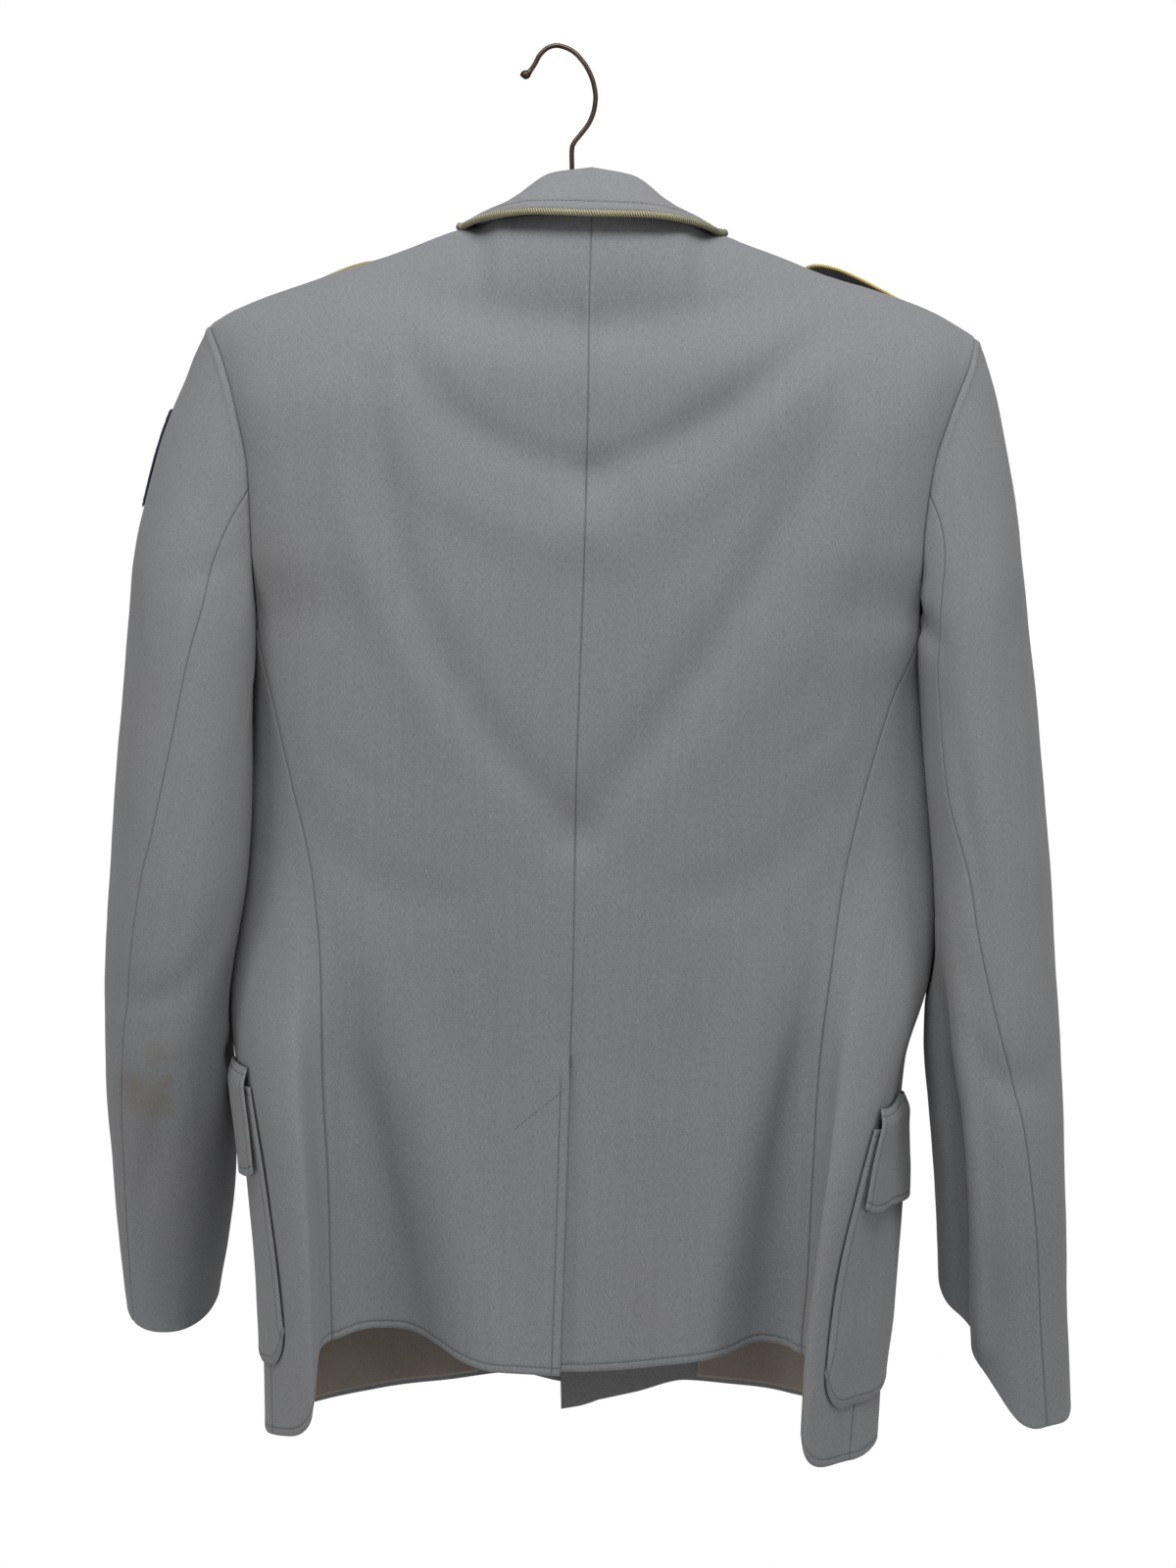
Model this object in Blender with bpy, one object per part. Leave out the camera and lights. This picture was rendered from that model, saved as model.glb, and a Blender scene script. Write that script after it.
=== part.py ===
"""Service jacket on a hanger, seen from the back: cloth panels as thin walls, hook at the origin. Sizes in millimetres, built in metres."""
import math
import bpy, bmesh
import numpy as np

# ---------------------------------------------------------------- sizes (millimetres)
WALL = 2.0          # cloth wall
SEAM = 0.2          # each panel stops this short of a seam
XC = 22.5           # centre of the neck, sideways from the hook
HALF = {"L": 236.0, "R": 237.5}      # shoulder end from the neck centre
DIR = {"L": -1.0, "R": 1.0}
ROUND = 105.0       # the shoulder rounds over this height
CAP = 130.0         # the sleeve head eases out of the armhole over this height
UNDERARM = -362.0
VENT = -632.0

def cols(names, *rows):
    a = np.array(sorted(rows), float)
    return {n: a[:, i] for i, n in enumerate(names.split())}

# outline of the body, a row for each height: back seam, mid side, front seam, front corner
BODY = {
    "L": cols("z x1 y1 xm ym x2 y2 xb yb",
        (-175, -213.5, -52, -214, 0, -213.5, 50, -196, 62),
        (-200, -203, -54, -208, 2, -203, 54, -190, 66),
        (-230, -194, -56, -203, 4, -193, 58, -182, 70),
        (-270, -186, -56, -198, 5, -185, 60, -172, 72),
        (-316, -184, -52, -193, 6, -182, 58, -170, 72),
        (-362, -182, -36, -190, 8, -184, 50, -170, 70),
        (-409, -172, -40, -191, 4, -188, 44, -176, 66),
        (-469, -158, -43, -192, -2, -196, 36, -184, 60),
        (-520, -147, -47, -190, -10, -201, 28, -190, 56),
        (-576, -142, -54, -188, -24, -205, 14, -196, 48),
        (-633, -141, -58, -179, -42, -198, -5, -194, 32),
        (-700, -137, -62, -167, -54, -186, -21, -187, 12),
        (-760, -135, -63, -159, -60, -177.5, -38, -181, -6),
        (-800, -134, -63, -156.5, -61, -173, -50, -179, -20),
        (-850, -134, -63, -156, -61, -171, -54, -178, -28)),
    "R": cols("z x1 y1 xm ym x2 y2 xb yb",
        (-175, 260, -50, 262, 0, 260, 50, 246, 62),
        (-200, 253.5, -54, 258, 2, 253, 54, 240, 66),
        (-230, 241.5, -56, 250, 4, 242, 58, 230, 70),
        (-270, 229, -56, 243, 5, 232, 60, 220, 72),
        (-316, 223.5, -53, 236, 6, 227, 58, 216, 72),
        (-362, 223, -36, 232, 8, 226, 50, 214, 70),
        (-409, 205, -40, 238, 4, 235, 44, 222, 66),
        (-469, 187, -43, 239, -2, 239, 36, 227, 60),
        (-520, 175, -47, 238, -9, 241, 28, 229, 56),
        (-576, 167, -55, 228, -24, 233, 12, 225, 46),
        (-633, 160, -60, 205, -46, 214, -15, 217, 26),
        (-700, 154.5, -65, 184, -61, 199, -35, 212, 4),
        (-760, 150, -66, 170, -65, 188, -51, 206, -13),
        (-800, 145.5, -66, 165, -66, 184, -55, 202, -20),
        (-865, 144.5, -66, 160, -66, 178, -60, 196, -31))}
# middle of the back and front: back seam, mid back, centre front
MID = cols("z xc yc yk xf ys yf yq",
        (-109, 22.5, -58, -60, 22, 50, 60, 66),
        (-162, 21, -62, -66, 22, 62, 70, 74),
        (-234, 20, -69, -74, 21, 72, 80, 81),
        (-317, 18, -73, -74, 20, 79, 86, 87),
        (-399, 15, -71, -70, 18, 82, 90, 92),
        (-458, 13, -68, -66, 18, 81, 89, 91),
        (-517, 12, -64, -62, 19, 79, 87, 90),
        (-576, 11, -62, -59, 20, 77, 85, 88),
        (-629, 9, -60, -57, 21, 74, 83, 87),
        (-724, 6, -62, -56, 24, 69, 80, 85),
        (-865, 1, -67, -55, 27, 64, 79, 84))
# the side fold stands out behind the back side seam
RIDGE = cols("z left right", (-500, 0, 0), (-576, 7, 8), (-633, 21, 17), (-680, 28, 25), (-755, 33, 32), (-865, 35, 35))
# shoulder and back neck line: distance from the neck centre, height left and right, depth
SHOULDER = cols("a zl zr y",
        (0, -109, -109, -50), (30, -110, -110.4, -46), (54, -112, -112.6, -35), (72, -113, -115.5, -8),
        (85, -115.5, -119.5, -8), (92, -118, -122.5, -8), (117, -127.5, -131.5, -8), (150, -138, -144, -7),
        (178, -148, -153, -6), (207, -158, -163.5, -5), (225, -166, -173, -4), (238, -174, -181, -3))
# front neck and roll line
NECKLINE = cols("s a y z", (2.6, 72, -8, -114.25), (2.68, 70, 22, -126), (2.76, 62, 50, -152), (2.86, 46, 70, -205),
        (3.0, 12, 88, -345), (3.1, -8, 92, -392), (3.2, -20, 92, -412))
# hems, along the stations of the outline
HEM = {
    "L": cols("s z", (0, -814), (.29, -812), (.43, -807), (.57, -799), (.73, -791), (.82, -790), (1, -794), (1.1, -800),
        (1.22, -832), (1.42, -844), (1.65, -848.5), (2, -851.5), (2.15, -851), (2.4, -847), (2.6, -842), (2.8, -838), (2.92, -845), (3.2, -850)),
    "R": cols("s z", (0, -812), (.28, -811), (.5, -808), (.72, -803), (.86, -799), (1, -803), (1.1, -813),
        (1.22, -849), (1.42, -862), (1.65, -866), (2, -866), (2.15, -862), (2.4, -849), (2.6, -844), (2.75, -842), (2.9, -851), (3.1, -860), (3.2, -862))}
# folds: path by three points (x, z), width at both ends, depth at start, middle and end (minus is a trough)
FOLDS = {
    "back": [
        ("under the collar", (-85, -154), (24, -182), (138, -154), 11, 11, -1.2, -2.6, -1.2),
        ("band below", (-80, -184), (24, -222), (132, -186), 15, 15, .8, 2.2, .8),
        ("upper V right", (168, -176), (104, -232), (22, -272), 12, 14, -2.5, -5.0, -3.5),
        ("upper V left", (-92, -184), (-56, -240), (20, -272), 12, 14, -1.5, -3.6, -3.5),
        ("V ridge right", (152, -214), (92, -276), (22, -306), 14, 16, 1.5, 3.2, 2.0),
        ("V ridge left", (-98, -232), (-60, -286), (20, -306), 14, 16, 1.5, 2.6, 2.0),
        ("long V right", (176, -222), (118, -340), (14, -487), 13, 16, -2.6, -5.2, -4.2),
        ("long V left", (-108, -214), (-84, -350), (12, -487), 12, 15, -2.6, -4.2, -4.0),
        ("blade ridge left", (-128, -220), (-112, -330), (-62, -424), 13, 15, 1.8, 3.2, .8),
        ("blade ridge right", (196, -250), (160, -350), (96, -440), 13, 15, 1.2, 2.4, .8),
        ("skirt trough left", (-128, -560), (-122, -690), (-106, -830), 13, 25, -1.0, -8.0, -19.0),
        ("skirt trough right", (160, -560), (150, -690), (132, -840), 12, 24, -1.0, -9.0, -19.0),
        ("skirt ridge left", (-74, -600), (-66, -710), (-52, -830), 20, 26, .4, 2.5, 5.0),
        ("skirt ridge right", (100, -610), (92, -710), (84, -830), 18, 22, .3, 2.0, 4.0),
        ("waist right", (170, -470), (110, -520), (50, -515), 14, 16, -1.0, -1.8, -.5),
        ("waist left", (-150, -480), (-95, -525), (-30, -520), 14, 16, -1.0, -1.8, -.5)],
    "front": [
        ("chest left", (-150, -300), (-110, -420), (-60, -520), 20, 22, -1.5, -4.0, -1.5),
        ("chest right", (190, -300), (150, -420), (100, -520), 20, 22, -1.5, -4.0, -1.5),
        ("waist left", (-170, -520), (-100, -560), (-30, -548), 16, 20, -1.5, -3.5, -1.0),
        ("waist right", (210, -520), (140, -556), (70, -545), 16, 20, -1.5, -3.5, -1.0),
        ("skirt left", (-84, -620), (-76, -740), (-68, -860), 22, 30, -1.0, -3.0, -6.0),
        ("skirt right", (120, -620), (114, -740), (104, -860), 22, 30, -1.0, -3.0, -6.0)]}
# sleeves, a row for each height: outer and inner edge, middle and half of the depth, slant of the section
SLEEVE = {
    "L": cols("z xo xi ym h sl",
        (-172, -216, -208, -3, 8, 0), (-177, -219, -206, -3, 20, 0), (-192, -226, -201, -2, 33, 0), (-208, -232, -197, 0, 44, 0),
        (-223, -238, -194, 1, 50, 0), (-247, -246, -190, 2, 57, 0), (-275, -253, -186, 3, 62, 0), (-321, -262, -182, 4, 66, 0),
        (-360, -266, -181, 4, 68, -.05), (-407, -270, -183, 4, 67, -.08), (-458, -274.5, -186, 4, 66, -.10),
        (-514, -278, -191, 4, 64, -.12), (-550, -280.5, -196, 6, 62, -.10), (-600, -282, -202, 13, 59, -.06),
        (-652, -282.5, -202, 28, 57, -.02), (-695, -281.5, -204, 46, 54, 0), (-749, -281, -212, 72, 50, 0),
        (-790, -280, -221, 96, 47, 0), (-820, -278, -226, 108, 46, 0)),
    "R": cols("z xo xi ym h sl",
        (-180, 263, 254, -3, 8, 0), (-185, 266.5, 252, -3, 20, 0), (-199, 271, 246, -2, 33, 0), (-214, 275, 240, 0, 44, 0),
        (-230, 278, 237, 1, 50, 0), (-252, 281.5, 233, 2, 57, 0), (-280, 285, 229, 3, 62, 0), (-328, 290, 222, 4, 66, 0),
        (-362, 294, 222, 4, 68, .05), (-410, 300, 226, 4, 67, .10), (-458, 304, 229, 3, 66, .12),
        (-517, 308, 233, -1, 63, .10), (-551, 309, 230, -4, 61, .06), (-619, 311, 229, -8, 57, -.03),
        (-660, 312, 233, -8, 55, -.08), (-721, 314, 238, -4, 52, -.09), (-783, 317, 241, 6, 49, -.08),
        (-850, 321, 249, 14, 47, -.06))}
# where the two sleeve seams run round the tube, in degrees from the outer edge towards the back
HIND = {
    "L": cols("z p", (-289, 88), (-330, 92), (-383, 88), (-434, 80), (-490, 68), (-517, 61), (-575, 57), (-675, 50), (-820, 42)),
    "R": cols("z p", (-289, 88), (-320, 100), (-350, 113), (-383, 125), (-403, 129), (-462, 125), (-515, 111), (-576, 99),
        (-635, 88), (-693, 80), (-752, 74), (-850, 70))}
FORE = {"L": cols("z p", (-300, 244), (-560, 238), (-820, 232)), "R": cols("z p", (-300, 244), (-560, 238), (-850, 232))}
CUFF = {"L": (-793.0, 16.0, 0.0, 0.0), "R": (-806.0, 33.0, 30.0, 12.0)}     # height, rise to the front, drop to the outside, dip at the back
# sleeve folds: path by (degrees, z), widths in millimetres, depths
SLEEVE_FOLDS = {
    "L": [("dent under the armhole", (110, -316), (90, -330), (70, -332), 9, 9, -.6, -1.6, -.6),
          ("elbow", (120, -560), (85, -590), (40, -580), 11, 12, -1.0, -3.2, -1.0),
          ("forearm", (100, -640), (80, -690), (60, -760), 12, 16, -1.0, -2.6, -1.0),
          ("upper arm", (60, -380), (54, -450), (60, -540), 14, 16, .5, 2.4, .5),
          ("inner elbow", (250, -560), (290, -590), (330, -585), 12, 12, -1.0, -4.0, -1.0),
          ("bend", (240, -620), (285, -640), (320, -632), 12, 12, -1.0, -3.5, -1.0)],
    "R": [("dent under the armhole", (152, -338), (138, -354), (118, -372), 8, 10, -2.0, -4.2, -1.0),
          ("long dent", (112, -420), (104, -500), (100, -580), 12, 14, -.8, -2.6, -1.0),
          ("elbow", (118, -610), (84, -640), (40, -630), 12, 13, -1.0, -3.0, -1.0),
          ("forearm ridge", (120, -590), (122, -700), (122, -800), 8, 8, 1.5, 4.2, 3.2),
          ("forearm trough", (148, -590), (150, -710), (150, -800), 11, 11, -1.0, -5.0, -3.5),
          ("upper arm", (50, -380), (46, -460), (50, -560), 14, 16, .5, 2.2, .5),
          ("inner elbow", (250, -560), (290, -590), (330, -585), 12, 12, -1.0, -4.0, -1.0),
          ("bend", (240, -640), (285, -656), (320, -650), 12, 12, -1.0, -3.0, -1.0)]}
# lower pockets, in cells of their base: lines from the rear edge to the front edge, top, lower edge, lower edge of the flap
POCKET = {"left": dict(full=.5, cols=(1.0, 1.12, 1.35, 1.7, 2, 3, 4, 5, 5.3, 5.6, 5.8, 5.9), top=6.6, low=10.56, flap=7.95),
          "right": dict(full=2.2, cols=(.36, .48, .7, 1, 1.4, 2, 3, 4, 5, 5.25, 5.48, 5.6), top=7.0, low=10.76, flap=8.1)}
# collar, a row for each section: seam, fold and edge, each by distance from the neck centre, depth and height
COLLAR = cols("t as_ ys zs af yf zf ae ye ze",
        (0, 0, -50, -108.6, 0, -44, -82.4, 0, -65, -111.4),
        (1, 30, -46, -109.4, 24.5, -40.5, -86.0, 34, -62, -110.8),
        (2, 53, -34.5, -111.8, 44, -28.5, -96.8, 61, -46, -111.6),
        (3, 69.5, -8.5, -113.8, 55, -6, -101.5, 79, -15, -114.6),
        (4, 68.5, 22, -126, 57, 20, -111, 81, 18, -118.5),
        (5, 62, 50, -150, 50, 46, -133, 84, 54, -148),
        (6, 55, 60, -168, 48, 57, -157, 90, 68, -176))
# lapel, a row for each section down the roll line: roll edge (distance, height), outer edge
LAPEL = cols("t ar zr ao zo", (0, 53, -181, 98, -192), (.25, 50, -192, 136, -206), (1, 38, -236, 112, -268),
        (2, 22, -300, 76, -322), (3, 8, -356, 34, -366), (4, -1, -386, 8, -391))
# shoulder strap: distance from the neck centre, half width, lift off the shoulder left and right
STRAP = cols("a w ll lr", (126.5, 5, 3.5, 4.0), (129.5, 13, 4.6, 5.5), (136, 18, 5.6, 9.0), (150, 19, 5.0, 10.4), (172, 20, 2.2, 6.8),
        (195, 20.5, .3, 2.5), (214, 21, .2, .3), (231, 21, .2, .2))
STRAP_Y = 39.0      # the strap lies this far in front of the top of the shoulder
# fall of the shoulder in front of its top line
FALL = cols("d drop", (0, 0), (10, 1.6), (20, 5.6), (30, 12.4), (40, 22), (50, 35), (60, 52))
# hook, from the tip to the foot: sideways, height, radius
HOOK = [(-20.2, -18.6, .6), (-20.0, -18.3, 2.0), (-19.3, -17.0, 3.0), (-17.6, -15.9, 2.6), (-15.9, -14.2, 1.6), (-12.8, -9.6, 1.5),
        (-10.1, -4.6, 1.5), (-5.9, -.4, 1.5), (-1.7, 1.4, 1.5), (2.2, 1.5, 1.5), (7.6, -.2, 1.5), (11.6, -2.6, 1.5), (14.9, -5.8, 1.5),
        (19.2, -11.6, 1.5), (22.7, -19.1, 1.5), (24.5, -26.9, 1.5), (24.7, -32.8, 1.5), (23.4, -40.2, 1.5), (20.4, -47.2, 1.5),
        (15.4, -53.8, 1.5), (11.6, -58.6, 1.5), (10.1, -63, 1.5), (10.1, -73, 1.5), (10.4, -90, 1.5), (11.0, -108, 1.5), (11.3, -115, 1.5),
        (11.4, -117.4, 3.2), (11.5, -118.4, 4.6), (11.5, -120.6, 4.8), (11.5, -121.2, 3.9)]
# hanger bar: distance from the neck centre, top height below the shoulder line, half height, half depth
BAR = cols("a drop h d", (0, 0, 11, 7.0), (60, 0, 11, 7.0), (110, 0, 10.5, 6.6), (165, 0, 9, 6.2), (190, 0, 7.5, 5.6), (200, 0, 5.5, 4.5), (205, 1.5, 2.5, 2.5))
BUTTONS = [-412, -498, -584, -668]      # heights of the four front buttons

# ---------------------------------------------------------------- curves and outlines
def curve(q, xs, ys):
    """value at q on a smooth curve through the rows, with no overshoot"""
    h = np.diff(xs); s = np.diff(ys) / h
    m = np.zeros(len(xs)); m[0], m[-1] = s[0], s[-1]
    for i in range(1, len(xs) - 1):
        if s[i - 1] * s[i] > 0:
            a, b = 2 * h[i] + h[i - 1], h[i] + 2 * h[i - 1]
            m[i] = (a + b) / (a / s[i - 1] + b / s[i])
    q = np.clip(np.asarray(q, float), xs[0], xs[-1])
    k = np.clip(np.searchsorted(xs, q, side="right") - 1, 0, len(xs) - 2)
    t = (q - xs[k]) / h[k]
    return ((1 + 2 * t) * (1 - t) ** 2 * ys[k] + t * (1 - t) ** 2 * h[k] * m[k]
            + t * t * (3 - 2 * t) * ys[k + 1] - t * t * (1 - t) * h[k] * m[k + 1])

def at(table, name, q, key="z"):
    return curve(q, table[key], table[name])

def smooth(x):
    x = np.clip(x, 0, 1)
    return x * x * (3 - 2 * x)

def unit(v):
    return v / np.maximum(np.linalg.norm(v, axis=-1, keepdims=True), 1e-9)

def hermite(P, s, knots):
    """point at station s on a smooth curve through the points P (stations, n, 2)"""
    d = np.linalg.norm(np.diff(P, axis=0), axis=-1) + 1e-6          # chord lengths
    c = np.concatenate([np.zeros((1, d.shape[1])), np.cumsum(d, axis=0)])
    v = np.diff(P, axis=0) / d[..., None]
    m = np.empty_like(P); m[0], m[-1] = v[0], v[-1]
    m[1:-1] = (v[:-1] * d[1:, :, None] + v[1:] * d[:-1, :, None]) / (d[1:] + d[:-1])[..., None]
    k = np.clip(np.searchsorted(knots, s, side="right") - 1, 0, len(knots) - 2)
    i = np.arange(len(s))
    t = ((s - knots[k]) / (knots[k + 1] - knots[k]))[:, None]
    h = d[k, i][:, None]
    return ((1 + 2 * t) * (1 - t) ** 2 * P[k, i] + t * (1 - t) ** 2 * h * m[k, i]
            + t * t * (3 - 2 * t) * P[k + 1, i] - t * t * (1 - t) * h * m[k + 1, i])

KNOTS = np.array([-.55, 0, .55, 1, 1.5, 2, 2.15, 2.42, 2.75, 3, 3.25])

def ring(side, s, z):
    """outline of the body at station s and height z: 0 back seam, 1 side seam, 2 front seam, 3 centre front"""
    s = np.asarray(s, float); z = np.asarray(z, float)
    s, z = np.broadcast_arrays(s, z); shape = s.shape; s, z = s.ravel(), z.ravel()
    b = BODY[side]
    xc, yc, yk = at(MID, "xc", z), at(MID, "yc", z), at(MID, "yk", z)
    xf, ys, yf, yq = (at(MID, n, z) for n in ("xf", "ys", "yf", "yq"))
    x1, y1, xm, ym, x2, y2, xb, yb = (at(b, n, z) for n in ("x1", "y1", "xm", "ym", "x2", "y2", "xb", "yb"))
    bx = xc + .55 * (x1 - xc)
    P = np.stack([np.stack(p, -1) for p in (
        (2 * xc - bx, yk), (xc, yc), (bx, yk), (x1, y1), (xm, ym), (x2, y2), (xb, yb),
        (xb + .28 * (xf - xb), ys), (xb + .66 * (xf - xb), yf), (xf, yq), (xf - DIR[side] * 30, yq))])
    p = hermite(P, s, KNOTS)
    # side fold
    amp = at(RIDGE, "left" if side == "L" else "right", z)
    rise, lean = ((.20, .06) if side == "L" else (.15, -.17))
    w = smooth((s - 1) / rise) * (1 - smooth((s - 1 - rise) / (1.02 - rise)))
    p = p + (amp * w)[:, None] * np.array([lean, -1.0])
    return p.reshape(shape + (2,))

def bezier(a, b, c, n=14):
    t = np.linspace(0, 1, n + 1)[:, None]
    a, b, c = (np.array(v, float) for v in (a, b, c))
    b = 2 * b - (a + c) / 2                              # the curve passes through the middle point
    return a * (1 - t) ** 2 + 2 * b * t * (1 - t) + c * t * t

def folds(rows, u, z):
    """sum of the folds at (u, z): troughs are minus"""
    out = np.zeros(np.broadcast(u, z).shape)
    q = np.stack(np.broadcast_arrays(u, z), -1)
    for _, a, b, c, w0, w1, d0, d1, d2 in rows:
        path = bezier(a, b, c); n = len(path) - 1
        best = np.full(out.shape, 1e9); along = np.zeros(out.shape)
        for i in range(n):
            e = path[i + 1] - path[i]
            t = np.clip(((q - path[i]) @ e) / (e @ e), 0, 1)
            d = np.linalg.norm(q - path[i] - t[..., None] * e, axis=-1)
            near = d < best
            best = np.where(near, d, best); along = np.where(near, (i + t) / n, along)
        w = w0 + (w1 - w0) * along
        amp = curve(along, np.array([0, .5, 1.0]), np.array([d0, d1, d2], float))
        out += amp * np.exp(-(best / w) ** 2)
    return out

def top_line(side, s):
    """top boundary of the panels at station s"""
    s = np.asarray(s, float); d = DIR[side]; zn = "zl" if side == "L" else "zr"
    x = np.zeros(s.shape); y = np.zeros(s.shape); z = np.zeros(s.shape)
    back = s <= 1
    a = np.abs(s) * HALF[side]
    front_a = HALF[side] * (1 - (s - 2) / .6 * 164 / 236)
    a = np.where(back, a, np.clip(front_a, 72 / 236 * HALF[side], HALF[side]))
    x, y, z = XC + d * a, at(SHOULDER, "y", a, "a"), at(SHOULDER, zn, a, "a")
    side_ = (s > 1) & (s < 2)
    zu = UNDERARM - 12 * np.sin(np.pi * np.clip(s - 1, 0, 1)) + 6 * np.clip(s - 1, 0, 1)
    r = ring(side, s, zu)
    x, y, z = (np.where(side_, v, w) for v, w in ((r[..., 0], x), (r[..., 1], y), (zu, z)))
    neck = s > 2.6
    n = lambda name: at(NECKLINE, name, s, "s")
    x, y, z = (np.where(neck, v, w) for v, w in ((XC + d * n("a") * HALF[side] / 236, x), (n("y"), y), (n("z") - .0175 * d * n("a"), z)))
    return np.stack([x, y, z], -1)

def hem(side, s):
    return at(HEM[side], "z", s, "s")

def cover(u):
    """share of the way from the shoulder line out to the outline, rounded like a shoulder"""
    u = np.clip(u, 0, 1)
    return np.sqrt(np.maximum(0, 1 - (1 - u) ** 2))

def body(side, s, z):
    """outer face of the body at station s and height z"""
    s, z = np.broadcast_arrays(np.asarray(s, float), np.asarray(z, float))
    top = top_line(side, s)
    r, rt = ring(side, s, z), ring(side, s, top[..., 2])
    u = (top[..., 2] - z) / ROUND
    open_ = ((s <= 1) | (s >= 2))
    lean = np.where(open_, (1 - np.clip(u, 0, 1)) ** 2, 0)
    gap = np.where(open_, 1 - cover(u), 0)
    x = r[..., 0] + (top[..., 0] - rt[..., 0]) * lean
    y = r[..., 1] + (top[..., 1] - rt[..., 1]) * gap
    # folds along the outline's own normal
    e = .01
    t = ring(side, np.clip(s + e, 0, 3.2), z) - ring(side, np.clip(s - e, -.2, 3.2), z)
    n = unit(np.stack([t[..., 1], -t[..., 0]], -1)) * (-1.0 if side == "L" else 1.0)
    fade = smooth(u * 2.0) * (1 - smooth((np.abs(s - 1.5) < .5) * (s - 1.0) / .35))
    amp = np.where(s < 2, folds(FOLDS["back"], x, z) * fade, folds(FOLDS["front"], x, z) * smooth(u))
    # vent and front overlap
    v = smooth((VENT + 16 - z) / 16)
    if side == "L":
        amp = amp + .9 * v * (1 - smooth(np.abs(s) / .16)) * (s < 1) + 2.2 * smooth((s - 2.64) / .22) * smooth((-300 - z) / 60)
    else:
        amp = amp - 1.9 * v * (1 - smooth(np.abs(s) / .10)) * (s < 1) - 2.2 * smooth((s - 2.64) / .22) * smooth((-300 - z) / 60)
    return np.stack([x + n[..., 0] * amp, y + n[..., 1] * amp, z], -1)

# ---------------------------------------------------------------- grids
def refine(knots, f):
    k = np.asarray(knots, float)
    return np.interp(np.arange((len(k) - 1) * f + 1) / f, np.arange(len(k)), k)

UPPER = (np.arange(8) / 7.0) ** 1.7
LOWER = np.array([0, .09, .18, .27, .36, .45, .53, .5975, .68, .77, .86, .955, 1.0])
BACK_A = np.array([0, 30, 54, 72, 112, 153, 195, 236]) / 236.0
SIDE_S = 1 + np.array([0, .1, .2, .42, .64, .83, 1.0])
FRONT_S = np.concatenate([2 + .6 * (236 - np.array([236, 195, 153, 112, 72.])) / 164.0, [2.68, 2.76, 2.86, 3.0, 3.1, 3.2]])

def split_level(s):
    """height where the upper rows of a panel end"""
    return np.where(s <= 1, UNDERARM, UNDERARM + 6 - 84 * np.clip(s - 2, 0, 1.2) / 1.2)

def panel(side, s, f):
    up, lo = refine(UPPER, f), refine(LOWER, f)
    s = np.asarray(s, float)
    top, low = top_line(side, s)[..., 2], hem(side, s)
    if s[0] >= 1 and s[-1] <= 2:
        top = UNDERARM - 12 * np.sin(np.pi * (s - 1)) + 6 * (s - 1)
        z = top[None] + (low - top)[None] * lo[:, None]
    else:
        mid = split_level(s)
        z = np.concatenate([top[None] + (mid - top)[None] * up[:, None], (mid[None] + (low - mid)[None] * lo[:, None])[1:]])
    S = np.broadcast_to(s[None], z.shape)
    return body(side, S, z), S

def grid_normals(P, flip=1.0):
    du = np.gradient(P, axis=1); dv = np.gradient(P, axis=0)
    return unit(np.cross(du, dv)) * flip

def body_grids(f=1):
    """outer faces of the six body panels, with rows from the top down"""
    g = {}
    for side, word in (("L", "left"), ("R", "right")):
        flip = -1.0 if side == "R" else 1.0
        for name, s in (("back", refine(BACK_A, f)), ("side", refine(SIDE_S, f)), ("front", refine(FRONT_S, f))):
            P, S = panel(side, s, f)
            N = grid_normals(P, 1.0)
            mid = P.mean((0, 1)); out = {"back": (0, -1, .1), "side": (DIR[side], -.4, 0), "front": (0, 1, .1)}[name]
            if (N * np.array(out)).sum(-1).mean() < 0: N = -N
            g[name + "_" + word] = dict(P=P, N=N, S=S)
    return g

def weld(grids):
    """share the normals of points that two panels have in common"""
    keys, acc = {}, []
    for g in grids:
        k = np.round(g["P"] * 50).astype(int)
        g["K"] = k
        b = np.zeros(k.shape[:2], bool); b[0] = b[-1] = True; b[:, 0] = b[:, -1] = True
        g["B"] = b
        for i, j in zip(*np.nonzero(b)):
            keys.setdefault(tuple(k[i, j]), []).append(g["N"][i, j])
    for g in grids:
        N = g["N"].copy()
        for i, j in zip(*np.nonzero(g["B"])):
            own = g["N"][i, j]; all_ = keys[tuple(g["K"][i, j])]
            if len(all_) > 1:
                m = unit(np.sum(all_, 0)); w = smooth((m @ own - .25) / .35)
                c = max(.6, m @ own)
                N[i, j] = unit(own * (1 - w) + m * w) * (1 + w * (1 / c - 1))
        g["N2"] = N

def inset(P, d, edges="tblr"):
    P = P.copy(); Q = P.copy()
    if "t" in edges: P[0] += unit(Q[1] - Q[0]) * d
    if "b" in edges: P[-1] += unit(Q[-2] - Q[-1]) * d
    if "l" in edges: P[:, 0] += unit(Q[:, 1] - Q[:, 0]) * d
    if "r" in edges: P[:, -1] += unit(Q[:, -2] - Q[:, -1]) * d
    return P

def nearest_on(polys, which, q):
    """signed distance and outward direction at points q (m, 2) from the outlines polys[which] (m, n, 2)"""
    a, b = polys[:, :-1][which], polys[:, 1:][which]
    e = b - a; L2 = (e ** 2).sum(-1) + 1e-9
    t = np.clip(((q[:, None] - a) * e).sum(-1) / L2, 0, 1)
    c = a + t[..., None] * e
    d = np.linalg.norm(q[:, None] - c, axis=-1)
    k = d.argmin(1); i = np.arange(len(q))
    n = unit(np.stack([e[i, k, 1], -e[i, k, 0]], -1))
    s = ((q - c[i, k]) * n).sum(-1)
    return np.where(s >= 0, d[i, k], -d[i, k]), n

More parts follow.
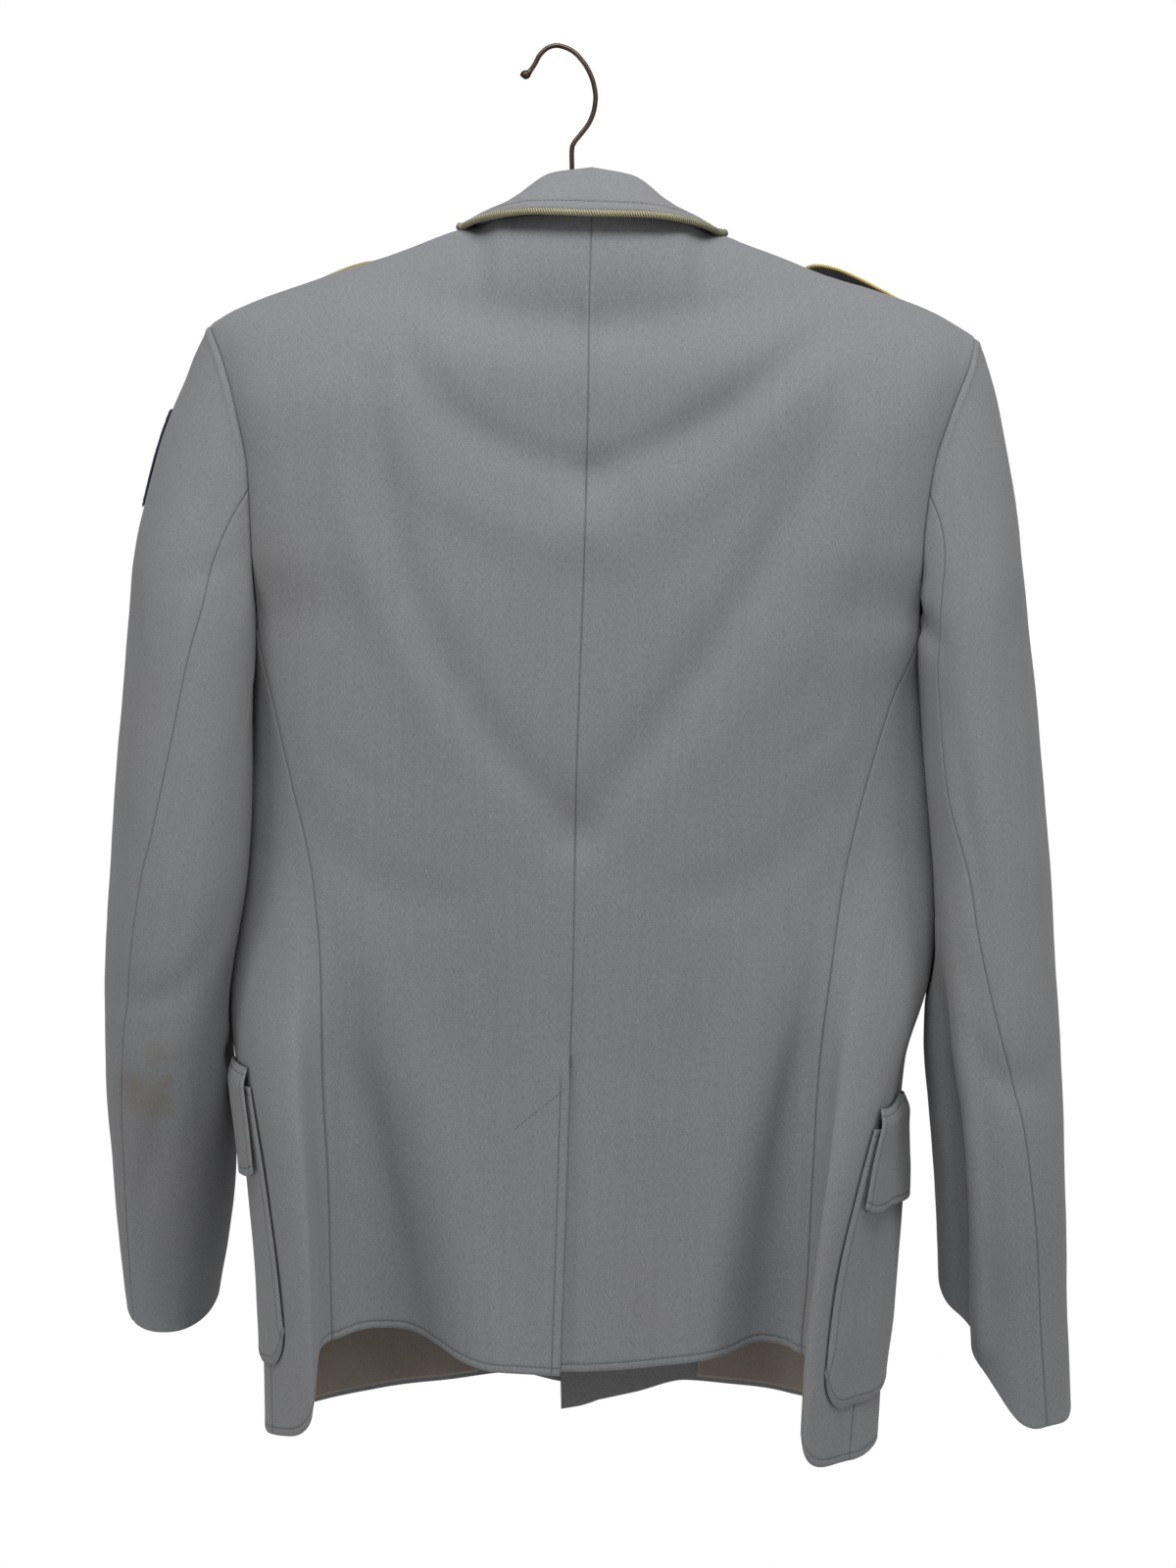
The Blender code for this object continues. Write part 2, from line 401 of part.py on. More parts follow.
def section(side, psi, z):
    """outline of the sleeve at angle psi (0 outside, 90 back, 180 inside, 270 front) and height z"""
    t = SLEEVE[side]
    xo, xi, ym, h, sl = (at(t, n, z) for n in ("xo", "xi", "ym", "h", "sl"))
    r = np.radians(psi); p = 2 / 2.25
    c = np.sign(np.cos(r)) * np.abs(np.cos(r)) ** p
    s_ = -np.sign(np.sin(r)) * np.abs(np.sin(r)) ** p
    y = h * s_
    return np.stack([(xo + xi) / 2 + (xo - xi) / 2 * c + sl * y, ym + y], -1)

def sleeve_grid(side, g, f=1):
    """sleeve as a tube from the armhole loop: columns round the loop, rows down to the cuff"""
    word = "left" if side == "L" else "right"
    back, sd, front = (g[n + "_" + word] for n in ("back", "side", "front"))
    nu = 7 * f
    loop = np.concatenate([back["P"][:nu + 1, -1], sd["P"][0, 1:], front["P"][:nu + 1, 0][::-1][1:-1]])
    nrm = np.concatenate([back["N"][:nu + 1, -1], sd["N"][0, 1:], front["N"][:nu + 1, 0][::-1][1:-1]])
    n = len(loop)
    step = np.linalg.norm(np.diff(np.concatenate([loop, loop[:1]]), axis=0), axis=-1)
    psi0 = np.concatenate([[0], np.cumsum(step)[:-1]]) / step.sum() * 360
    jh = 5 * f; jf = n - 6 * f                        # loop points where the two sleeve seams start
    out = {}
    vs = refine((np.arange(12) / 11.0) ** 1.35, f)
    for part, idx in (("top", list(range(jf - n, jh + 1))), ("under", list(range(jh, jf + 1)))):
        A = loop[idx]; p0 = psi0[idx].copy()
        if part == "top": p0 = np.where(np.array(idx) < 0, p0 - 360, p0)
        a0, a1 = p0[0], p0[-1]
        share = (p0 - a0) / (a1 - a0)
        zc = CUFF[side]
        z1 = np.zeros(len(idx))
        P = np.zeros((len(vs), len(idx), 3)); PSI = np.zeros((len(vs), len(idx)))
        for _ in range(3):
            for i, v in enumerate(vs):
                z = A[:, 2] + (z1 - A[:, 2]) * v if z1.any() else A[:, 2] + (zc[0] - A[:, 2]) * v
                hind, fore = at(HIND[side], "p", z), at(FORE[side], "p", z)
                if part == "top": lo_, hi_ = fore - 360, hind
                else: lo_, hi_ = hind, fore
                d = A[:, 2] - z
                mix = smooth(d / 60)
                psi = p0 * (1 - mix) + (lo_ + (hi_ - lo_) * share) * mix
                E = section(side, psi, z); E0 = section(side, p0, A[:, 2])
                w = (1 - np.clip(d / CAP, 0, 1)) ** 2
                xy = E + (A[:, :2] - E0) * w[:, None]
                P[i] = np.concatenate([xy, z[:, None]], -1); PSI[i] = psi
            last = np.radians(PSI[-1])
            z1 = zc[0] - zc[1] * np.sin(last) - zc[2] * np.cos(last) - zc[3] * np.exp(-((np.degrees(last) % 360 - 92) / 22) ** 2)
        # folds along the section's normal
        c = np.stack([(at(SLEEVE[side], "xo", P[..., 2]) + at(SLEEVE[side], "xi", P[..., 2])) / 2, at(SLEEVE[side], "ym", P[..., 2])], -1)
        rad = P[..., :2] - c
        nn = unit(rad / np.array([1.0, 2.2]))
        ang = PSI % 360
        rows = [(m, (a[0] * 1.15, a[1]), (b[0] * 1.15, b[1]), (e[0] * 1.15, e[1]), w0, w1, d0, d1, d2)
                for m, a, b, e, w0, w1, d0, d1, d2 in SLEEVE_FOLDS[side]]
        amp = folds(rows, ang * 1.15, P[..., 2]) * smooth((A[None, :, 2] - P[..., 2]) / 40)
        P[..., :2] += nn * amp[..., None]
        # hangs clear of the body
        pick = (ang > 20) & (ang < 340) & (P[..., 2] < UNDERARM + 6)
        pick[0] = False
        q = P[pick]
        levels = outlines(side)
        which = np.clip(np.round((UNDERARM + 8 - q[:, 2]) / 4).astype(int), 0, len(levels) - 1)
        dist, nv = nearest_on(levels, which, q[:, :2])
        need = .6 + (3.5 if f == 1 else .9) * smooth((np.broadcast_to(A[None, :, 2], P.shape[:2])[pick] - q[:, 2]) / 45)
        if side == "L":                                  # the pocket flap
            need = need + 5.5 * smooth((q[:, 2] + 712) / 16) * smooth((-614 - q[:, 2]) / 12)
        x = np.maximum(dist - need, -60)
        q[:, :2] += nv * (.5 * (np.sqrt(x * x + 2.0) - x))[:, None]
        P[pick] = q
        out[part] = dict(P=P, PSI=PSI, S=np.broadcast_to(share[None], PSI.shape), A=A, AN=nrm[idx])
    for part, q in out.items():
        N = grid_normals(q["P"])
        c = np.stack([(at(SLEEVE[side], "xo", q["P"][..., 2]) + at(SLEEVE[side], "xi", q["P"][..., 2])) / 2, at(SLEEVE[side], "ym", q["P"][..., 2])], -1)
        if ((q["P"][..., :2] - c) * N[..., :2]).sum(-1).mean() < 0: N = -N
        q["N"] = N
    return out

def outlines(side):
    """outline of the body below the armhole, one every 4 mm down"""
    ss = np.linspace(.55, 2.8, 91)
    z = UNDERARM + 8 - 4.0 * np.arange(125)
    S, Z = np.meshgrid(ss, z)
    p = ring(side, S, Z)
    return p[:, ::-1] if side == "L" else p

# ---------------------------------------------------------------- pieces that lie on the body
def sample(P, r, c):
    """points of a grid at fractional rows r and columns c"""
    r = np.clip(np.asarray(r, float), 0, P.shape[0] - 1); c = np.clip(np.asarray(c, float), 0, P.shape[1] - 1)
    i = np.minimum(r.astype(int), P.shape[0] - 2); j = np.minimum(c.astype(int), P.shape[1] - 2)
    a, b = (r - i)[:, None, None], (c - j)[None, :, None]
    return ((P[np.ix_(i, j)] * (1 - a) + P[np.ix_(i + 1, j)] * a) * (1 - b)
            + (P[np.ix_(i, j + 1)] * (1 - a) + P[np.ix_(i + 1, j + 1)] * a) * b)

def sample2(P, r, c):
    """points of a grid at fractional rows and columns given point by point"""
    i = np.clip(r.astype(int), 0, P.shape[0] - 2); j = np.clip(c.astype(int), 0, P.shape[1] - 2)
    a, b = (r - i)[..., None], (c - j)[..., None]
    return (P[i, j] * (1 - a) + P[i + 1, j] * a) * (1 - b) + (P[i, j + 1] * (1 - a) + P[i + 1, j + 1] * a) * b

def stand_off(P, clouds, need, rounds=2, soft=1.0):
    """move the points of P out until they clear the given faces"""
    C = np.concatenate([c[0].reshape(-1, 3) for c in clouds]); N = np.concatenate([c[1].reshape(-1, 3) for c in clouds])
    q = P.reshape(-1, 3).copy(); need = np.broadcast_to(need, P.shape[:-1]).ravel()
    for _ in range(rounds):
        for i in range(0, len(q), 400):
            p = q[i:i + 400]
            d2 = (p ** 2).sum(-1)[:, None] - 2 * p @ C.T + (C ** 2).sum(-1)[None]
            k = d2.argmin(1)
            x = ((p - C[k]) * N[k]).sum(-1) - need[i:i + 400]
            x = np.maximum(x, -40)
            q[i:i + 400] = p + N[k] * (.5 * (np.sqrt(x * x + soft) - x))[:, None]
    return q.reshape(P.shape)

def collar_sections(t):
    """seam, fold and edge of the collar at section t (minus is left)"""
    k = np.abs(t); d = np.where(t < 0, -1.0, 1.0)
    out = []
    for a, y, z in (("as_", "ys", "zs"), ("af", "yf", "zf"), ("ae", "ye", "ze")):
        x = d * at(COLLAR, a, k, "t")
        out.append(np.stack([XC + x, at(COLLAR, y, k, "t"), at(COLLAR, z, k, "t") - (.0175 if z == "zs" else .03) * x], -1))
    return out

def spline(points, q):
    """smooth curve through a list of points (k, n, 3) at parameters q 0..k-1"""
    P = np.stack(points); k = len(P)
    m = np.gradient(P, axis=0)
    q = np.asarray(q, float); i = np.clip(q.astype(int), 0, k - 2); t = (q - i)[:, None, None]
    return ((1 + 2 * t) * (1 - t) ** 2 * P[i] + t * (1 - t) ** 2 * m[i] + t * t * (3 - 2 * t) * P[i + 1] - t * t * (1 - t) * m[i + 1])

def collar_grid(clouds, f=1, need=5.2):
    t = refine(np.linspace(-6, 6, 25), f)
    S, F, E = collar_sections(t)
    o = E - F; o[:, 2] = 0; o = unit(o); up = np.array([0, 0, 1.0])
    fin, fout = F - o * 2.8 - up * 3.0, F + o * 2.8 - up * 2.0
    q = refine(np.array([0, 1, 2, 3, 4, 5, 6.0]), f)
    P = spline([S + up * .9 - o * .5, (S + fin) / 2, fin, F, fout, (fout + E) / 2 + o * 1.2, E], q)      # (q, t, 3)
    P = np.swapaxes(P, 0, 1)
    fall = smooth((q - 4.2) / 1.2)
    moved = stand_off(P, clouds, need)
    P = P + (moved - P) * fall[None, :, None]
    N = grid_normals(P)
    if (N[:, -1] * o).sum(-1).mean() < 0: N = -N
    return dict(P=P, N=N, q=q, t=t)

def undercollar_grid(collar, f=1, under=WALL + .5):
    c = np.interp(np.array([5.2, 5.97]), collar["q"], np.arange(len(collar["q"]))); c = refine(c, f)
    r = refine(np.linspace(8, 16, 9), f)
    r = np.interp(r, np.arange(25), np.arange(25) * f)
    P, N = sample(collar["P"], r, c), unit(sample(collar["N"], r, c))
    return dict(P=P - N * under, N=N)

def lapel_grid(side, clouds, f=1):
    t = refine(np.array([0, .25, .6, 1, 1.5, 2, 2.5, 3, 3.5, 4]), f)
    if side == "R": t = t * .84                             # the right tip ends under the left front
    w = refine(np.linspace(0, 1, 6), f)
    ar, zr, ao, zo = (at(LAPEL, n, t, "t")[:, None] for n in ("ar", "zr", "ao", "zo"))
    a, z = ar + (ao - ar) * w[None], zr + (zo - zr) * w[None]
    x = XC + DIR[side] * a
    lo, hi = np.full(x.shape, 2.0), np.full(x.shape, 3.2)
    for _ in range(24):                                   # station of the front under each point
        mid = (lo + hi) / 2
        more = (body(side, mid, z)[..., 0] - x) * DIR[side] > 0
        lo, hi = np.where(more, mid, lo), np.where(more, hi, mid)
    P = body(side, lo, z)
    P[..., 0] = x
    P[..., 1] += 3.2 + 2.0 * np.exp(-(w[None] / .25) ** 2) * (1 - t[:, None] / 4)
    P = stand_off(P, clouds, 3.1)
    N = grid_normals(P)
    if N[..., 1].mean() < 0: N = -N
    return dict(P=P, N=N)

def strap_grid(side, clouds, f=1):
    a = refine(STRAP["a"], f); v = refine(np.linspace(-1, 1, 5), f)
    w, lift = at(STRAP, "w", a, "a"), at(STRAP, "ll" if side == "L" else "lr", a, "a")
    d = v[None] * w[:, None] + STRAP_Y
    z0, yr = (at(SHOULDER, n, a, "a")[:, None] for n in ("zl" if side == "L" else "zr", "y"))
    P = np.stack([np.broadcast_to(XC + DIR[side] * a[:, None], d.shape), yr + d, z0 - at(FALL, "drop", d, "d")], -1)
    P = stand_off(P, clouds, 2.9 + 1.2 * smooth((d - 44) / 16), 3, .2)
    P = P + lift[:, None, None] * np.array([DIR[side] * .2, .25, .95])
    N = grid_normals(P)
    if N[..., 2].mean() < 0: N = -N
    return dict(P=P, N=N)

def strap_outline(strap):
    """line just outside the edge of the strap, for its piping"""
    P, N = strap["P"], strap["N"]
    line = np.concatenate([P[::-1, 0], P[0, 1:-1], P[:, -1]])
    up = np.concatenate([N[::-1, 0], N[0, 1:-1], N[:, -1]])
    c = P[len(P) // 2:, P.shape[1] // 2].mean(0)
    T = unit(np.gradient(line, axis=0)); out = unit(np.cross(T, up))
    if ((line - c) * out).sum(-1).mean() < 0: out = -out
    return line + out * 1.8 - up * .9, up

def pocket_base(g, word, f=1):
    """panel grid under a lower pocket: three cells of the side, four of the front, with its shared normals"""
    sd, fr = g["side_" + word], g["front_" + word]
    lo = slice(7 * f, None)
    P = np.concatenate([sd["P"][:, -1 - 3 * f:-1], fr["P"][lo][:, :4 * f + 1]], 1)
    N = np.concatenate([sd["N2"][:, -1 - 3 * f:-1], fr["N2"][lo][:, :4 * f + 1]], 1)
    return P, unit(N)

def pocket_grid(g, word, f=1):
    """lower pocket with rounded lower corners; its lines follow those of the panel"""
    P, N = pocket_base(g, word, f)
    k = POCKET[word]; c = refine(np.array(k["cols"]), f)
    q = np.clip(np.minimum((c - c[0]) / 1.4, (c[-1] - c) / .75), 0, 1)
    low = k["low"] - .46 * (1 - np.sqrt(np.maximum(0, 1 - (1 - q) ** 2)))
    t = refine(np.array([0, .6, 1.0]), f)
    rows = refine(np.array([k["top"]] + [v for v in (7, 8, 9, 10) if v > k["top"] + .1]), f)
    R = np.concatenate([np.broadcast_to(rows[:-1, None], (len(rows) - 1, len(c))), 10 + (low[None] - 10) * t[:, None]])
    C = np.broadcast_to(c[None], R.shape)
    B, M = sample2(P, R * f, C * f), unit(sample2(N, R * f, C * f))
    return dict(P=B + M * pocket_lift(word, C, R)[..., None], N=M)

def pocket_lift(word, c, r):
    """how far the outer face of a lower pocket stands off the panel: flat at the edges, fuller inside"""
    k = POCKET[word]; u = np.minimum((c - k["cols"][0]) / 1.3, (k["cols"][-1] - c) / .9)
    return 3.1 + k["full"] * smooth(u) * smooth((r - k["top"]) / .9) * smooth((k["low"] - .1 - r) / .9)

def flap_grid(g, word, f=1):
    P, N = pocket_base(g, word, f)
    k = POCKET[word]; rows = refine(np.array([0, .22, .6, 1.0]), f)
    c = np.array(k["cols"]); c = np.concatenate([[c[0] + .035], c[3:-2], [c[-1] - .06]])
    V, C = np.meshgrid(rows, refine(c, f), indexing="ij")
    u = (C - c[0]) / (c[-1] - c[0])
    C = C + V * (.22 * np.clip(1 - (C - c[0]) / (c[1] - c[0]), 0, 1) - .10 * np.clip(1 - (c[-1] - C) / (c[-1] - c[-2]), 0, 1))
    top, low = k["top"] - .36, k["flap"] + .14 * np.sin(np.pi * u)
    R = top + (low - top) * V
    B, M = sample2(P, R * f, C * f), unit(sample2(N, R * f, C * f))
    lift = pocket_lift(word, C, np.maximum(R, k["top"]))
    off = 3.4 + (lift + 3.3 - 3.4) * smooth(V / .22) + 1.0 * np.clip((V - .6) / .4, 0, 1)
    return dict(P=B + M * off[..., None], N=M)

def lining_grid(g, word, f=1):
    fr = g["front_" + word]; lo = slice(7 * f, None)
    r = refine(np.array([1, 2, 3, 4, 5, 6, 7, 8, 9, 10, 11, 11.86]), f); c = refine(np.array([.15, 1, 2, 3, 4, 5, 5.45]), f)
    r = np.interp(r, np.arange(13), np.arange(13) * f); c = np.interp(c, np.arange(11), np.arange(11) * f)
    P, N = sample(fr["P"][lo], r, c), sample(fr["N2"][lo], r, c)
    return dict(P=P - N * (WALL + .65 + 1.0), N=-N)

def patch_grid(sleeve, f=1):
    r = refine(np.array([1.75, 2, 2.5, 3, 3.1]), f); c = refine(np.array([3.7, 4, 5, 6, 6.4]), f)
    r = np.interp(r, np.arange(12), np.arange(12) * f); c = np.interp(c, np.arange(13), np.arange(13) * f)
    P, N = sample(sleeve["P"], r, c), unit(sample(sleeve["N"], r, c))
    return dict(P=P + N * 1.5, N=N)

def vent_tab(g, f=1):
    """the part of the right back that runs on under the left back below the vent"""
    left, right = g["back_left"], g["back_right"]
    k = 7 * f + 7 * f
    off = refine(np.array([38, 20, 5.0]), f)
    z = right["P"][k:, 0, 2]
    drop = 1 - (np.arange(len(z)) / max(1, len(z) - 1))
    Z = z[:, None] - 26 * (off[None] / 38) * drop[:, None] ** 1.2
    Z[-1] = z[-1] + 0 * off
    x1 = at(BODY["L"], "x1", Z) - at(MID, "xc", Z)
    S = off[None] / np.abs(x1)
    B = body("L", S, Z); Q = body("L", S + .02, Z)
    T = unit(Q - B); n = unit(np.stack([T[..., 1], -T[..., 0], 0 * T[..., 0]], -1))
    n = np.where(n[..., 1:2] > 0, -n, n)
    P = B - n * 2.8
    return k, P, n

# ---------------------------------------------------------------- solids
def slab(P, N, wall, mask=None):
    """closed solid: outer face P, wall inwards; returns points and faces"""
    r, c = P.shape[:2]
    mask = np.ones((r - 1, c - 1), bool) if mask is None else mask
    idx = -np.ones((r, c), int)
    used = np.zeros((r, c), bool)
    for di in (0, 1):
        for dj in (0, 1):
            used[di:r - 1 + di, dj:c - 1 + dj] |= mask
    idx[used] = np.arange(used.sum()); n = used.sum()
    V = np.concatenate([P[used], (P - N * wall)[used]])
    F = []; edges = {}
    for i, j in zip(*np.nonzero(mask)):
        a, b, d, e = idx[i, j], idx[i, j + 1], idx[i + 1, j + 1], idx[i + 1, j]
        F += [(a, b, d), (a, d, e), (a + n, d + n, b + n), (a + n, e + n, d + n)]
        for p, q in ((a, b), (b, d), (d, e), (e, a)):
            edges[(p, q)] = edges.get((p, q), 0) + 1
    for p, q in edges:
        if (q, p) not in edges: F += [(q, p, p + n), (q, p + n, q + n)]
    return V, F

def tube(path, radii, sides=10, side_axis=(0, 1, 0), depth=None):
    """closed tube along a path; the section may be deeper than high"""
    path = np.asarray(path, float); T = unit(np.gradient(path, axis=0))
    B = unit(np.array(side_axis, float)[None] - (T @ np.array(side_axis, float))[:, None] * T)
    U = np.cross(B, T)
    a = np.arange(sides) * 2 * np.pi / sides
    depth = radii if depth is None else depth
    R = path[:, None] + U[:, None] * (np.cos(a)[None] * np.asarray(radii)[:, None])[..., None] + B[:, None] * (np.sin(a)[None] * np.asarray(depth)[:, None])[..., None]
    n = len(path); V = R.reshape(-1, 3); F = []
    for i in range(n - 1):
        for j in range(sides):
            k = (j + 1) % sides
            F.append((i * sides + j, i * sides + k, (i + 1) * sides + k, (i + 1) * sides + j))
    F.append(tuple(range(sides - 1, -1, -1))); F.append(tuple((n - 1) * sides + j for j in range(sides)))
    return V, F

def disc(centre, axis, profile, sides=16):
    """turned button: profile of (radius, height) from the back to the crown"""
    w = unit(np.array(axis, float)); u = unit(np.cross(w, [0.3, 0.1, 1.0])); v = np.cross(w, u)
    a = np.arange(sides) * 2 * np.pi / sides
    V, F = [], []
    for r, h in profile:
        V.append(np.array(centre)[None] + w * h + r * (np.cos(a)[:, None] * u + np.sin(a)[:, None] * v))
    V = np.concatenate(V); m = len(profile)
    for i in range(m - 1):
        for j in range(sides):
            k = (j + 1) % sides
            F.append((i * sides + j, i * sides + k, (i + 1) * sides + k, (i + 1) * sides + j))
    F.append(tuple(range(sides - 1, -1, -1))); F.append(tuple((m - 1) * sides + j for j in range(sides)))
    return V, F

def bar_line(n=29):
    a = np.linspace(-205, 205, n)
    a = np.sign(a) * 205 * (1 - (1 - np.abs(a) / 205) ** 1.15)
    k = np.abs(a)
    zl, zr = at(SHOULDER, "zl", k, "a"), at(SHOULDER, "zr", k, "a")
    top = np.where(a < 0, zl, zr) - 6.0 - 1.4 * at(BAR, "drop", k, "a")
    top = np.where(k < 92, -122 + (np.where(a < 0, -126, -130.5) + 122) * smooth(k / 92), top)
    h = at(BAR, "h", k, "a")
    return np.stack([XC + a, np.full(n, -4.0), top - h], -1), h, at(BAR, "d", k, "a")

def all_solids():
    """every piece of the object: name -> (points, faces, slot)"""
    out = {}
    g = body_grids(1)
    sl = {"L": sleeve_grid("L", g), "R": sleeve_grid("R", g)}
    sleeves = [sl[s][p] for s in "LR" for p in ("top", "under")]
    weld(list(g.values()) + sleeves)
    for name, q in g.items():
        P = inset(q["P"], SEAM)
        if name == "back_right":
            k, T, Tn = vent_tab(g)
            P[k:, 0] = g[name]["P"][k:, 0]
            full = np.zeros((len(P), T.shape[1] + P.shape[1], 3)); nn = np.zeros_like(full)
            full[:, T.shape[1]:] = P; nn[:, T.shape[1]:] = q["N2"]
            full[k:, :T.shape[1]] = T; nn[k:, :T.shape[1]] = Tn
            mask = np.ones((full.shape[0] - 1, full.shape[1] - 1), bool); mask[:k, :T.shape[1]] = False
            out[name] = slab(full, nn, WALL, mask) + ("wool",)
            continue
        out[name] = slab(P, q["N2"], WALL) + ("wool",)
    for s, word in (("L", "left"), ("R", "right")):
        for part in ("top", "under"):
            q = sl[s][part]
            P = inset(inset(q["P"], SEAM), .25, "lr")
            P[0] += q["AN"] * .3
            out["sleeve_%s_%s" % (word, part)] = slab(P, q["N2"], WALL) + ("wool",)
    g3 = body_grids(3)
    clouds = [(g3[n]["P"], g3[n]["N"]) for n in ("back_left", "back_right", "front_left", "front_right")]
    col = collar_grid(clouds)
    out["collar"] = slab(col["P"], col["N"], WALL) + ("wool",)
    u = undercollar_grid(col)
    out["undercollar"] = slab(u["P"], u["N"], .7) + ("felt",)
    E = col["P"][:, -1]; fall = unit(E - col["P"][:, -2])
    line = E + fall * 2.9 - col["N"][:, -1] * 1.0
    ax = unit(col["N"][:, -1])
    T = unit(np.gradient(line, axis=0)); B = unit(ax - (T * ax).sum(-1)[:, None] * T); U = np.cross(B, T)
    a = np.arange(6) * np.pi / 3
    R = line[:, None] + 2.2 * (np.cos(a)[None, :, None] * U[:, None] + np.sin(a)[None, :, None] * B[:, None])
    n = len(line); F = [(i * 6 + j, i * 6 + (j + 1) % 6, (i + 1) * 6 + (j + 1) % 6, (i + 1) * 6 + j) for i in range(n - 1) for j in range(6)]
    F += [tuple(range(5, -1, -1)), tuple((n - 1) * 6 + j for j in range(6))]
    out["collar_cord"] = (R.reshape(-1, 3), F, "cord")
    fronts = {"L": [(g3["front_left"]["P"], g3["front_left"]["N"])], "R": [(g3["front_right"]["P"], g3["front_right"]["N"])]}
    shoulders = {s: fronts[s] + [(g3[n]["P"], g3[n]["N"])] for s, n in (("L", "back_left"), ("R", "back_right"))}
    for s, word in (("L", "left"), ("R", "right")):
        q = lapel_grid(s, fronts[s]); out["lapel_" + word] = slab(q["P"], q["N"], WALL) + ("wool",)
        q = pocket_grid(g, word); out["pocket_" + word] = slab(q["P"], q["N"], WALL) + ("wool",)
        q = flap_grid(g, word); out["flap_" + word] = slab(q["P"], q["N"], WALL) + ("wool",)
        q = lining_grid(g, word); out["lining_" + word] = slab(q["P"], q["N"], 1.0) + ("lining",)
        st = strap_grid(s, shoulders[s]); out["strap_" + word] = slab(st["P"], st["N"], WALL) + ("strap_cloth",)
        line, up = strap_outline(st)
        T = unit(np.gradient(line, axis=0)); B = unit(up - (T * up).sum(-1)[:, None] * T); U = np.cross(B, T)
        R = line[:, None] + 1.15 * (np.cos(a)[None, :, None] * U[:, None] + np.sin(a)[None, :, None] * B[:, None])
        n = len(line); F = [(i * 6 + j, i * 6 + (j + 1) % 6, (i + 1) * 6 + (j + 1) % 6, (i + 1) * 6 + j) for i in range(n - 1) for j in range(6)]
        F += [tuple(range(5, -1, -1)), tuple((n - 1) * 6 + j for j in range(6))]
        out["piping_" + word] = (R.reshape(-1, 3), F, "piping")
        nrm = st["N"][3, 2]
        out["strap_button_" + word] = disc(st["P"][3, 2] + nrm * .5, nrm, [(2.2, 0), (2.4, 1.4), (8.2, 2.0), (8.6, 3.0), (7.4, 4.4), (4.4, 5.4), (1.4, 5.8)], 14) + ("button_metal",)
    q = patch_grid(sl["L"]["top"]); out["sleeve_patch"] = slab(q["P"], q["N"], 1.0) + ("patch_cloth",)
    for i, z in enumerate(BUTTONS):
        p = body("L", np.array([2.97, 3.0, 3.03]), np.array([z, z, z], float))[1]
        out["front_button_%d" % (i + 1)] = disc(p + np.array([0, .9, 0]), (0, 1, 0), [(2.4, 0), (2.6, 1.6), (11.2, 2.4), (11.6, 3.6), (9.8, 5.6), (5.6, 7.0), (1.8, 7.4)], 16) + ("button_metal",)
    hook = np.array(HOOK)
    path = np.stack([hook[:, 0], 0 * hook[:, 0], hook[:, 1]], -1)
    out["hanger_hook"] = tube(path, hook[:, 2], 12) + ("hook_metal",)
    p, h, d = bar_line()
    out["hanger_bar"] = tube(p, h, 16, depth=d) + ("hanger_wood",)
    return out

# ---------------------------------------------------------------- object
MATERIALS = {
    "wool": ((0.205, 0.208, 0.218), 0.92, 0.0), "lining": ((0.105, 0.085, 0.070), 0.55, 0.0), "felt": ((0.020, 0.020, 0.023), 0.97, 0.0),
    "cord": ((0.42, 0.40, 0.24), 0.6, 0.0), "strap_cloth": ((0.115, 0.115, 0.125), 0.9, 0.0), "piping": ((0.60, 0.36, 0.035), 0.7, 0.0),
    "patch_cloth": ((0.020, 0.024, 0.048), 0.9, 0.0), "button_metal": ((0.52, 0.50, 0.46), 0.42, 1.0),
    "hanger_wood": ((0.16, 0.085, 0.042), 0.45, 0.0), "hook_metal": ((0.13, 0.105, 0.075), 0.38, 1.0)}

def clear():
    for o in list(bpy.data.objects):
        bpy.data.objects.remove(o, do_unlink=True)

def material(piece, slot):
    colour, rough, metal = MATERIALS[slot]
    m = bpy.data.materials.new(piece + "_" + slot); m.use_nodes = True
    b = m.node_tree.nodes["Principled BSDF"]
    b.inputs["Base Color"].default_value = (*colour, 1); b.inputs["Roughness"].default_value = rough; b.inputs["Metallic"].default_value = metal
    return m

def add(name, V, F, slot):
    mesh = bpy.data.meshes.new(name)
    mesh.from_pydata([tuple(float(c) * .001 for c in v) for v in V], [], [tuple(int(i) for i in f) for f in F])
    mesh.validate()
    bm = bmesh.new(); bm.from_mesh(mesh)
    bmesh.ops.recalc_face_normals(bm, faces=bm.faces)
    if bm.calc_volume(signed=True) < 0:
        bmesh.ops.reverse_faces(bm, faces=bm.faces)
    bm.to_mesh(mesh); bm.free()
    o = bpy.data.objects.new(name, mesh); bpy.context.scene.collection.objects.link(o)
    mesh.materials.append(material(name, slot))
    mesh.shade_smooth(); mesh.set_sharp_from_angle(angle=math.radians(42))
    return o

def main():
    clear()
    for name, (V, F, slot) in all_solids().items():
        add(name, V, F, slot)

main()
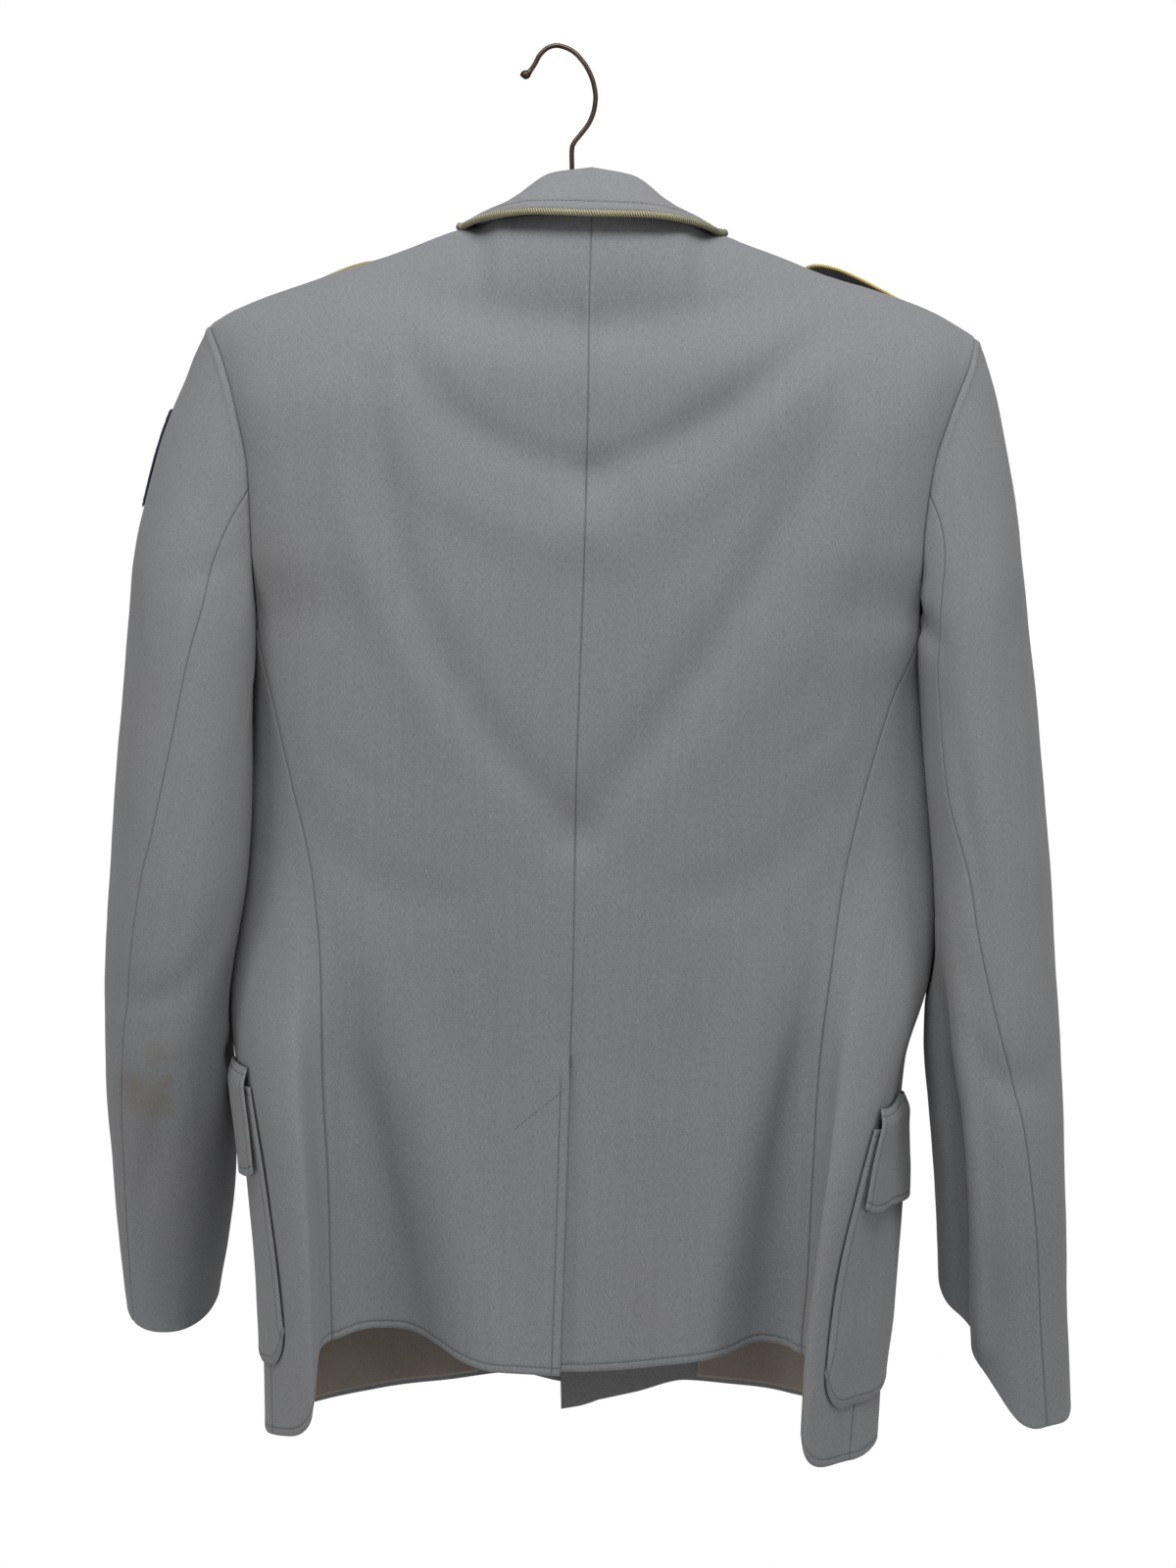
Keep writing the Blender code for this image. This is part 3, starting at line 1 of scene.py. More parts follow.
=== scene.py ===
"""Looks of a grey service jacket on a hanger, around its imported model. Sizes in millimetres, placed in metres."""
import math
import bpy, bmesh
import numpy as np
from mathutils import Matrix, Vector


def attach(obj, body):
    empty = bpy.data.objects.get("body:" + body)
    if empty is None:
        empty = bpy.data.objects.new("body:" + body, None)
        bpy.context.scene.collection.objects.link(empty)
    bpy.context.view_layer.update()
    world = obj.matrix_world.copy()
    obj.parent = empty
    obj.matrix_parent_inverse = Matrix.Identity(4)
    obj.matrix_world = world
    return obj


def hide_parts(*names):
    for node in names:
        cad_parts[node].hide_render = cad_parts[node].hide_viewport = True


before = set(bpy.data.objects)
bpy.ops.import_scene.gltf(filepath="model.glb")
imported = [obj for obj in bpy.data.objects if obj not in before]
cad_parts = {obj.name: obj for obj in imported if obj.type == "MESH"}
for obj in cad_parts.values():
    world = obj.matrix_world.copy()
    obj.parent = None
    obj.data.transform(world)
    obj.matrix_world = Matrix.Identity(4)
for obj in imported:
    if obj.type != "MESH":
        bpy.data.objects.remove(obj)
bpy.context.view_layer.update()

# ---------------------------------------------------------------- sizes (millimetres)
WALL = 2.0          # cloth wall
SEAM = 0.2          # each panel stops this short of a seam
XC = 22.5           # centre of the neck, sideways from the hook
HALF = {"L": 236.0, "R": 237.5}      # shoulder end from the neck centre
DIR = {"L": -1.0, "R": 1.0}
ROUND = 105.0       # the shoulder rounds over this height
CAP = 130.0         # the sleeve head eases out of the armhole over this height
UNDERARM = -362.0
VENT = -632.0

def cols(names, *rows):
    a = np.array(sorted(rows), float)
    return {n: a[:, i] for i, n in enumerate(names.split())}

# outline of the body, a row for each height: back seam, mid side, front seam, front corner
BODY = {
    "L": cols("z x1 y1 xm ym x2 y2 xb yb",
        (-175, -213.5, -52, -214, 0, -213.5, 50, -196, 62),
        (-200, -203, -54, -208, 2, -203, 54, -190, 66),
        (-230, -194, -56, -203, 4, -193, 58, -182, 70),
        (-270, -186, -56, -198, 5, -185, 60, -172, 72),
        (-316, -184, -52, -193, 6, -182, 58, -170, 72),
        (-362, -182, -36, -190, 8, -184, 50, -170, 70),
        (-409, -172, -40, -191, 4, -188, 44, -176, 66),
        (-469, -158, -43, -192, -2, -196, 36, -184, 60),
        (-520, -147, -47, -190, -10, -201, 28, -190, 56),
        (-576, -142, -54, -188, -24, -205, 14, -196, 48),
        (-633, -141, -58, -179, -42, -198, -5, -194, 32),
        (-700, -137, -62, -167, -54, -186, -21, -187, 12),
        (-760, -135, -63, -159, -60, -177.5, -38, -181, -6),
        (-800, -134, -63, -156.5, -61, -173, -50, -179, -20),
        (-850, -134, -63, -156, -61, -171, -54, -178, -28)),
    "R": cols("z x1 y1 xm ym x2 y2 xb yb",
        (-175, 260, -50, 262, 0, 260, 50, 246, 62),
        (-200, 253.5, -54, 258, 2, 253, 54, 240, 66),
        (-230, 241.5, -56, 250, 4, 242, 58, 230, 70),
        (-270, 229, -56, 243, 5, 232, 60, 220, 72),
        (-316, 223.5, -53, 236, 6, 227, 58, 216, 72),
        (-362, 223, -36, 232, 8, 226, 50, 214, 70),
        (-409, 205, -40, 238, 4, 235, 44, 222, 66),
        (-469, 187, -43, 239, -2, 239, 36, 227, 60),
        (-520, 175, -47, 238, -9, 241, 28, 229, 56),
        (-576, 167, -55, 228, -24, 233, 12, 225, 46),
        (-633, 160, -60, 205, -46, 214, -15, 217, 26),
        (-700, 154.5, -65, 184, -61, 199, -35, 212, 4),
        (-760, 150, -66, 170, -65, 188, -51, 206, -13),
        (-800, 145.5, -66, 165, -66, 184, -55, 202, -20),
        (-865, 144.5, -66, 160, -66, 178, -60, 196, -31))}
# middle of the back and front: back seam, mid back, centre front
MID = cols("z xc yc yk xf ys yf yq",
        (-109, 22.5, -58, -60, 22, 50, 60, 66),
        (-162, 21, -62, -66, 22, 62, 70, 74),
        (-234, 20, -69, -74, 21, 72, 80, 81),
        (-317, 18, -73, -74, 20, 79, 86, 87),
        (-399, 15, -71, -70, 18, 82, 90, 92),
        (-458, 13, -68, -66, 18, 81, 89, 91),
        (-517, 12, -64, -62, 19, 79, 87, 90),
        (-576, 11, -62, -59, 20, 77, 85, 88),
        (-629, 9, -60, -57, 21, 74, 83, 87),
        (-724, 6, -62, -56, 24, 69, 80, 85),
        (-865, 1, -67, -55, 27, 64, 79, 84))
# the side fold stands out behind the back side seam
RIDGE = cols("z left right", (-500, 0, 0), (-576, 7, 8), (-633, 21, 17), (-680, 28, 25), (-755, 33, 32), (-865, 35, 35))
# shoulder and back neck line: distance from the neck centre, height left and right, depth
SHOULDER = cols("a zl zr y",
        (0, -109, -109, -50), (30, -110, -110.4, -46), (54, -112, -112.6, -35), (72, -113, -115.5, -8),
        (85, -115.5, -119.5, -8), (92, -118, -122.5, -8), (117, -127.5, -131.5, -8), (150, -138, -144, -7),
        (178, -148, -153, -6), (207, -158, -163.5, -5), (225, -166, -173, -4), (238, -174, -181, -3))
# front neck and roll line
NECKLINE = cols("s a y z", (2.6, 72, -8, -114.25), (2.68, 70, 22, -126), (2.76, 62, 50, -152), (2.86, 46, 70, -205),
        (3.0, 12, 88, -345), (3.1, -8, 92, -392), (3.2, -20, 92, -412))
# hems, along the stations of the outline
HEM = {
    "L": cols("s z", (0, -814), (.29, -812), (.43, -807), (.57, -799), (.73, -791), (.82, -790), (1, -794), (1.1, -800),
        (1.22, -832), (1.42, -844), (1.65, -848.5), (2, -851.5), (2.15, -851), (2.4, -847), (2.6, -842), (2.8, -838), (2.92, -845), (3.2, -850)),
    "R": cols("s z", (0, -812), (.28, -811), (.5, -808), (.72, -803), (.86, -799), (1, -803), (1.1, -813),
        (1.22, -849), (1.42, -862), (1.65, -866), (2, -866), (2.15, -862), (2.4, -849), (2.6, -844), (2.75, -842), (2.9, -851), (3.1, -860), (3.2, -862))}
# folds: path by three points (x, z), width at both ends, depth at start, middle and end (minus is a trough)
FOLDS = {
    "back": [
        ("under the collar", (-85, -154), (24, -182), (138, -154), 11, 11, -1.2, -2.6, -1.2),
        ("band below", (-80, -184), (24, -222), (132, -186), 15, 15, .8, 2.2, .8),
        ("upper V right", (168, -176), (104, -232), (22, -272), 12, 14, -2.5, -5.0, -3.5),
        ("upper V left", (-92, -184), (-56, -240), (20, -272), 12, 14, -1.5, -3.6, -3.5),
        ("V ridge right", (152, -214), (92, -276), (22, -306), 14, 16, 1.5, 3.2, 2.0),
        ("V ridge left", (-98, -232), (-60, -286), (20, -306), 14, 16, 1.5, 2.6, 2.0),
        ("long V right", (176, -222), (118, -340), (14, -487), 13, 16, -2.6, -5.2, -4.2),
        ("long V left", (-108, -214), (-84, -350), (12, -487), 12, 15, -2.6, -4.2, -4.0),
        ("blade ridge left", (-128, -220), (-112, -330), (-62, -424), 13, 15, 1.8, 3.2, .8),
        ("blade ridge right", (196, -250), (160, -350), (96, -440), 13, 15, 1.2, 2.4, .8),
        ("skirt trough left", (-128, -560), (-122, -690), (-106, -830), 13, 25, -1.0, -8.0, -19.0),
        ("skirt trough right", (160, -560), (150, -690), (132, -840), 12, 24, -1.0, -9.0, -19.0),
        ("skirt ridge left", (-74, -600), (-66, -710), (-52, -830), 20, 26, .4, 2.5, 5.0),
        ("skirt ridge right", (100, -610), (92, -710), (84, -830), 18, 22, .3, 2.0, 4.0),
        ("waist right", (170, -470), (110, -520), (50, -515), 14, 16, -1.0, -1.8, -.5),
        ("waist left", (-150, -480), (-95, -525), (-30, -520), 14, 16, -1.0, -1.8, -.5)],
    "front": [
        ("chest left", (-150, -300), (-110, -420), (-60, -520), 20, 22, -1.5, -4.0, -1.5),
        ("chest right", (190, -300), (150, -420), (100, -520), 20, 22, -1.5, -4.0, -1.5),
        ("waist left", (-170, -520), (-100, -560), (-30, -548), 16, 20, -1.5, -3.5, -1.0),
        ("waist right", (210, -520), (140, -556), (70, -545), 16, 20, -1.5, -3.5, -1.0),
        ("skirt left", (-84, -620), (-76, -740), (-68, -860), 22, 30, -1.0, -3.0, -6.0),
        ("skirt right", (120, -620), (114, -740), (104, -860), 22, 30, -1.0, -3.0, -6.0)]}
# sleeves, a row for each height: outer and inner edge, middle and half of the depth, slant of the section
SLEEVE = {
    "L": cols("z xo xi ym h sl",
        (-172, -216, -208, -3, 8, 0), (-177, -219, -206, -3, 20, 0), (-192, -226, -201, -2, 33, 0), (-208, -232, -197, 0, 44, 0),
        (-223, -238, -194, 1, 50, 0), (-247, -246, -190, 2, 57, 0), (-275, -253, -186, 3, 62, 0), (-321, -262, -182, 4, 66, 0),
        (-360, -266, -181, 4, 68, -.05), (-407, -270, -183, 4, 67, -.08), (-458, -274.5, -186, 4, 66, -.10),
        (-514, -278, -191, 4, 64, -.12), (-550, -280.5, -196, 6, 62, -.10), (-600, -282, -202, 13, 59, -.06),
        (-652, -282.5, -202, 28, 57, -.02), (-695, -281.5, -204, 46, 54, 0), (-749, -281, -212, 72, 50, 0),
        (-790, -280, -221, 96, 47, 0), (-820, -278, -226, 108, 46, 0)),
    "R": cols("z xo xi ym h sl",
        (-180, 263, 254, -3, 8, 0), (-185, 266.5, 252, -3, 20, 0), (-199, 271, 246, -2, 33, 0), (-214, 275, 240, 0, 44, 0),
        (-230, 278, 237, 1, 50, 0), (-252, 281.5, 233, 2, 57, 0), (-280, 285, 229, 3, 62, 0), (-328, 290, 222, 4, 66, 0),
        (-362, 294, 222, 4, 68, .05), (-410, 300, 226, 4, 67, .10), (-458, 304, 229, 3, 66, .12),
        (-517, 308, 233, -1, 63, .10), (-551, 309, 230, -4, 61, .06), (-619, 311, 229, -8, 57, -.03),
        (-660, 312, 233, -8, 55, -.08), (-721, 314, 238, -4, 52, -.09), (-783, 317, 241, 6, 49, -.08),
        (-850, 321, 249, 14, 47, -.06))}
# where the two sleeve seams run round the tube, in degrees from the outer edge towards the back
HIND = {
    "L": cols("z p", (-289, 88), (-330, 92), (-383, 88), (-434, 80), (-490, 68), (-517, 61), (-575, 57), (-675, 50), (-820, 42)),
    "R": cols("z p", (-289, 88), (-320, 100), (-350, 113), (-383, 125), (-403, 129), (-462, 125), (-515, 111), (-576, 99),
        (-635, 88), (-693, 80), (-752, 74), (-850, 70))}
FORE = {"L": cols("z p", (-300, 244), (-560, 238), (-820, 232)), "R": cols("z p", (-300, 244), (-560, 238), (-850, 232))}
CUFF = {"L": (-793.0, 16.0, 0.0, 0.0), "R": (-806.0, 33.0, 30.0, 12.0)}     # height, rise to the front, drop to the outside, dip at the back
# sleeve folds: path by (degrees, z), widths in millimetres, depths
SLEEVE_FOLDS = {
    "L": [("dent under the armhole", (110, -316), (90, -330), (70, -332), 9, 9, -.6, -1.6, -.6),
          ("elbow", (120, -560), (85, -590), (40, -580), 11, 12, -1.0, -3.2, -1.0),
          ("forearm", (100, -640), (80, -690), (60, -760), 12, 16, -1.0, -2.6, -1.0),
          ("upper arm", (60, -380), (54, -450), (60, -540), 14, 16, .5, 2.4, .5),
          ("inner elbow", (250, -560), (290, -590), (330, -585), 12, 12, -1.0, -4.0, -1.0),
          ("bend", (240, -620), (285, -640), (320, -632), 12, 12, -1.0, -3.5, -1.0)],
    "R": [("dent under the armhole", (152, -338), (138, -354), (118, -372), 8, 10, -2.0, -4.2, -1.0),
          ("long dent", (112, -420), (104, -500), (100, -580), 12, 14, -.8, -2.6, -1.0),
          ("elbow", (118, -610), (84, -640), (40, -630), 12, 13, -1.0, -3.0, -1.0),
          ("forearm ridge", (120, -590), (122, -700), (122, -800), 8, 8, 1.5, 4.2, 3.2),
          ("forearm trough", (148, -590), (150, -710), (150, -800), 11, 11, -1.0, -5.0, -3.5),
          ("upper arm", (50, -380), (46, -460), (50, -560), 14, 16, .5, 2.2, .5),
          ("inner elbow", (250, -560), (290, -590), (330, -585), 12, 12, -1.0, -4.0, -1.0),
          ("bend", (240, -640), (285, -656), (320, -650), 12, 12, -1.0, -3.0, -1.0)]}
# lower pockets, in cells of their base: lines from the rear edge to the front edge, top, lower edge, lower edge of the flap
POCKET = {"left": dict(full=.5, cols=(1.0, 1.12, 1.35, 1.7, 2, 3, 4, 5, 5.3, 5.6, 5.8, 5.9), top=6.6, low=10.56, flap=7.95),
          "right": dict(full=2.2, cols=(.36, .48, .7, 1, 1.4, 2, 3, 4, 5, 5.25, 5.48, 5.6), top=7.0, low=10.76, flap=8.1)}
# collar, a row for each section: seam, fold and edge, each by distance from the neck centre, depth and height
COLLAR = cols("t as_ ys zs af yf zf ae ye ze",
        (0, 0, -50, -108.6, 0, -44, -82.4, 0, -65, -111.4),
        (1, 30, -46, -109.4, 24.5, -40.5, -86.0, 34, -62, -110.8),
        (2, 53, -34.5, -111.8, 44, -28.5, -96.8, 61, -46, -111.6),
        (3, 69.5, -8.5, -113.8, 55, -6, -101.5, 79, -15, -114.6),
        (4, 68.5, 22, -126, 57, 20, -111, 81, 18, -118.5),
        (5, 62, 50, -150, 50, 46, -133, 84, 54, -148),
        (6, 55, 60, -168, 48, 57, -157, 90, 68, -176))
# lapel, a row for each section down the roll line: roll edge (distance, height), outer edge
LAPEL = cols("t ar zr ao zo", (0, 53, -181, 98, -192), (.25, 50, -192, 136, -206), (1, 38, -236, 112, -268),
        (2, 22, -300, 76, -322), (3, 8, -356, 34, -366), (4, -1, -386, 8, -391))
# shoulder strap: distance from the neck centre, half width, lift off the shoulder left and right
STRAP = cols("a w ll lr", (126.5, 5, 3.5, 4.0), (129.5, 13, 4.6, 5.5), (136, 18, 5.6, 9.0), (150, 19, 5.0, 10.4), (172, 20, 2.2, 6.8),
        (195, 20.5, .3, 2.5), (214, 21, .2, .3), (231, 21, .2, .2))
STRAP_Y = 39.0      # the strap lies this far in front of the top of the shoulder
# fall of the shoulder in front of its top line
FALL = cols("d drop", (0, 0), (10, 1.6), (20, 5.6), (30, 12.4), (40, 22), (50, 35), (60, 52))
# hook, from the tip to the foot: sideways, height, radius
HOOK = [(-20.2, -18.6, .6), (-20.0, -18.3, 2.0), (-19.3, -17.0, 3.0), (-17.6, -15.9, 2.6), (-15.9, -14.2, 1.6), (-12.8, -9.6, 1.5),
        (-10.1, -4.6, 1.5), (-5.9, -.4, 1.5), (-1.7, 1.4, 1.5), (2.2, 1.5, 1.5), (7.6, -.2, 1.5), (11.6, -2.6, 1.5), (14.9, -5.8, 1.5),
        (19.2, -11.6, 1.5), (22.7, -19.1, 1.5), (24.5, -26.9, 1.5), (24.7, -32.8, 1.5), (23.4, -40.2, 1.5), (20.4, -47.2, 1.5),
        (15.4, -53.8, 1.5), (11.6, -58.6, 1.5), (10.1, -63, 1.5), (10.1, -73, 1.5), (10.4, -90, 1.5), (11.0, -108, 1.5), (11.3, -115, 1.5),
        (11.4, -117.4, 3.2), (11.5, -118.4, 4.6), (11.5, -120.6, 4.8), (11.5, -121.2, 3.9)]
# hanger bar: distance from the neck centre, top height below the shoulder line, half height, half depth
BAR = cols("a drop h d", (0, 0, 11, 7.0), (60, 0, 11, 7.0), (110, 0, 10.5, 6.6), (165, 0, 9, 6.2), (190, 0, 7.5, 5.6), (200, 0, 5.5, 4.5), (205, 1.5, 2.5, 2.5))
BUTTONS = [-412, -498, -584, -668]      # heights of the four front buttons

# ---------------------------------------------------------------- curves and outlines
def curve(q, xs, ys):
    """value at q on a smooth curve through the rows, with no overshoot"""
    h = np.diff(xs); s = np.diff(ys) / h
    m = np.zeros(len(xs)); m[0], m[-1] = s[0], s[-1]
    for i in range(1, len(xs) - 1):
        if s[i - 1] * s[i] > 0:
            a, b = 2 * h[i] + h[i - 1], h[i] + 2 * h[i - 1]
            m[i] = (a + b) / (a / s[i - 1] + b / s[i])
    q = np.clip(np.asarray(q, float), xs[0], xs[-1])
    k = np.clip(np.searchsorted(xs, q, side="right") - 1, 0, len(xs) - 2)
    t = (q - xs[k]) / h[k]
    return ((1 + 2 * t) * (1 - t) ** 2 * ys[k] + t * (1 - t) ** 2 * h[k] * m[k]
            + t * t * (3 - 2 * t) * ys[k + 1] - t * t * (1 - t) * h[k] * m[k + 1])

def at(table, name, q, key="z"):
    return curve(q, table[key], table[name])

def smooth(x):
    x = np.clip(x, 0, 1)
    return x * x * (3 - 2 * x)

def unit(v):
    return v / np.maximum(np.linalg.norm(v, axis=-1, keepdims=True), 1e-9)

def hermite(P, s, knots):
    """point at station s on a smooth curve through the points P (stations, n, 2)"""
    d = np.linalg.norm(np.diff(P, axis=0), axis=-1) + 1e-6          # chord lengths
    c = np.concatenate([np.zeros((1, d.shape[1])), np.cumsum(d, axis=0)])
    v = np.diff(P, axis=0) / d[..., None]
    m = np.empty_like(P); m[0], m[-1] = v[0], v[-1]
    m[1:-1] = (v[:-1] * d[1:, :, None] + v[1:] * d[:-1, :, None]) / (d[1:] + d[:-1])[..., None]
    k = np.clip(np.searchsorted(knots, s, side="right") - 1, 0, len(knots) - 2)
    i = np.arange(len(s))
    t = ((s - knots[k]) / (knots[k + 1] - knots[k]))[:, None]
    h = d[k, i][:, None]
    return ((1 + 2 * t) * (1 - t) ** 2 * P[k, i] + t * (1 - t) ** 2 * h * m[k, i]
            + t * t * (3 - 2 * t) * P[k + 1, i] - t * t * (1 - t) * h * m[k + 1, i])

KNOTS = np.array([-.55, 0, .55, 1, 1.5, 2, 2.15, 2.42, 2.75, 3, 3.25])

def ring(side, s, z):
    """outline of the body at station s and height z: 0 back seam, 1 side seam, 2 front seam, 3 centre front"""
    s = np.asarray(s, float); z = np.asarray(z, float)
    s, z = np.broadcast_arrays(s, z); shape = s.shape; s, z = s.ravel(), z.ravel()
    b = BODY[side]
    xc, yc, yk = at(MID, "xc", z), at(MID, "yc", z), at(MID, "yk", z)
    xf, ys, yf, yq = (at(MID, n, z) for n in ("xf", "ys", "yf", "yq"))
    x1, y1, xm, ym, x2, y2, xb, yb = (at(b, n, z) for n in ("x1", "y1", "xm", "ym", "x2", "y2", "xb", "yb"))
    bx = xc + .55 * (x1 - xc)
    P = np.stack([np.stack(p, -1) for p in (
        (2 * xc - bx, yk), (xc, yc), (bx, yk), (x1, y1), (xm, ym), (x2, y2), (xb, yb),
        (xb + .28 * (xf - xb), ys), (xb + .66 * (xf - xb), yf), (xf, yq), (xf - DIR[side] * 30, yq))])
    p = hermite(P, s, KNOTS)
    # side fold
    amp = at(RIDGE, "left" if side == "L" else "right", z)
    rise, lean = ((.20, .06) if side == "L" else (.15, -.17))
    w = smooth((s - 1) / rise) * (1 - smooth((s - 1 - rise) / (1.02 - rise)))
    p = p + (amp * w)[:, None] * np.array([lean, -1.0])
    return p.reshape(shape + (2,))

def bezier(a, b, c, n=14):
    t = np.linspace(0, 1, n + 1)[:, None]
    a, b, c = (np.array(v, float) for v in (a, b, c))
    b = 2 * b - (a + c) / 2                              # the curve passes through the middle point
    return a * (1 - t) ** 2 + 2 * b * t * (1 - t) + c * t * t

def folds(rows, u, z):
    """sum of the folds at (u, z): troughs are minus"""
    out = np.zeros(np.broadcast(u, z).shape)
    q = np.stack(np.broadcast_arrays(u, z), -1)
    for _, a, b, c, w0, w1, d0, d1, d2 in rows:
        path = bezier(a, b, c); n = len(path) - 1
        best = np.full(out.shape, 1e9); along = np.zeros(out.shape)
        for i in range(n):
            e = path[i + 1] - path[i]
            t = np.clip(((q - path[i]) @ e) / (e @ e), 0, 1)
            d = np.linalg.norm(q - path[i] - t[..., None] * e, axis=-1)
            near = d < best
            best = np.where(near, d, best); along = np.where(near, (i + t) / n, along)
        w = w0 + (w1 - w0) * along
        amp = curve(along, np.array([0, .5, 1.0]), np.array([d0, d1, d2], float))
        out += amp * np.exp(-(best / w) ** 2)
    return out

def top_line(side, s):
    """top boundary of the panels at station s"""
    s = np.asarray(s, float); d = DIR[side]; zn = "zl" if side == "L" else "zr"
    x = np.zeros(s.shape); y = np.zeros(s.shape); z = np.zeros(s.shape)
    back = s <= 1
    a = np.abs(s) * HALF[side]
    front_a = HALF[side] * (1 - (s - 2) / .6 * 164 / 236)
    a = np.where(back, a, np.clip(front_a, 72 / 236 * HALF[side], HALF[side]))
    x, y, z = XC + d * a, at(SHOULDER, "y", a, "a"), at(SHOULDER, zn, a, "a")
    side_ = (s > 1) & (s < 2)
    zu = UNDERARM - 12 * np.sin(np.pi * np.clip(s - 1, 0, 1)) + 6 * np.clip(s - 1, 0, 1)
    r = ring(side, s, zu)
    x, y, z = (np.where(side_, v, w) for v, w in ((r[..., 0], x), (r[..., 1], y), (zu, z)))
    neck = s > 2.6
    n = lambda name: at(NECKLINE, name, s, "s")
    x, y, z = (np.where(neck, v, w) for v, w in ((XC + d * n("a") * HALF[side] / 236, x), (n("y"), y), (n("z") - .0175 * d * n("a"), z)))
    return np.stack([x, y, z], -1)

def hem(side, s):
    return at(HEM[side], "z", s, "s")

def cover(u):
    """share of the way from the shoulder line out to the outline, rounded like a shoulder"""
    u = np.clip(u, 0, 1)
    return np.sqrt(np.maximum(0, 1 - (1 - u) ** 2))

def body(side, s, z):
    """outer face of the body at station s and height z"""
    s, z = np.broadcast_arrays(np.asarray(s, float), np.asarray(z, float))
    top = top_line(side, s)
    r, rt = ring(side, s, z), ring(side, s, top[..., 2])
    u = (top[..., 2] - z) / ROUND
    open_ = ((s <= 1) | (s >= 2))
    lean = np.where(open_, (1 - np.clip(u, 0, 1)) ** 2, 0)
    gap = np.where(open_, 1 - cover(u), 0)
    x = r[..., 0] + (top[..., 0] - rt[..., 0]) * lean
    y = r[..., 1] + (top[..., 1] - rt[..., 1]) * gap
    # folds along the outline's own normal
    e = .01
    t = ring(side, np.clip(s + e, 0, 3.2), z) - ring(side, np.clip(s - e, -.2, 3.2), z)
    n = unit(np.stack([t[..., 1], -t[..., 0]], -1)) * (-1.0 if side == "L" else 1.0)
    fade = smooth(u * 2.0) * (1 - smooth((np.abs(s - 1.5) < .5) * (s - 1.0) / .35))
    amp = np.where(s < 2, folds(FOLDS["back"], x, z) * fade, folds(FOLDS["front"], x, z) * smooth(u))
    # vent and front overlap
    v = smooth((VENT + 16 - z) / 16)
    if side == "L":
        amp = amp + .9 * v * (1 - smooth(np.abs(s) / .16)) * (s < 1) + 2.2 * smooth((s - 2.64) / .22) * smooth((-300 - z) / 60)
    else:
        amp = amp - 1.9 * v * (1 - smooth(np.abs(s) / .10)) * (s < 1) - 2.2 * smooth((s - 2.64) / .22) * smooth((-300 - z) / 60)
    return np.stack([x + n[..., 0] * amp, y + n[..., 1] * amp, z], -1)

# ---------------------------------------------------------------- grids
def refine(knots, f):
    k = np.asarray(knots, float)
    return np.interp(np.arange((len(k) - 1) * f + 1) / f, np.arange(len(k)), k)

UPPER = (np.arange(8) / 7.0) ** 1.7
LOWER = np.array([0, .09, .18, .27, .36, .45, .53, .5975, .68, .77, .86, .955, 1.0])
BACK_A = np.array([0, 30, 54, 72, 112, 153, 195, 236]) / 236.0
SIDE_S = 1 + np.array([0, .1, .2, .42, .64, .83, 1.0])
FRONT_S = np.concatenate([2 + .6 * (236 - np.array([236, 195, 153, 112, 72.])) / 164.0, [2.68, 2.76, 2.86, 3.0, 3.1, 3.2]])

def split_level(s):
    """height where the upper rows of a panel end"""
    return np.where(s <= 1, UNDERARM, UNDERARM + 6 - 84 * np.clip(s - 2, 0, 1.2) / 1.2)

def panel(side, s, f):
    up, lo = refine(UPPER, f), refine(LOWER, f)
    s = np.asarray(s, float)
    top, low = top_line(side, s)[..., 2], hem(side, s)
    if s[0] >= 1 and s[-1] <= 2:
        top = UNDERARM - 12 * np.sin(np.pi * (s - 1)) + 6 * (s - 1)
        z = top[None] + (low - top)[None] * lo[:, None]
    else:
        mid = split_level(s)
        z = np.concatenate([top[None] + (mid - top)[None] * up[:, None], (mid[None] + (low - mid)[None] * lo[:, None])[1:]])
    S = np.broadcast_to(s[None], z.shape)
    return body(side, S, z), S

def grid_normals(P, flip=1.0):
    du = np.gradient(P, axis=1); dv = np.gradient(P, axis=0)
    return unit(np.cross(du, dv)) * flip

def body_grids(f=1):
    """outer faces of the six body panels, with rows from the top down"""
    g = {}
    for side, word in (("L", "left"), ("R", "right")):
        flip = -1.0 if side == "R" else 1.0
        for name, s in (("back", refine(BACK_A, f)), ("side", refine(SIDE_S, f)), ("front", refine(FRONT_S, f))):
            P, S = panel(side, s, f)
            N = grid_normals(P, 1.0)
            mid = P.mean((0, 1)); out = {"back": (0, -1, .1), "side": (DIR[side], -.4, 0), "front": (0, 1, .1)}[name]
            if (N * np.array(out)).sum(-1).mean() < 0: N = -N
            g[name + "_" + word] = dict(P=P, N=N, S=S)
    return g

def weld(grids):
    """share the normals of points that two panels have in common"""
    keys, acc = {}, []
    for g in grids:
        k = np.round(g["P"] * 50).astype(int)
        g["K"] = k
        b = np.zeros(k.shape[:2], bool); b[0] = b[-1] = True; b[:, 0] = b[:, -1] = True
        g["B"] = b
        for i, j in zip(*np.nonzero(b)):
            keys.setdefault(tuple(k[i, j]), []).append(g["N"][i, j])
    for g in grids:
        N = g["N"].copy()
        for i, j in zip(*np.nonzero(g["B"])):
            own = g["N"][i, j]; all_ = keys[tuple(g["K"][i, j])]
            if len(all_) > 1:
                m = unit(np.sum(all_, 0)); w = smooth((m @ own - .25) / .35)
                c = max(.6, m @ own)
                N[i, j] = unit(own * (1 - w) + m * w) * (1 + w * (1 / c - 1))
        g["N2"] = N

def inset(P, d, edges="tblr"):
    P = P.copy(); Q = P.copy()
    if "t" in edges: P[0] += unit(Q[1] - Q[0]) * d
    if "b" in edges: P[-1] += unit(Q[-2] - Q[-1]) * d
    if "l" in edges: P[:, 0] += unit(Q[:, 1] - Q[:, 0]) * d
    if "r" in edges: P[:, -1] += unit(Q[:, -2] - Q[:, -1]) * d
    return P

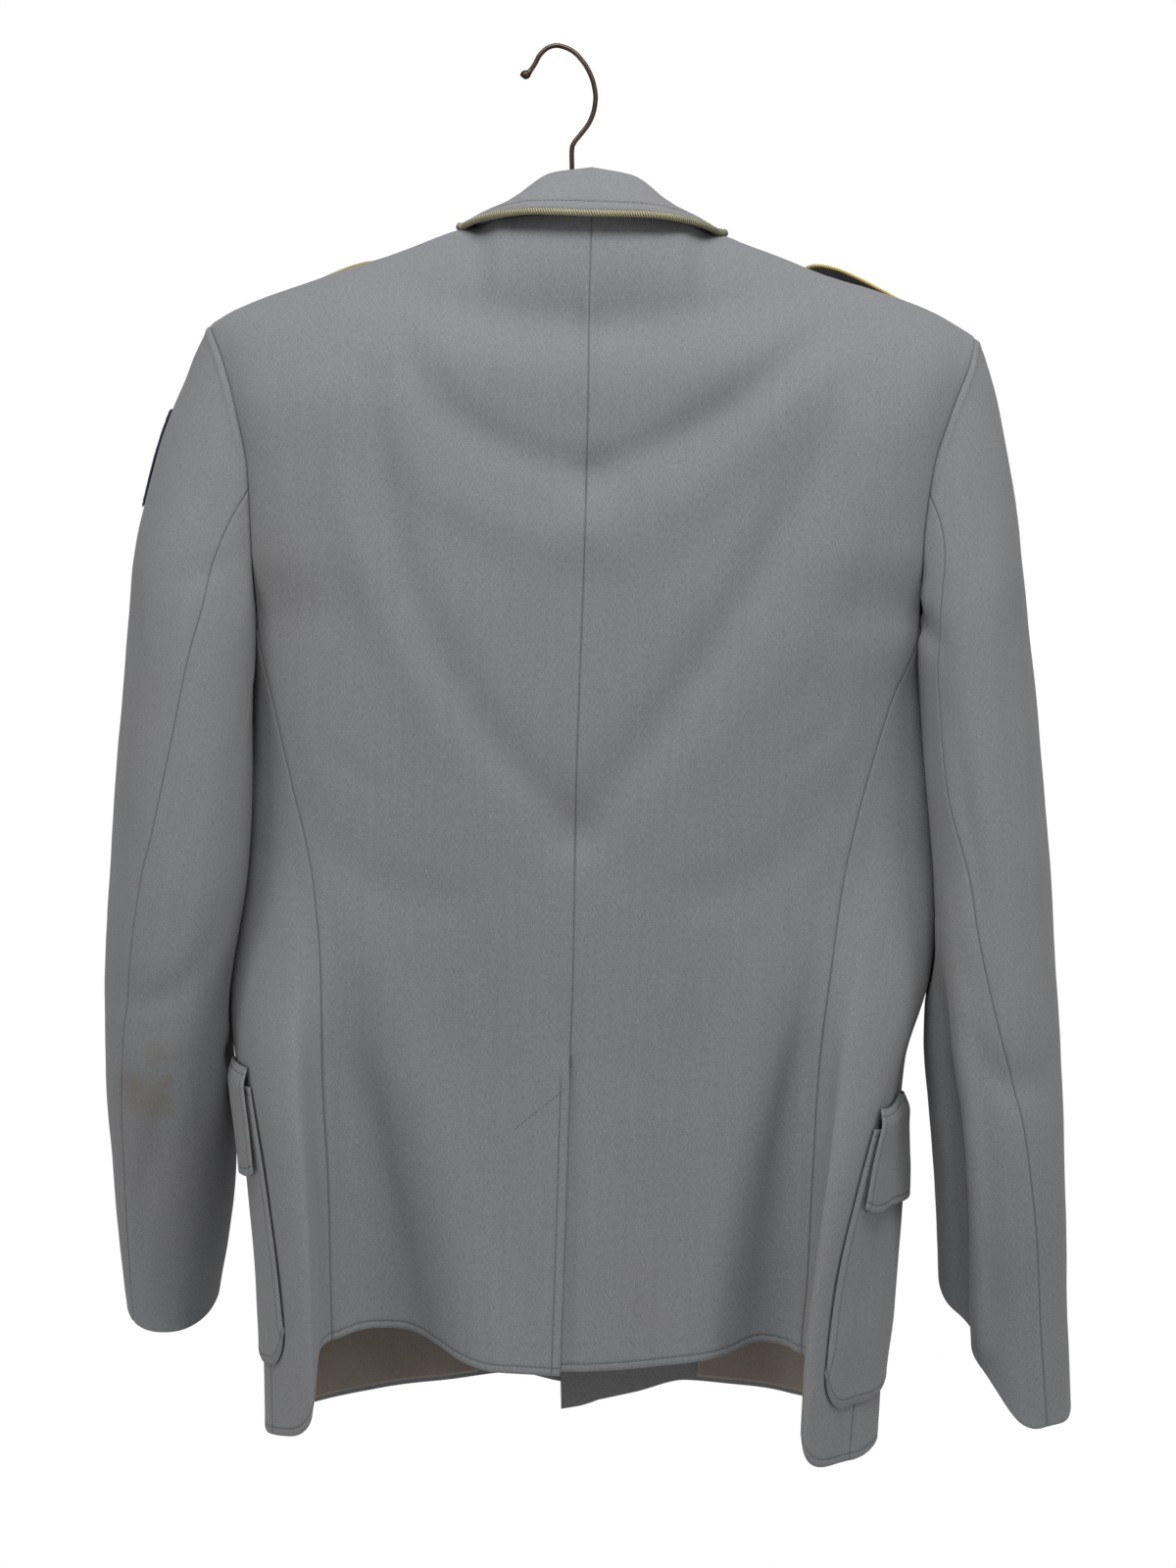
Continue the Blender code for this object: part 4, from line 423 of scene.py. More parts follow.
def nearest_on(polys, which, q):
    """signed distance and outward direction at points q (m, 2) from the outlines polys[which] (m, n, 2)"""
    a, b = polys[:, :-1][which], polys[:, 1:][which]
    e = b - a; L2 = (e ** 2).sum(-1) + 1e-9
    t = np.clip(((q[:, None] - a) * e).sum(-1) / L2, 0, 1)
    c = a + t[..., None] * e
    d = np.linalg.norm(q[:, None] - c, axis=-1)
    k = d.argmin(1); i = np.arange(len(q))
    n = unit(np.stack([e[i, k, 1], -e[i, k, 0]], -1))
    s = ((q - c[i, k]) * n).sum(-1)
    return np.where(s >= 0, d[i, k], -d[i, k]), n

def section(side, psi, z):
    """outline of the sleeve at angle psi (0 outside, 90 back, 180 inside, 270 front) and height z"""
    t = SLEEVE[side]
    xo, xi, ym, h, sl = (at(t, n, z) for n in ("xo", "xi", "ym", "h", "sl"))
    r = np.radians(psi); p = 2 / 2.25
    c = np.sign(np.cos(r)) * np.abs(np.cos(r)) ** p
    s_ = -np.sign(np.sin(r)) * np.abs(np.sin(r)) ** p
    y = h * s_
    return np.stack([(xo + xi) / 2 + (xo - xi) / 2 * c + sl * y, ym + y], -1)

def sleeve_grid(side, g, f=1):
    """sleeve as a tube from the armhole loop: columns round the loop, rows down to the cuff"""
    word = "left" if side == "L" else "right"
    back, sd, front = (g[n + "_" + word] for n in ("back", "side", "front"))
    nu = 7 * f
    loop = np.concatenate([back["P"][:nu + 1, -1], sd["P"][0, 1:], front["P"][:nu + 1, 0][::-1][1:-1]])
    nrm = np.concatenate([back["N"][:nu + 1, -1], sd["N"][0, 1:], front["N"][:nu + 1, 0][::-1][1:-1]])
    n = len(loop)
    step = np.linalg.norm(np.diff(np.concatenate([loop, loop[:1]]), axis=0), axis=-1)
    psi0 = np.concatenate([[0], np.cumsum(step)[:-1]]) / step.sum() * 360
    jh = 5 * f; jf = n - 6 * f                        # loop points where the two sleeve seams start
    out = {}
    vs = refine((np.arange(12) / 11.0) ** 1.35, f)
    for part, idx in (("top", list(range(jf - n, jh + 1))), ("under", list(range(jh, jf + 1)))):
        A = loop[idx]; p0 = psi0[idx].copy()
        if part == "top": p0 = np.where(np.array(idx) < 0, p0 - 360, p0)
        a0, a1 = p0[0], p0[-1]
        share = (p0 - a0) / (a1 - a0)
        zc = CUFF[side]
        z1 = np.zeros(len(idx))
        P = np.zeros((len(vs), len(idx), 3)); PSI = np.zeros((len(vs), len(idx)))
        for _ in range(3):
            for i, v in enumerate(vs):
                z = A[:, 2] + (z1 - A[:, 2]) * v if z1.any() else A[:, 2] + (zc[0] - A[:, 2]) * v
                hind, fore = at(HIND[side], "p", z), at(FORE[side], "p", z)
                if part == "top": lo_, hi_ = fore - 360, hind
                else: lo_, hi_ = hind, fore
                d = A[:, 2] - z
                mix = smooth(d / 60)
                psi = p0 * (1 - mix) + (lo_ + (hi_ - lo_) * share) * mix
                E = section(side, psi, z); E0 = section(side, p0, A[:, 2])
                w = (1 - np.clip(d / CAP, 0, 1)) ** 2
                xy = E + (A[:, :2] - E0) * w[:, None]
                P[i] = np.concatenate([xy, z[:, None]], -1); PSI[i] = psi
            last = np.radians(PSI[-1])
            z1 = zc[0] - zc[1] * np.sin(last) - zc[2] * np.cos(last) - zc[3] * np.exp(-((np.degrees(last) % 360 - 92) / 22) ** 2)
        # folds along the section's normal
        c = np.stack([(at(SLEEVE[side], "xo", P[..., 2]) + at(SLEEVE[side], "xi", P[..., 2])) / 2, at(SLEEVE[side], "ym", P[..., 2])], -1)
        rad = P[..., :2] - c
        nn = unit(rad / np.array([1.0, 2.2]))
        ang = PSI % 360
        rows = [(m, (a[0] * 1.15, a[1]), (b[0] * 1.15, b[1]), (e[0] * 1.15, e[1]), w0, w1, d0, d1, d2)
                for m, a, b, e, w0, w1, d0, d1, d2 in SLEEVE_FOLDS[side]]
        amp = folds(rows, ang * 1.15, P[..., 2]) * smooth((A[None, :, 2] - P[..., 2]) / 40)
        P[..., :2] += nn * amp[..., None]
        # hangs clear of the body
        pick = (ang > 20) & (ang < 340) & (P[..., 2] < UNDERARM + 6)
        pick[0] = False
        q = P[pick]
        levels = outlines(side)
        which = np.clip(np.round((UNDERARM + 8 - q[:, 2]) / 4).astype(int), 0, len(levels) - 1)
        dist, nv = nearest_on(levels, which, q[:, :2])
        need = .6 + (3.5 if f == 1 else .9) * smooth((np.broadcast_to(A[None, :, 2], P.shape[:2])[pick] - q[:, 2]) / 45)
        if side == "L":                                  # the pocket flap
            need = need + 5.5 * smooth((q[:, 2] + 712) / 16) * smooth((-614 - q[:, 2]) / 12)
        x = np.maximum(dist - need, -60)
        q[:, :2] += nv * (.5 * (np.sqrt(x * x + 2.0) - x))[:, None]
        P[pick] = q
        out[part] = dict(P=P, PSI=PSI, S=np.broadcast_to(share[None], PSI.shape), A=A, AN=nrm[idx])
    for part, q in out.items():
        N = grid_normals(q["P"])
        c = np.stack([(at(SLEEVE[side], "xo", q["P"][..., 2]) + at(SLEEVE[side], "xi", q["P"][..., 2])) / 2, at(SLEEVE[side], "ym", q["P"][..., 2])], -1)
        if ((q["P"][..., :2] - c) * N[..., :2]).sum(-1).mean() < 0: N = -N
        q["N"] = N
    return out

def outlines(side):
    """outline of the body below the armhole, one every 4 mm down"""
    ss = np.linspace(.55, 2.8, 91)
    z = UNDERARM + 8 - 4.0 * np.arange(125)
    S, Z = np.meshgrid(ss, z)
    p = ring(side, S, Z)
    return p[:, ::-1] if side == "L" else p

# ---------------------------------------------------------------- pieces that lie on the body
def sample(P, r, c):
    """points of a grid at fractional rows r and columns c"""
    r = np.clip(np.asarray(r, float), 0, P.shape[0] - 1); c = np.clip(np.asarray(c, float), 0, P.shape[1] - 1)
    i = np.minimum(r.astype(int), P.shape[0] - 2); j = np.minimum(c.astype(int), P.shape[1] - 2)
    a, b = (r - i)[:, None, None], (c - j)[None, :, None]
    return ((P[np.ix_(i, j)] * (1 - a) + P[np.ix_(i + 1, j)] * a) * (1 - b)
            + (P[np.ix_(i, j + 1)] * (1 - a) + P[np.ix_(i + 1, j + 1)] * a) * b)

def sample2(P, r, c):
    """points of a grid at fractional rows and columns given point by point"""
    i = np.clip(r.astype(int), 0, P.shape[0] - 2); j = np.clip(c.astype(int), 0, P.shape[1] - 2)
    a, b = (r - i)[..., None], (c - j)[..., None]
    return (P[i, j] * (1 - a) + P[i + 1, j] * a) * (1 - b) + (P[i, j + 1] * (1 - a) + P[i + 1, j + 1] * a) * b

def stand_off(P, clouds, need, rounds=2, soft=1.0):
    """move the points of P out until they clear the given faces"""
    C = np.concatenate([c[0].reshape(-1, 3) for c in clouds]); N = np.concatenate([c[1].reshape(-1, 3) for c in clouds])
    q = P.reshape(-1, 3).copy(); need = np.broadcast_to(need, P.shape[:-1]).ravel()
    for _ in range(rounds):
        for i in range(0, len(q), 400):
            p = q[i:i + 400]
            d2 = (p ** 2).sum(-1)[:, None] - 2 * p @ C.T + (C ** 2).sum(-1)[None]
            k = d2.argmin(1)
            x = ((p - C[k]) * N[k]).sum(-1) - need[i:i + 400]
            x = np.maximum(x, -40)
            q[i:i + 400] = p + N[k] * (.5 * (np.sqrt(x * x + soft) - x))[:, None]
    return q.reshape(P.shape)

def collar_sections(t):
    """seam, fold and edge of the collar at section t (minus is left)"""
    k = np.abs(t); d = np.where(t < 0, -1.0, 1.0)
    out = []
    for a, y, z in (("as_", "ys", "zs"), ("af", "yf", "zf"), ("ae", "ye", "ze")):
        x = d * at(COLLAR, a, k, "t")
        out.append(np.stack([XC + x, at(COLLAR, y, k, "t"), at(COLLAR, z, k, "t") - (.0175 if z == "zs" else .03) * x], -1))
    return out

def spline(points, q):
    """smooth curve through a list of points (k, n, 3) at parameters q 0..k-1"""
    P = np.stack(points); k = len(P)
    m = np.gradient(P, axis=0)
    q = np.asarray(q, float); i = np.clip(q.astype(int), 0, k - 2); t = (q - i)[:, None, None]
    return ((1 + 2 * t) * (1 - t) ** 2 * P[i] + t * (1 - t) ** 2 * m[i] + t * t * (3 - 2 * t) * P[i + 1] - t * t * (1 - t) * m[i + 1])

def collar_grid(clouds, f=1, need=5.2):
    t = refine(np.linspace(-6, 6, 25), f)
    S, F, E = collar_sections(t)
    o = E - F; o[:, 2] = 0; o = unit(o); up = np.array([0, 0, 1.0])
    fin, fout = F - o * 2.8 - up * 3.0, F + o * 2.8 - up * 2.0
    q = refine(np.array([0, 1, 2, 3, 4, 5, 6.0]), f)
    P = spline([S + up * .9 - o * .5, (S + fin) / 2, fin, F, fout, (fout + E) / 2 + o * 1.2, E], q)      # (q, t, 3)
    P = np.swapaxes(P, 0, 1)
    fall = smooth((q - 4.2) / 1.2)
    moved = stand_off(P, clouds, need)
    P = P + (moved - P) * fall[None, :, None]
    N = grid_normals(P)
    if (N[:, -1] * o).sum(-1).mean() < 0: N = -N
    return dict(P=P, N=N, q=q, t=t)

def undercollar_grid(collar, f=1, under=WALL + .5):
    c = np.interp(np.array([5.2, 5.97]), collar["q"], np.arange(len(collar["q"]))); c = refine(c, f)
    r = refine(np.linspace(8, 16, 9), f)
    r = np.interp(r, np.arange(25), np.arange(25) * f)
    P, N = sample(collar["P"], r, c), unit(sample(collar["N"], r, c))
    return dict(P=P - N * under, N=N)

def lapel_grid(side, clouds, f=1):
    t = refine(np.array([0, .25, .6, 1, 1.5, 2, 2.5, 3, 3.5, 4]), f)
    if side == "R": t = t * .84                             # the right tip ends under the left front
    w = refine(np.linspace(0, 1, 6), f)
    ar, zr, ao, zo = (at(LAPEL, n, t, "t")[:, None] for n in ("ar", "zr", "ao", "zo"))
    a, z = ar + (ao - ar) * w[None], zr + (zo - zr) * w[None]
    x = XC + DIR[side] * a
    lo, hi = np.full(x.shape, 2.0), np.full(x.shape, 3.2)
    for _ in range(24):                                   # station of the front under each point
        mid = (lo + hi) / 2
        more = (body(side, mid, z)[..., 0] - x) * DIR[side] > 0
        lo, hi = np.where(more, mid, lo), np.where(more, hi, mid)
    P = body(side, lo, z)
    P[..., 0] = x
    P[..., 1] += 3.2 + 2.0 * np.exp(-(w[None] / .25) ** 2) * (1 - t[:, None] / 4)
    P = stand_off(P, clouds, 3.1)
    N = grid_normals(P)
    if N[..., 1].mean() < 0: N = -N
    return dict(P=P, N=N)

def strap_grid(side, clouds, f=1):
    a = refine(STRAP["a"], f); v = refine(np.linspace(-1, 1, 5), f)
    w, lift = at(STRAP, "w", a, "a"), at(STRAP, "ll" if side == "L" else "lr", a, "a")
    d = v[None] * w[:, None] + STRAP_Y
    z0, yr = (at(SHOULDER, n, a, "a")[:, None] for n in ("zl" if side == "L" else "zr", "y"))
    P = np.stack([np.broadcast_to(XC + DIR[side] * a[:, None], d.shape), yr + d, z0 - at(FALL, "drop", d, "d")], -1)
    P = stand_off(P, clouds, 2.9 + 1.2 * smooth((d - 44) / 16), 3, .2)
    P = P + lift[:, None, None] * np.array([DIR[side] * .2, .25, .95])
    N = grid_normals(P)
    if N[..., 2].mean() < 0: N = -N
    return dict(P=P, N=N)

def strap_outline(strap):
    """line just outside the edge of the strap, for its piping"""
    P, N = strap["P"], strap["N"]
    line = np.concatenate([P[::-1, 0], P[0, 1:-1], P[:, -1]])
    up = np.concatenate([N[::-1, 0], N[0, 1:-1], N[:, -1]])
    c = P[len(P) // 2:, P.shape[1] // 2].mean(0)
    T = unit(np.gradient(line, axis=0)); out = unit(np.cross(T, up))
    if ((line - c) * out).sum(-1).mean() < 0: out = -out
    return line + out * 1.8 - up * .9, up

def pocket_base(g, word, f=1):
    """panel grid under a lower pocket: three cells of the side, four of the front, with its shared normals"""
    sd, fr = g["side_" + word], g["front_" + word]
    lo = slice(7 * f, None)
    P = np.concatenate([sd["P"][:, -1 - 3 * f:-1], fr["P"][lo][:, :4 * f + 1]], 1)
    N = np.concatenate([sd["N2"][:, -1 - 3 * f:-1], fr["N2"][lo][:, :4 * f + 1]], 1)
    return P, unit(N)

def pocket_grid(g, word, f=1):
    """lower pocket with rounded lower corners; its lines follow those of the panel"""
    P, N = pocket_base(g, word, f)
    k = POCKET[word]; c = refine(np.array(k["cols"]), f)
    q = np.clip(np.minimum((c - c[0]) / 1.4, (c[-1] - c) / .75), 0, 1)
    low = k["low"] - .46 * (1 - np.sqrt(np.maximum(0, 1 - (1 - q) ** 2)))
    t = refine(np.array([0, .6, 1.0]), f)
    rows = refine(np.array([k["top"]] + [v for v in (7, 8, 9, 10) if v > k["top"] + .1]), f)
    R = np.concatenate([np.broadcast_to(rows[:-1, None], (len(rows) - 1, len(c))), 10 + (low[None] - 10) * t[:, None]])
    C = np.broadcast_to(c[None], R.shape)
    B, M = sample2(P, R * f, C * f), unit(sample2(N, R * f, C * f))
    return dict(P=B + M * pocket_lift(word, C, R)[..., None], N=M)

def pocket_lift(word, c, r):
    """how far the outer face of a lower pocket stands off the panel: flat at the edges, fuller inside"""
    k = POCKET[word]; u = np.minimum((c - k["cols"][0]) / 1.3, (k["cols"][-1] - c) / .9)
    return 3.1 + k["full"] * smooth(u) * smooth((r - k["top"]) / .9) * smooth((k["low"] - .1 - r) / .9)

def flap_grid(g, word, f=1):
    P, N = pocket_base(g, word, f)
    k = POCKET[word]; rows = refine(np.array([0, .22, .6, 1.0]), f)
    c = np.array(k["cols"]); c = np.concatenate([[c[0] + .035], c[3:-2], [c[-1] - .06]])
    V, C = np.meshgrid(rows, refine(c, f), indexing="ij")
    u = (C - c[0]) / (c[-1] - c[0])
    C = C + V * (.22 * np.clip(1 - (C - c[0]) / (c[1] - c[0]), 0, 1) - .10 * np.clip(1 - (c[-1] - C) / (c[-1] - c[-2]), 0, 1))
    top, low = k["top"] - .36, k["flap"] + .14 * np.sin(np.pi * u)
    R = top + (low - top) * V
    B, M = sample2(P, R * f, C * f), unit(sample2(N, R * f, C * f))
    lift = pocket_lift(word, C, np.maximum(R, k["top"]))
    off = 3.4 + (lift + 3.3 - 3.4) * smooth(V / .22) + 1.0 * np.clip((V - .6) / .4, 0, 1)
    return dict(P=B + M * off[..., None], N=M)

def lining_grid(g, word, f=1):
    fr = g["front_" + word]; lo = slice(7 * f, None)
    r = refine(np.array([1, 2, 3, 4, 5, 6, 7, 8, 9, 10, 11, 11.86]), f); c = refine(np.array([.15, 1, 2, 3, 4, 5, 5.45]), f)
    r = np.interp(r, np.arange(13), np.arange(13) * f); c = np.interp(c, np.arange(11), np.arange(11) * f)
    P, N = sample(fr["P"][lo], r, c), sample(fr["N2"][lo], r, c)
    return dict(P=P - N * (WALL + .65 + 1.0), N=-N)

def patch_grid(sleeve, f=1):
    r = refine(np.array([1.75, 2, 2.5, 3, 3.1]), f); c = refine(np.array([3.7, 4, 5, 6, 6.4]), f)
    r = np.interp(r, np.arange(12), np.arange(12) * f); c = np.interp(c, np.arange(13), np.arange(13) * f)
    P, N = sample(sleeve["P"], r, c), unit(sample(sleeve["N"], r, c))
    return dict(P=P + N * 1.5, N=N)

def vent_tab(g, f=1):
    """the part of the right back that runs on under the left back below the vent"""
    left, right = g["back_left"], g["back_right"]
    k = 7 * f + 7 * f
    off = refine(np.array([38, 20, 5.0]), f)
    z = right["P"][k:, 0, 2]
    drop = 1 - (np.arange(len(z)) / max(1, len(z) - 1))
    Z = z[:, None] - 26 * (off[None] / 38) * drop[:, None] ** 1.2
    Z[-1] = z[-1] + 0 * off
    x1 = at(BODY["L"], "x1", Z) - at(MID, "xc", Z)
    S = off[None] / np.abs(x1)
    B = body("L", S, Z); Q = body("L", S + .02, Z)
    T = unit(Q - B); n = unit(np.stack([T[..., 1], -T[..., 0], 0 * T[..., 0]], -1))
    n = np.where(n[..., 1:2] > 0, -n, n)
    P = B - n * 2.8
    return k, P, n

# ---------------------------------------------------------------- solids
def slab(P, N, wall, mask=None):
    """closed solid: outer face P, wall inwards; returns points and faces"""
    r, c = P.shape[:2]
    mask = np.ones((r - 1, c - 1), bool) if mask is None else mask
    idx = -np.ones((r, c), int)
    used = np.zeros((r, c), bool)
    for di in (0, 1):
        for dj in (0, 1):
            used[di:r - 1 + di, dj:c - 1 + dj] |= mask
    idx[used] = np.arange(used.sum()); n = used.sum()
    V = np.concatenate([P[used], (P - N * wall)[used]])
    F = []; edges = {}
    for i, j in zip(*np.nonzero(mask)):
        a, b, d, e = idx[i, j], idx[i, j + 1], idx[i + 1, j + 1], idx[i + 1, j]
        F += [(a, b, d), (a, d, e), (a + n, d + n, b + n), (a + n, e + n, d + n)]
        for p, q in ((a, b), (b, d), (d, e), (e, a)):
            edges[(p, q)] = edges.get((p, q), 0) + 1
    for p, q in edges:
        if (q, p) not in edges: F += [(q, p, p + n), (q, p + n, q + n)]
    return V, F

def tube(path, radii, sides=10, side_axis=(0, 1, 0), depth=None):
    """closed tube along a path; the section may be deeper than high"""
    path = np.asarray(path, float); T = unit(np.gradient(path, axis=0))
    B = unit(np.array(side_axis, float)[None] - (T @ np.array(side_axis, float))[:, None] * T)
    U = np.cross(B, T)
    a = np.arange(sides) * 2 * np.pi / sides
    depth = radii if depth is None else depth
    R = path[:, None] + U[:, None] * (np.cos(a)[None] * np.asarray(radii)[:, None])[..., None] + B[:, None] * (np.sin(a)[None] * np.asarray(depth)[:, None])[..., None]
    n = len(path); V = R.reshape(-1, 3); F = []
    for i in range(n - 1):
        for j in range(sides):
            k = (j + 1) % sides
            F.append((i * sides + j, i * sides + k, (i + 1) * sides + k, (i + 1) * sides + j))
    F.append(tuple(range(sides - 1, -1, -1))); F.append(tuple((n - 1) * sides + j for j in range(sides)))
    return V, F

def disc(centre, axis, profile, sides=16):
    """turned button: profile of (radius, height) from the back to the crown"""
    w = unit(np.array(axis, float)); u = unit(np.cross(w, [0.3, 0.1, 1.0])); v = np.cross(w, u)
    a = np.arange(sides) * 2 * np.pi / sides
    V, F = [], []
    for r, h in profile:
        V.append(np.array(centre)[None] + w * h + r * (np.cos(a)[:, None] * u + np.sin(a)[:, None] * v))
    V = np.concatenate(V); m = len(profile)
    for i in range(m - 1):
        for j in range(sides):
            k = (j + 1) % sides
            F.append((i * sides + j, i * sides + k, (i + 1) * sides + k, (i + 1) * sides + j))
    F.append(tuple(range(sides - 1, -1, -1))); F.append(tuple((m - 1) * sides + j for j in range(sides)))
    return V, F

def bar_line(n=29):
    a = np.linspace(-205, 205, n)
    a = np.sign(a) * 205 * (1 - (1 - np.abs(a) / 205) ** 1.15)
    k = np.abs(a)
    zl, zr = at(SHOULDER, "zl", k, "a"), at(SHOULDER, "zr", k, "a")
    top = np.where(a < 0, zl, zr) - 6.0 - 1.4 * at(BAR, "drop", k, "a")
    top = np.where(k < 92, -122 + (np.where(a < 0, -126, -130.5) + 122) * smooth(k / 92), top)
    h = at(BAR, "h", k, "a")
    return np.stack([XC + a, np.full(n, -4.0), top - h], -1), h, at(BAR, "d", k, "a")

def all_solids():
    """every piece of the object: name -> (points, faces, slot)"""
    out = {}
    g = body_grids(1)
    sl = {"L": sleeve_grid("L", g), "R": sleeve_grid("R", g)}
    sleeves = [sl[s][p] for s in "LR" for p in ("top", "under")]
    weld(list(g.values()) + sleeves)
    for name, q in g.items():
        P = inset(q["P"], SEAM)
        if name == "back_right":
            k, T, Tn = vent_tab(g)
            P[k:, 0] = g[name]["P"][k:, 0]
            full = np.zeros((len(P), T.shape[1] + P.shape[1], 3)); nn = np.zeros_like(full)
            full[:, T.shape[1]:] = P; nn[:, T.shape[1]:] = q["N2"]
            full[k:, :T.shape[1]] = T; nn[k:, :T.shape[1]] = Tn
            mask = np.ones((full.shape[0] - 1, full.shape[1] - 1), bool); mask[:k, :T.shape[1]] = False
            out[name] = slab(full, nn, WALL, mask) + ("wool",)
            continue
        out[name] = slab(P, q["N2"], WALL) + ("wool",)
    for s, word in (("L", "left"), ("R", "right")):
        for part in ("top", "under"):
            q = sl[s][part]
            P = inset(inset(q["P"], SEAM), .25, "lr")
            P[0] += q["AN"] * .3
            out["sleeve_%s_%s" % (word, part)] = slab(P, q["N2"], WALL) + ("wool",)
    g3 = body_grids(3)
    clouds = [(g3[n]["P"], g3[n]["N"]) for n in ("back_left", "back_right", "front_left", "front_right")]
    col = collar_grid(clouds)
    out["collar"] = slab(col["P"], col["N"], WALL) + ("wool",)
    u = undercollar_grid(col)
    out["undercollar"] = slab(u["P"], u["N"], .7) + ("felt",)
    E = col["P"][:, -1]; fall = unit(E - col["P"][:, -2])
    line = E + fall * 2.9 - col["N"][:, -1] * 1.0
    ax = unit(col["N"][:, -1])
    T = unit(np.gradient(line, axis=0)); B = unit(ax - (T * ax).sum(-1)[:, None] * T); U = np.cross(B, T)
    a = np.arange(6) * np.pi / 3
    R = line[:, None] + 2.2 * (np.cos(a)[None, :, None] * U[:, None] + np.sin(a)[None, :, None] * B[:, None])
    n = len(line); F = [(i * 6 + j, i * 6 + (j + 1) % 6, (i + 1) * 6 + (j + 1) % 6, (i + 1) * 6 + j) for i in range(n - 1) for j in range(6)]
    F += [tuple(range(5, -1, -1)), tuple((n - 1) * 6 + j for j in range(6))]
    out["collar_cord"] = (R.reshape(-1, 3), F, "cord")
    fronts = {"L": [(g3["front_left"]["P"], g3["front_left"]["N"])], "R": [(g3["front_right"]["P"], g3["front_right"]["N"])]}
    shoulders = {s: fronts[s] + [(g3[n]["P"], g3[n]["N"])] for s, n in (("L", "back_left"), ("R", "back_right"))}
    for s, word in (("L", "left"), ("R", "right")):
        q = lapel_grid(s, fronts[s]); out["lapel_" + word] = slab(q["P"], q["N"], WALL) + ("wool",)
        q = pocket_grid(g, word); out["pocket_" + word] = slab(q["P"], q["N"], WALL) + ("wool",)
        q = flap_grid(g, word); out["flap_" + word] = slab(q["P"], q["N"], WALL) + ("wool",)
        q = lining_grid(g, word); out["lining_" + word] = slab(q["P"], q["N"], 1.0) + ("lining",)
        st = strap_grid(s, shoulders[s]); out["strap_" + word] = slab(st["P"], st["N"], WALL) + ("strap_cloth",)
        line, up = strap_outline(st)
        T = unit(np.gradient(line, axis=0)); B = unit(up - (T * up).sum(-1)[:, None] * T); U = np.cross(B, T)
        R = line[:, None] + 1.15 * (np.cos(a)[None, :, None] * U[:, None] + np.sin(a)[None, :, None] * B[:, None])
        n = len(line); F = [(i * 6 + j, i * 6 + (j + 1) % 6, (i + 1) * 6 + (j + 1) % 6, (i + 1) * 6 + j) for i in range(n - 1) for j in range(6)]
        F += [tuple(range(5, -1, -1)), tuple((n - 1) * 6 + j for j in range(6))]
        out["piping_" + word] = (R.reshape(-1, 3), F, "piping")
        nrm = st["N"][3, 2]
        out["strap_button_" + word] = disc(st["P"][3, 2] + nrm * .5, nrm, [(2.2, 0), (2.4, 1.4), (8.2, 2.0), (8.6, 3.0), (7.4, 4.4), (4.4, 5.4), (1.4, 5.8)], 14) + ("button_metal",)
    q = patch_grid(sl["L"]["top"]); out["sleeve_patch"] = slab(q["P"], q["N"], 1.0) + ("patch_cloth",)
    for i, z in enumerate(BUTTONS):
        p = body("L", np.array([2.97, 3.0, 3.03]), np.array([z, z, z], float))[1]
        out["front_button_%d" % (i + 1)] = disc(p + np.array([0, .9, 0]), (0, 1, 0), [(2.4, 0), (2.6, 1.6), (11.2, 2.4), (11.6, 3.6), (9.8, 5.6), (5.6, 7.0), (1.8, 7.4)], 16) + ("button_metal",)
    hook = np.array(HOOK)
    path = np.stack([hook[:, 0], 0 * hook[:, 0], hook[:, 1]], -1)
    out["hanger_hook"] = tube(path, hook[:, 2], 12) + ("hook_metal",)
    p, h, d = bar_line()
    out["hanger_bar"] = tube(p, h, 16, depth=d) + ("hanger_wood",)
    return out

# ================================================================ dense shells
FINE = 8            # grid lines to a cell of the plain panels
CLOTH = 1.5         # wall of the shown cloth
NEAR = np.array([0, .3, .62, 1.0, 1.6, 2.4, 3.4, 4.3, 4.8, 5.3, 6.2, 7.6])      # more lines beside an edge

def arc(P, axis):
    """length along the grid from its first line"""
    d = np.linalg.norm(np.diff(P, axis=axis), axis=-1)
    zero = np.zeros((1, d.shape[1]) if axis == 0 else (d.shape[0], 1))
    return np.concatenate([zero, np.cumsum(d, axis=axis)], axis=axis)

def lines(L, first, last):
    """every grid line along one direction, with more of them beside the edges"""
    k = np.arange(len(L), dtype=float); keep = np.ones(len(L), bool); more = [np.array([0.0, k[-1]])]
    near = NEAR[NEAR < L[-1] * .45]
    if first:
        keep &= L > near[-1] + 1.2; more.append(np.interp(near, L, k))
    if last:
        keep &= L[-1] - L > near[-1] + 1.2; more.append(np.interp(L[-1] - near, L, k))
    return np.unique(np.round(np.concatenate([k[keep]] + more), 5))

def dense(P, N, edges="tblr", ref=None):
    """a grid with more lines beside its edges, the distance to each edge, and its cloth coordinates"""
    L0, L1 = arc(P, 0).mean(1), arc(P, 1).mean(0)
    r, c = lines(L0, "t" in edges, "b" in edges), lines(L1, "l" in edges, "r" in edges)
    Q, M = sample(P, r, c), sample(N, r, c)
    A0, A1 = arc(Q, 0), arc(Q, 1)
    k = len(r) // 2 if ref is None else int(np.argmin(np.abs(r - ref)))
    V = A0 - A0[k:k + 1] - Q[k:k + 1, :, 2]
    return dict(P=Q, N=M, r=r, c=c, dt=A0, db=A0[-1:] - A0, dl=A1, dr=A1[:, -1:] - A1, U=A1, V=V, line=np.zeros(Q.shape[:2]), off=np.zeros(Q.shape[:2]), slow=np.zeros(Q.shape[:2]))

def wave(t, seed, length=9.0):
    """uneven ripple along a line, between about -1 and 1"""
    out = 0
    for i, (k, a) in enumerate(((1.0, .5), (1.73, .3), (.41, .45), (2.9, .15))):
        out = out + a * np.sin(2 * np.pi * t / (length / k) + seed * (1.7 + i * 2.3))
    return out

